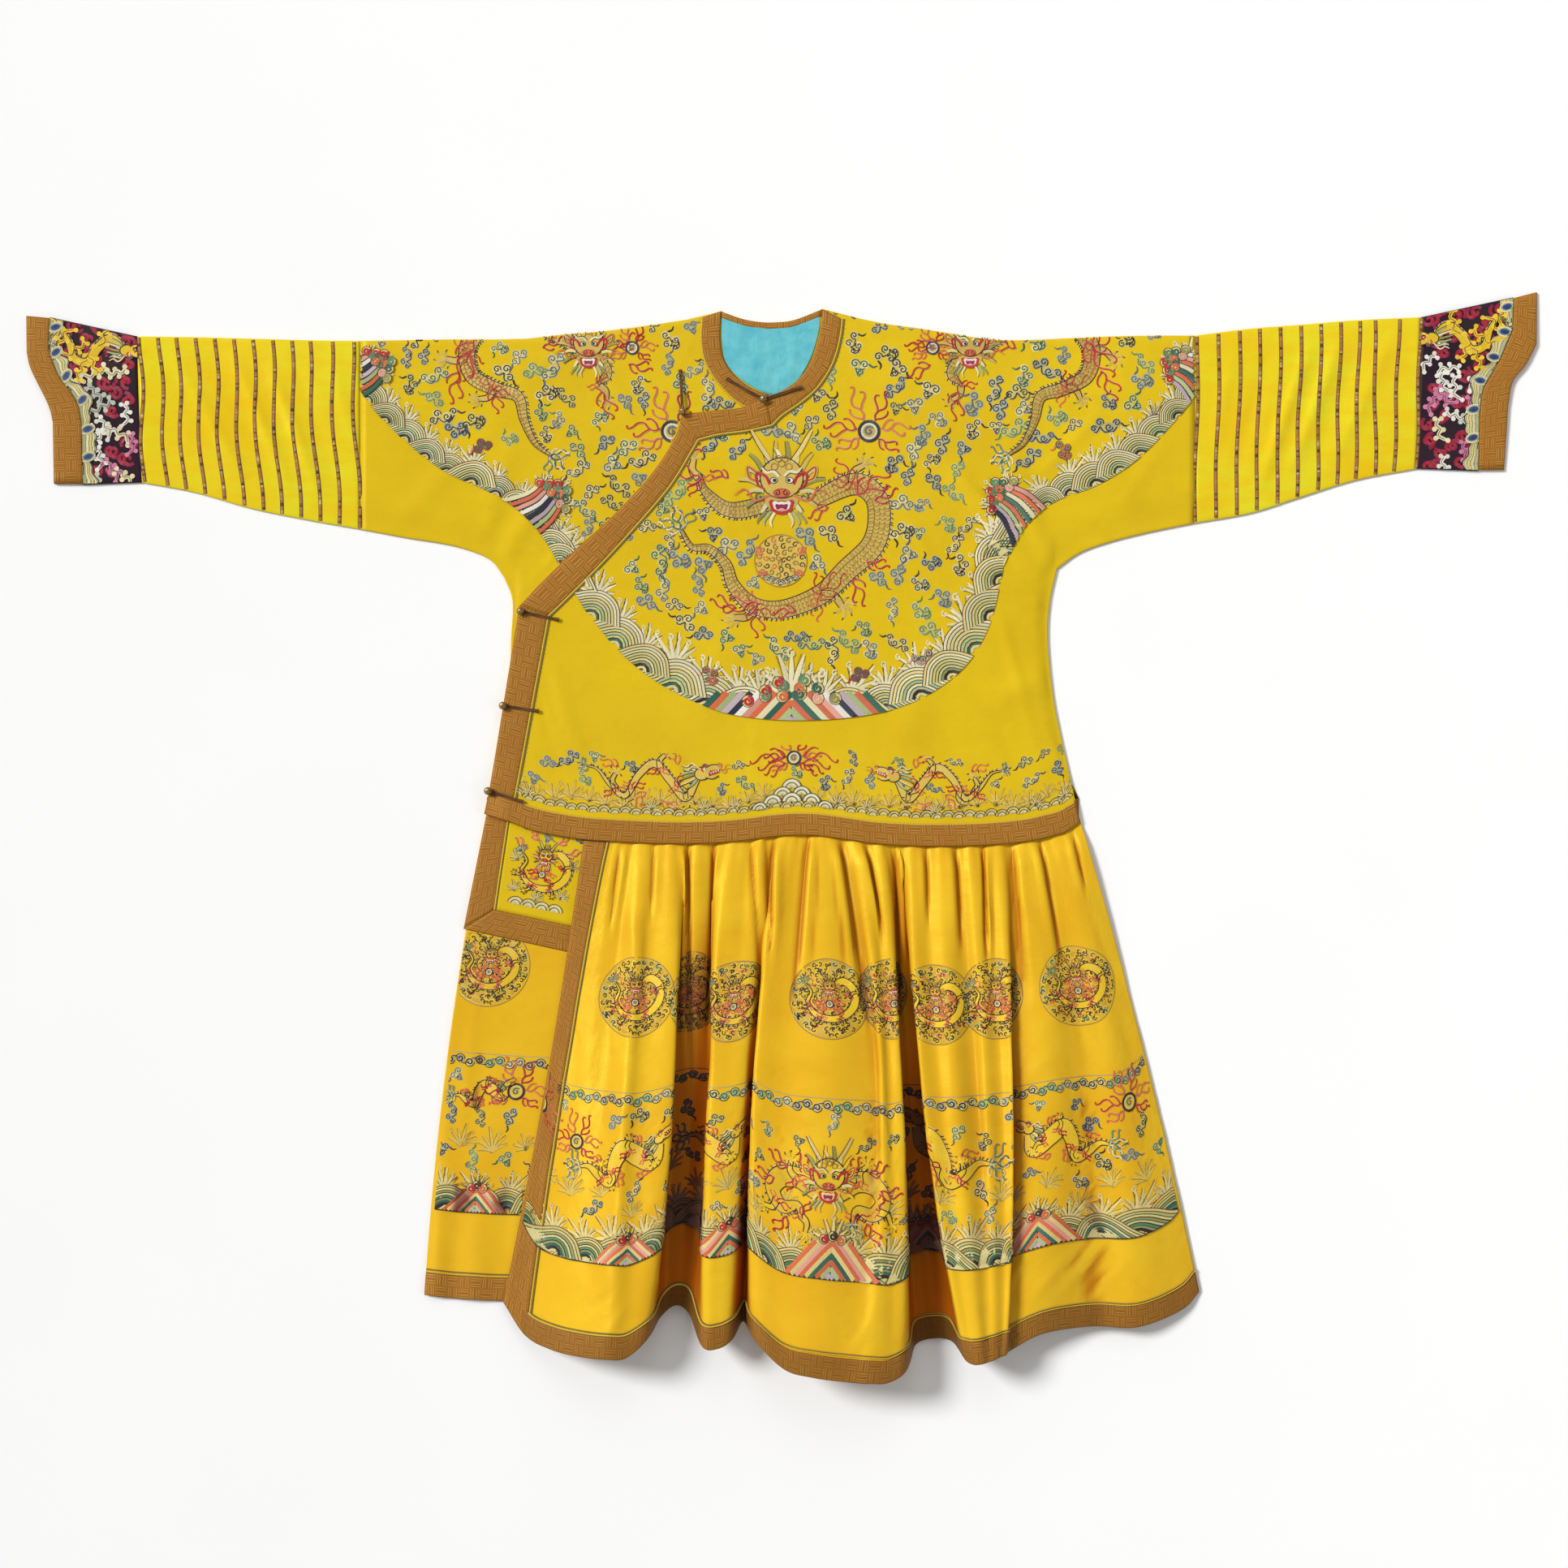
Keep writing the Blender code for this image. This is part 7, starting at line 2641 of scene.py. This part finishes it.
def cord_tree():
    """A two-ply cord: a flattened section that turns as it goes along each line."""
    grow = Grower("two_ply_cord", Radius="Float", Step="Float", Twist="Float", Material="Material")
    even, place = grow.even_lines("Step"), grow.node("GeometryNodeSplineParameter")
    kept = grow.kept(even, place["Length"], "run")
    turn = grow.product(place["Length"], grow.value("Twist"))
    tilted = grow.node("GeometryNodeSetCurveTilt", Curve=kept[0], Tilt=turn)
    settings, radius = {"mode": "RADIUS"}, grow.value("Radius")
    ring = grow.node("GeometryNodeCurvePrimitiveCircle", settings, Resolution=6, Radius=radius)
    oval = grow.node("GeometryNodeTransform", Geometry=ring[0], Scale=(1.0, 0.62, 1.0))
    girth = grow.node("GeometryNodeSplineParameter")
    section = grow.kept(oval[0], girth["Factor"], "girth")
    swept = grow.node("GeometryNodeCurveToMesh", Curve=tilted[0], Profile_Curve=section[0], Fill_Caps=True)
    long_mm, wide_mm = grow.product(kept[1], 1000.0), grow.product(section[1], 6.0)
    flat = grow.node("ShaderNodeCombineXYZ", X=long_mm, Y=wide_mm)
    settings = {"data_type": "FLOAT2", "domain": "CORNER"}
    stored = grow.node(
        "GeometryNodeStoreNamedAttribute", settings, Geometry=swept[0], Name="cloth", _3=flat[0]
    )
    return grow.finish(grow.node("GeometryNodeSetShadeSmooth", Geometry=stored[0])[0])


def stitch_tree():
    """Running stitches: small rounded threads laid end to end along each line."""
    sockets = {"Length": "Float", "Gap": "Float", "Thickness": "Float", "Seed": "Int", "Material": "Material"}
    grow = Grower("running_stitch", **sockets)
    even = grow.even_lines("Gap")
    bead = grow.node("GeometryNodeMeshIcoSphere", Radius=1.0, Subdivisions=1)
    half, thick = grow.product(grow.value("Length"), 0.5), grow.value("Thickness")
    size = grow.node("ShaderNodeCombineXYZ", X=thick, Y=thick, Z=half)
    thread = grow.node("GeometryNodeTransform", Geometry=bead[0], Scale=size[0])
    way = grow.node("GeometryNodeInputTangent")
    turn = grow.node("FunctionNodeAlignEulerToVector", {"axis": "Z"}, Vector=way[0])
    settings, seed = {"data_type": "FLOAT"}, grow.value("Seed")
    uneven = grow.node("FunctionNodeRandomValue", settings, _2=0.8, _3=1.15, Seed=seed)
    placed_on = {"Points": even, "Instance": thread[0], "Rotation": turn[0], "Scale": uneven[1]}
    return grow.finish(grow.node("GeometryNodeInstanceOnPoints", **placed_on)[0])


def grown(name, lines, tree, material, **values):
    """The repeats that a tree grows along lines of points, made into a plain mesh."""
    points, edges, count = [], [], 0
    for line in lines:
        points.append(placed(line))
        edges += [(count + i, count + i + 1) for i in range(len(line) - 1)]
        count += len(line)
    mesh = bpy.data.meshes.new(name + "_lines")
    mesh.from_pydata(np.concatenate(points).tolist(), edges, [])
    guide = linked(name + "_guide", mesh)
    modifier = guide.modifiers.new("grow", "NODES")
    modifier.node_group = tree
    values["Material"] = material
    for item in tree.interface.items_tree:
        if item.in_out == "INPUT" and item.name in values:
            modifier[item.identifier] = values[item.name]
    made = bpy.data.meshes.new_from_object(guide.evaluated_get(bpy.context.evaluated_depsgraph_get()))
    bpy.data.objects.remove(guide)
    if not made.materials:
        made.materials.append(material)
    made.name = name
    return settle(linked(name, made))


# Piping, cord and stitches beside a binding: distance from its edge, and height above the cloth.
CORD_LINES = ((1.3, 0.7), (3.6, 0.6), (6.2, 0.1))


class ROBE_OT_cords(bpy.types.Operator):
    """Lays the bright piping and the two-ply cord beside every binding, and its running stitches"""

    bl_idname = "robe.cords"
    bl_label = "Piping and cord"

    def execute(self, context):
        sizes = context.scene.robe_sizes
        bright, dull, sewn = groups = ([], [], [])
        closure = SHAPES["outer"][NECK_RIB * RIB_SAMPLES :, EDGE_STEPS]
        outer, inner = (Plan([front]) for front in SHAPES["fronts"])
        for line in (closure, SHAPES["side_inner"], SHAPES["waist"]):
            line = smooth(line[:, :2], 4.0) if len(line) < 40 else resampled(line[:, :2], 3.0)
            self.along(groups, outer, line)
        line = SHAPES["inner"][INNER_NECK_RIB * RIB_SAMPLES :, EDGE_STEPS, :2]
        self.along(groups, inner, resampled(line, 3.0))
        for hand, line in zip((1.0, -1.0), SHAPES["flap_lines"]):
            self.along(groups, Plan([SHAPES["flap"]]), line[:, :2], hand, 0.4)
        self.skirts(groups)
        cord, pale, thin = cord_tree(), finish("yellow_piping"), sizes.cord / 2.0
        grown("piping_bright", bright, cord, pale, Radius=thin * 1.25, Step=0.0022, Twist=0.0)
        grown("piping_cord", dull, cord, finish("dull_cord"), Radius=thin, Step=0.0011, Twist=tau / 0.0045)
        stitches = {"Length": sizes.stitch, "Gap": sizes.gap, "Thickness": 0.00028, "Seed": 3}
        grown("running_stitches", sewn, stitch_tree(), pale, **stitches)
        return {"FINISHED"}

    def along(self, groups, plan, line, hand=1.0, wide=1.0):
        """One line of piping, cord and stitches to one side of a binding's edge."""
        for group, (offset, rise) in zip(groups, CORD_LINES):
            places, normals, good = plan.carry(beside(line, hand * offset * wide))
            if good.sum() > 3:
                group.append(places[good] + normals[good] * rise)

    def skirts(self, groups):
        """Piping and cord beside the skirt's side binding and above both hem bindings."""
        sheet, border = SHAPES["skirt"], float(SHAPES["skirt_border"])
        levels = np.linspace(0.02, 0.955, 160)
        across = np.arange(border, sheet.width - 0.99, 0.5)
        for group, offset in zip(groups, (0.5, 1.1)):
            group.append(sheet.line(levels, border + offset, 1.0))
            group.append(sheet.line(1.0 - (28.5 + offset * 4.2) / sheet.fall, across, 1.2))
        under = SHAPES["under_skirt"]
        across = np.arange(0.2, under.width - 1.2, 0.5)
        for group, gap in zip(groups, (31.5, 34.5)):
            group.append(under.line(1.0 - gap / under.fall, across, 0.8))


class ROBE_OT_yoke(bpy.types.Operator):
    """Embroiders the yoke, front and back: dragons, pearls, clouds, mountains and sea"""

    bl_idname = "robe.yoke"
    bl_label = "Yoke embroidery"

    def execute(self, context):
        bands = named("neck_binding", "closure_b", "side_b")
        for side, plan, clouds, seed, height in (
            ("front", Plan(SHAPES["fronts"], covers=bands), 31, 3, 1.0),
            ("back", Plan([SHAPES["back"]], below=True), 47, 5, PRESSED),
        ):
            art, field = fitted_yoke(clouds)
            for name, half in zip(("sea_and_dragons", "clouds"), art.halves()):
                sew(f"yoke_{side}_{name}", [(half, plan.carry)], seed, field, height)
        return {"FINISHED"}


class ROBE_OT_waist(bpy.types.Operator):
    """Embroiders the strip above the waist binding, front and back"""

    bl_idname = "robe.waist"
    bl_label = "Waist embroidery"

    def execute(self, context):
        waist = SHAPES["waist"]
        low_x, low_y = waist[np.argsort(waist[:, 0]), :2].T
        bands = [bpy.data.objects[name] for name in ("side_binding", "waist_binding")]
        plan = Plan(SHAPES["fronts"][:1], covers=bands)

        def front(spots):
            foot = np.interp(spots[:, 0], low_x, low_y)
            return plan.carry(np.column_stack([spots[:, 0], foot + 5.0 + spots[:, 1]]))

        art, behind = waist_strip(), Plan([SHAPES["back"]], below=True).moved(0.0, BACK_WAIST + 4.0)
        for side, carry, seed, left, height in (
            ("front", front, 7, -372, 1.0),
            ("back", behind, 8, -384, PRESSED),
        ):
            field = Fence([(left, 0), (384, 0), (384, 83), (left, 83)])
            sew(f"waist_embroidery_{side}", [(art, carry)], seed, field, height)
        return {"FINISHED"}


class ROBE_OT_small(bpy.types.Operator):
    """Embroiders the flap and the cuffs"""

    bl_idname = "robe.small"
    bl_label = "Flap and cuff embroidery"

    def execute(self, context):
        flap, foot = SHAPES["flap"], SHAPES["flap_lines"][1]
        spots = np.array([v.co[:2] for v in flap.data.vertices]) / MM + CENTRE[:2]
        middle = (spots.min(axis=0) + spots.max(axis=0)) / 2
        art = Embroidery()
        art.add(flap_drawing(), middle + (1.0, 2.0), np.arctan2(*(foot[-1] - foot[0])[1::-1]))
        plan = Plan([flap], covers=named("flap_binding", "waist_binding", "skirt_side"))
        sew("flap_embroidery", [(art, plan.carry)], 9)
        for side, hand in (("right", -1), ("left", 1)):
            front, back, rows = SHAPES[f"cuff_{side}"]
            art, wrist, mouth = Embroidery(), rows[:, 0:2], rows[:, 2:4]
            art.add(cuff_drawing(hand), wrist.mean(axis=0), flip=hand < 0)
            art.add(cuff_shore(mouth, hand), level=2)
            field = Fence(np.concatenate([wrist, mouth[::-1]]), 20.0)
            sew(f"cuff_embroidery_front_{side}", [(art, Plan([front]).carry)], 11, field)
            behind = Plan([back], below=True)
            sew(f"cuff_embroidery_back_{side}", [(art, behind.carry)], 12, field, PRESSED)
        return {"FINISHED"}


# Motifs of each skirt's band: kind, x, level, size, and True if it faces the other way.
FRONT_MOTIFS = (
    ("pearl", -333, 0.575, 11), ("pearl", -266, 0.60, 9), ("side", -258, 0.665, 150),
    ("side", -118, 0.66, 150), ("front", 59, 0.665, 118), ("side", 262, 0.655, 190, True),
    ("pearl", 450, 0.56, 11), ("side", 420, 0.655, 150, True), ("peak", 62, 0.8, 46),
    ("peak", -70, 0.8, 36), ("peak", 330, 0.8, 40), ("peak", -200, 0.8, 30), ("peak", 190, 0.8, 34),
)
UNDER_MOTIFS = (("pearl", -347, 0.57, 10), ("side", -425, 0.60, 90), ("peak", -400, 0.8, 30))
BACK_MOTIFS = (
    ("pearl", -300, 0.56, 10), ("side", -270, 0.66, 170), ("front", 0, 0.665, 118),
    ("side", 270, 0.66, 170, True), ("pearl", 300, 0.56, 10), ("peak", 0, 0.8, 46), ("peak", -230, 0.8, 40),
    ("peak", 230, 0.8, 40),
)

# Centres of the round badges: x and level.
BADGES = (
    (-190, 0.316), (-121, 0.334), (-63, 0.334), (61, 0.317), (144, 0.308), (199, 0.323), (278, 0.317),
    (383, 0.317),
)
BADGE_SIZE = 106.0

# The back skirt's drawing: its length along the hem, its fall, and where its waist and badges lie.
BACK_LENGTH = 960.0
BACK_FALL = 586.0
BACK_TOP_Y = 21.6
BADGE_LEVEL = 0.31


class ROBE_OT_skirt_embroidery(bpy.types.Operator):
    """Embroiders the skirts: round badges, and a band of dragons between a cloud border and the sea"""

    bl_idname = "robe.skirt_embroidery"
    bl_label = "Skirt embroidery"

    def execute(self, context):
        seed = context.scene.robe_sizes.badges
        covers = named("flap_", "skirt_side", "skirt_front_panel")
        self.embroider("skirt", FRONT_MOTIFS, BADGES, [], seed)
        self.embroider("under_skirt", UNDER_MOTIFS, ((-381, 0.32),), covers, seed)
        flat = Plan([SHAPES["back_skirt"]], below=True)

        def spot(x, level):
            return x + BACK_LENGTH / 2, 600.0 * (DRAWING_LEVEL - level)

        art = skirt_art(BACK_LENGTH, spot, BACK_MOTIFS)
        row = BACK_TOP_Y - BADGE_LEVEL * BACK_FALL
        pairs = [
            (roundel(BADGE_SIZE, seed + number % 3), flat.moved(x, row))
            for number, x in enumerate(range(-360, 361, 120))
        ]
        right = BACK_LENGTH - 12
        field = Fence([(12, -102), (right, -102), (right - 18, 104), (30, 104)])
        carry = flat.moved(-BACK_LENGTH / 2, BACK_TOP_Y - DRAWING_LEVEL * BACK_FALL)
        sew("back_skirt_band", [(art, carry)], 41, field, PRESSED)
        sew("back_skirt_badges", pairs, 43, None, PRESSED)
        return {"FINISHED"}

    def embroider(self, name, motifs, badges, covers, seed):
        """The band and the badges of one hanging cloth, where no other piece lies over them."""
        sheet = SHAPES[name]
        length = sheet.runs[sheet.number(DRAWING_LEVEL)][-1]
        carry = showing(sheet.place(0, DRAWING_LEVEL, 0.0, True), covers)
        art = skirt_art(length, sheet.spot, motifs)
        top, foot = (sheet.spot(0, level)[1] for level in BAND_EDGES)
        field = Fence([(5, foot), (length - 5, foot), (length - 5, top), (5, top)])
        for label, half in zip(("dragons", "clouds"), art.halves()):
            sew(f"{name}_band_{label}", [(half, carry)], 21, field)
        pairs = [
            (roundel(BADGE_SIZE, seed + number % 3), showing(sheet.place(x, level), covers))
            for number, (x, level) in enumerate(badges)
        ]
        sew(f"{name}_badges", pairs, 31)


# A ball's rows and columns of points, then the points along a strap, round its ring and round
# each turn of its knot, and how far the ring stands off the ball's middle.
BALL_ROWS = 33
BALL_COLUMNS = 40
STRAP_POINTS = 40
RING_POINTS = 22
KNOT_POINTS = 14
RING_REACH = 2.9


def on_cloth(spot, height):
    """A fastening's middle, this far above the seam on which it is sewn."""
    return np.array(spot, float) + (0.0, 0.0, SEAM) + (0.0, 0.0, height)


class ROBE_OT_fastenings(bpy.types.Operator):
    """Makes the five chased ball buttons and the rolled cloth loops"""

    bl_idname = "robe.fastenings"
    bl_label = "Buttons and loops"

    def execute(self, context):
        for number, row in enumerate(BUTTONS, 1):
            self.ball(f"button_ball_{number}", on_cloth(row[:3], BALL), f"button_{number}")
            self.strap(f"loop_strap_{number}", row[:3], row[3:], f"loop_{number}")
        self.strap("neck_tab", BUTTONS[0][:3], NECK_LOOP_END, "tab_1")
        return {"FINISHED"}

    def ball(self, name, centre, node):
        """A cast ball with a ribbed band round it."""
        polar = np.linspace(0.0, pi, BALL_ROWS)[:, None]
        around = np.linspace(0.0, tau, BALL_COLUMNS, endpoint=False)[None]
        lobes = 0.22 * np.sin(polar) ** 2 * np.cos(around * 8) * np.cos(polar * 5)
        size = BALL * (0.95 + 0.035 * np.cos(polar * 12)) + lobes - 0.1
        girth, height = size * np.sin(polar), size * np.cos(polar)
        ball = np.stack([girth * np.cos(around), height, girth * np.sin(around)], axis=-1)
        a = np.arange(BALL_ROWS * BALL_COLUMNS).reshape(BALL_ROWS, BALL_COLUMNS)
        b = np.roll(a, -1, axis=1)
        faces = np.stack([a[:-1], b[:-1], b[1:], a[1:]], axis=2).reshape(-1, 4)
        piece = mesh_object(name, placed(ball.reshape(-1, 3) + centre), faces, finish("old_brass"))
        cleaned(piece, 1e-6, outward=True)
        settle(piece, "old_brass", [node])

    def strap(self, name, start, end, node):
        """A rolled strap of brocade: it starts round the ball's foot and ends in a pointed knot."""
        start, end = on_cloth(start, LOOP), on_cloth(end, LOOP)
        length = np.linalg.norm((end - start)[:2])
        ahead = (end - start)[:2] / length
        side = np.array((-ahead[1], ahead[0]))
        share = np.linspace(0.0, 1.0, STRAP_POINTS)
        rise = start[2] + (end[2] - start[2]) * share
        lines = []
        for hand in (-1, 1):
            wander = hand * (0.95 + 2.2 * np.exp(-((share * length / 5.0) ** 2)))
            wander = wander * np.minimum(1.0, (1.0 - share) * 5 + 0.45)
            spots = start[:2] + ahead * (share * length)[:, None] + side * wander[:, None]
            lines.append(np.column_stack([spots, rise]))
        c, s = (wave(np.linspace(0, tau, RING_POINTS)) for wave in (np.cos, np.sin))
        ring = start[:2] + (c[:, None] * ahead + s[:, None] * side) * RING_REACH
        lines.append(np.column_stack([ring, np.full(RING_POINTS, rise[0] + 0.2)]))
        c, s = (wave(np.linspace(0, tau, KNOT_POINTS)) for wave in (np.cos, np.sin))
        for i in range(3):
            at = end[:2] - ahead * (i * 2.4)
            knot = at + side * c[:, None] * (2.1 - 0.3 * i) + ahead * s[:, None] * 0.5
            lines.append(np.column_stack([knot, end[2] + s * 0.9]))
        tree = bpy.data.node_groups["two_ply_cord"]
        sizes = {"Radius": 0.00125, "Step": 0.0009, "Twist": tau / 0.0038}
        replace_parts(grown(name, lines, tree, finish("loop_cord"), **sizes), node)


# The board's size and height, the strength of the light all round, and the camera's place and lens.
FLOOR_SIZE = 14.0
FLOOR_Z = -0.0006
SKY_STRENGTH = 0.33
CAMERA_PLACE = (0.0031, 0.0636, 4.0)
CAMERA_SENSOR = 36.0
CAMERA_LENS = 70.3

# Lamps: name, kind, place, size or angle, and power.
LAMPS = (
    ("key", "SUN", (-3.2, 1.8, 3.3), 0.30, 2.9),
    ("fill", "AREA", (3.0, -1.0, 3.0), 2.6, 18.0),
    ("top", "AREA", (0.0, 3.0, 3.4), 2.2, 20.0),
)


class ROBE_OT_stage(bpy.types.Operator):
    """Sets up the pale floor, the soft lights and the camera straight above the robe"""

    bl_idname = "robe.stage"
    bl_label = "Stage"

    def execute(self, context):
        scene = context.scene
        bpy.ops.mesh.primitive_plane_add(size=FLOOR_SIZE, location=(0.0, 0.0, FLOOR_Z))
        floor = context.object
        floor.name = floor.data.name = "floor"
        floor.data.transform(floor.matrix_world)
        floor.matrix_world.identity()
        floor.data.materials.append(finish("pale_floor"))
        for name, kind, place, size, power in LAMPS:
            lamp = bpy.data.lights.new(name, kind)
            lamp.energy = power
            setattr(lamp, "angle" if kind == "SUN" else "size", size)
            holder = linked(name, lamp)
            holder.location = place
            holder.rotation_euler = (-Vector(place)).to_track_quat("-Z", "Y").to_euler()
        world = bpy.data.worlds.new("studio")
        world.use_nodes = True
        light = world.node_tree.nodes["Background"].inputs
        light["Color"].default_value = (1.0, 1.0, 1.0, 1.0)
        light["Strength"].default_value = SKY_STRENGTH
        scene.world = world
        scene.view_settings.view_transform = "Standard"
        view = bpy.data.cameras.new("camera")
        view.sensor_width, view.lens = CAMERA_SENSOR, CAMERA_LENS
        view.clip_start, view.clip_end = 0.1, 30.0
        scene.camera = linked("camera", view)
        scene.camera.location = CAMERA_PLACE
        return {"FINISHED"}


OPERATORS = (
    ROBE_OT_stage,
    ROBE_OT_bodice,
    ROBE_OT_neck,
    ROBE_OT_bindings,
    ROBE_OT_sleeves,
    ROBE_OT_cuffs,
    ROBE_OT_skirt,
    ROBE_OT_flap,
    ROBE_OT_cords,
    ROBE_OT_fastenings,
    ROBE_OT_yoke,
    ROBE_OT_waist,
    ROBE_OT_small,
    ROBE_OT_skirt_embroidery,
)


class ROBE_PT_panel(bpy.types.Panel):
    """Lists the robe's colours, sizes and pieces"""

    bl_label = "Dragon robe"
    bl_idname = "ROBE_PT_panel"
    bl_space_type = "VIEW_3D"
    bl_region_type = "UI"
    bl_category = "Robe"

    def draw(self, context):
        for group in (context.scene.robe_silks, context.scene.robe_sizes):
            for name in group.__annotations__:
                self.layout.prop(group, name)
        for operator in OPERATORS:
            self.layout.operator(operator.bl_idname)


CLASSES = (RobeSilks, RobeSizes, *OPERATORS, ROBE_PT_panel)


def register():
    for each in CLASSES:
        bpy.utils.register_class(each)
    bpy.types.Scene.robe_silks = PointerProperty(type=RobeSilks)
    bpy.types.Scene.robe_sizes = PointerProperty(type=RobeSizes)


def unregister():
    del bpy.types.Scene.robe_silks, bpy.types.Scene.robe_sizes
    for each in reversed(CLASSES):
        bpy.utils.unregister_class(each)


def main():
    """Makes the whole robe."""
    register()
    for operator in OPERATORS:
        group, name = operator.bl_idname.split(".")
        getattr(getattr(bpy.ops, group), name)()


if __name__ == "__main__":
    main()
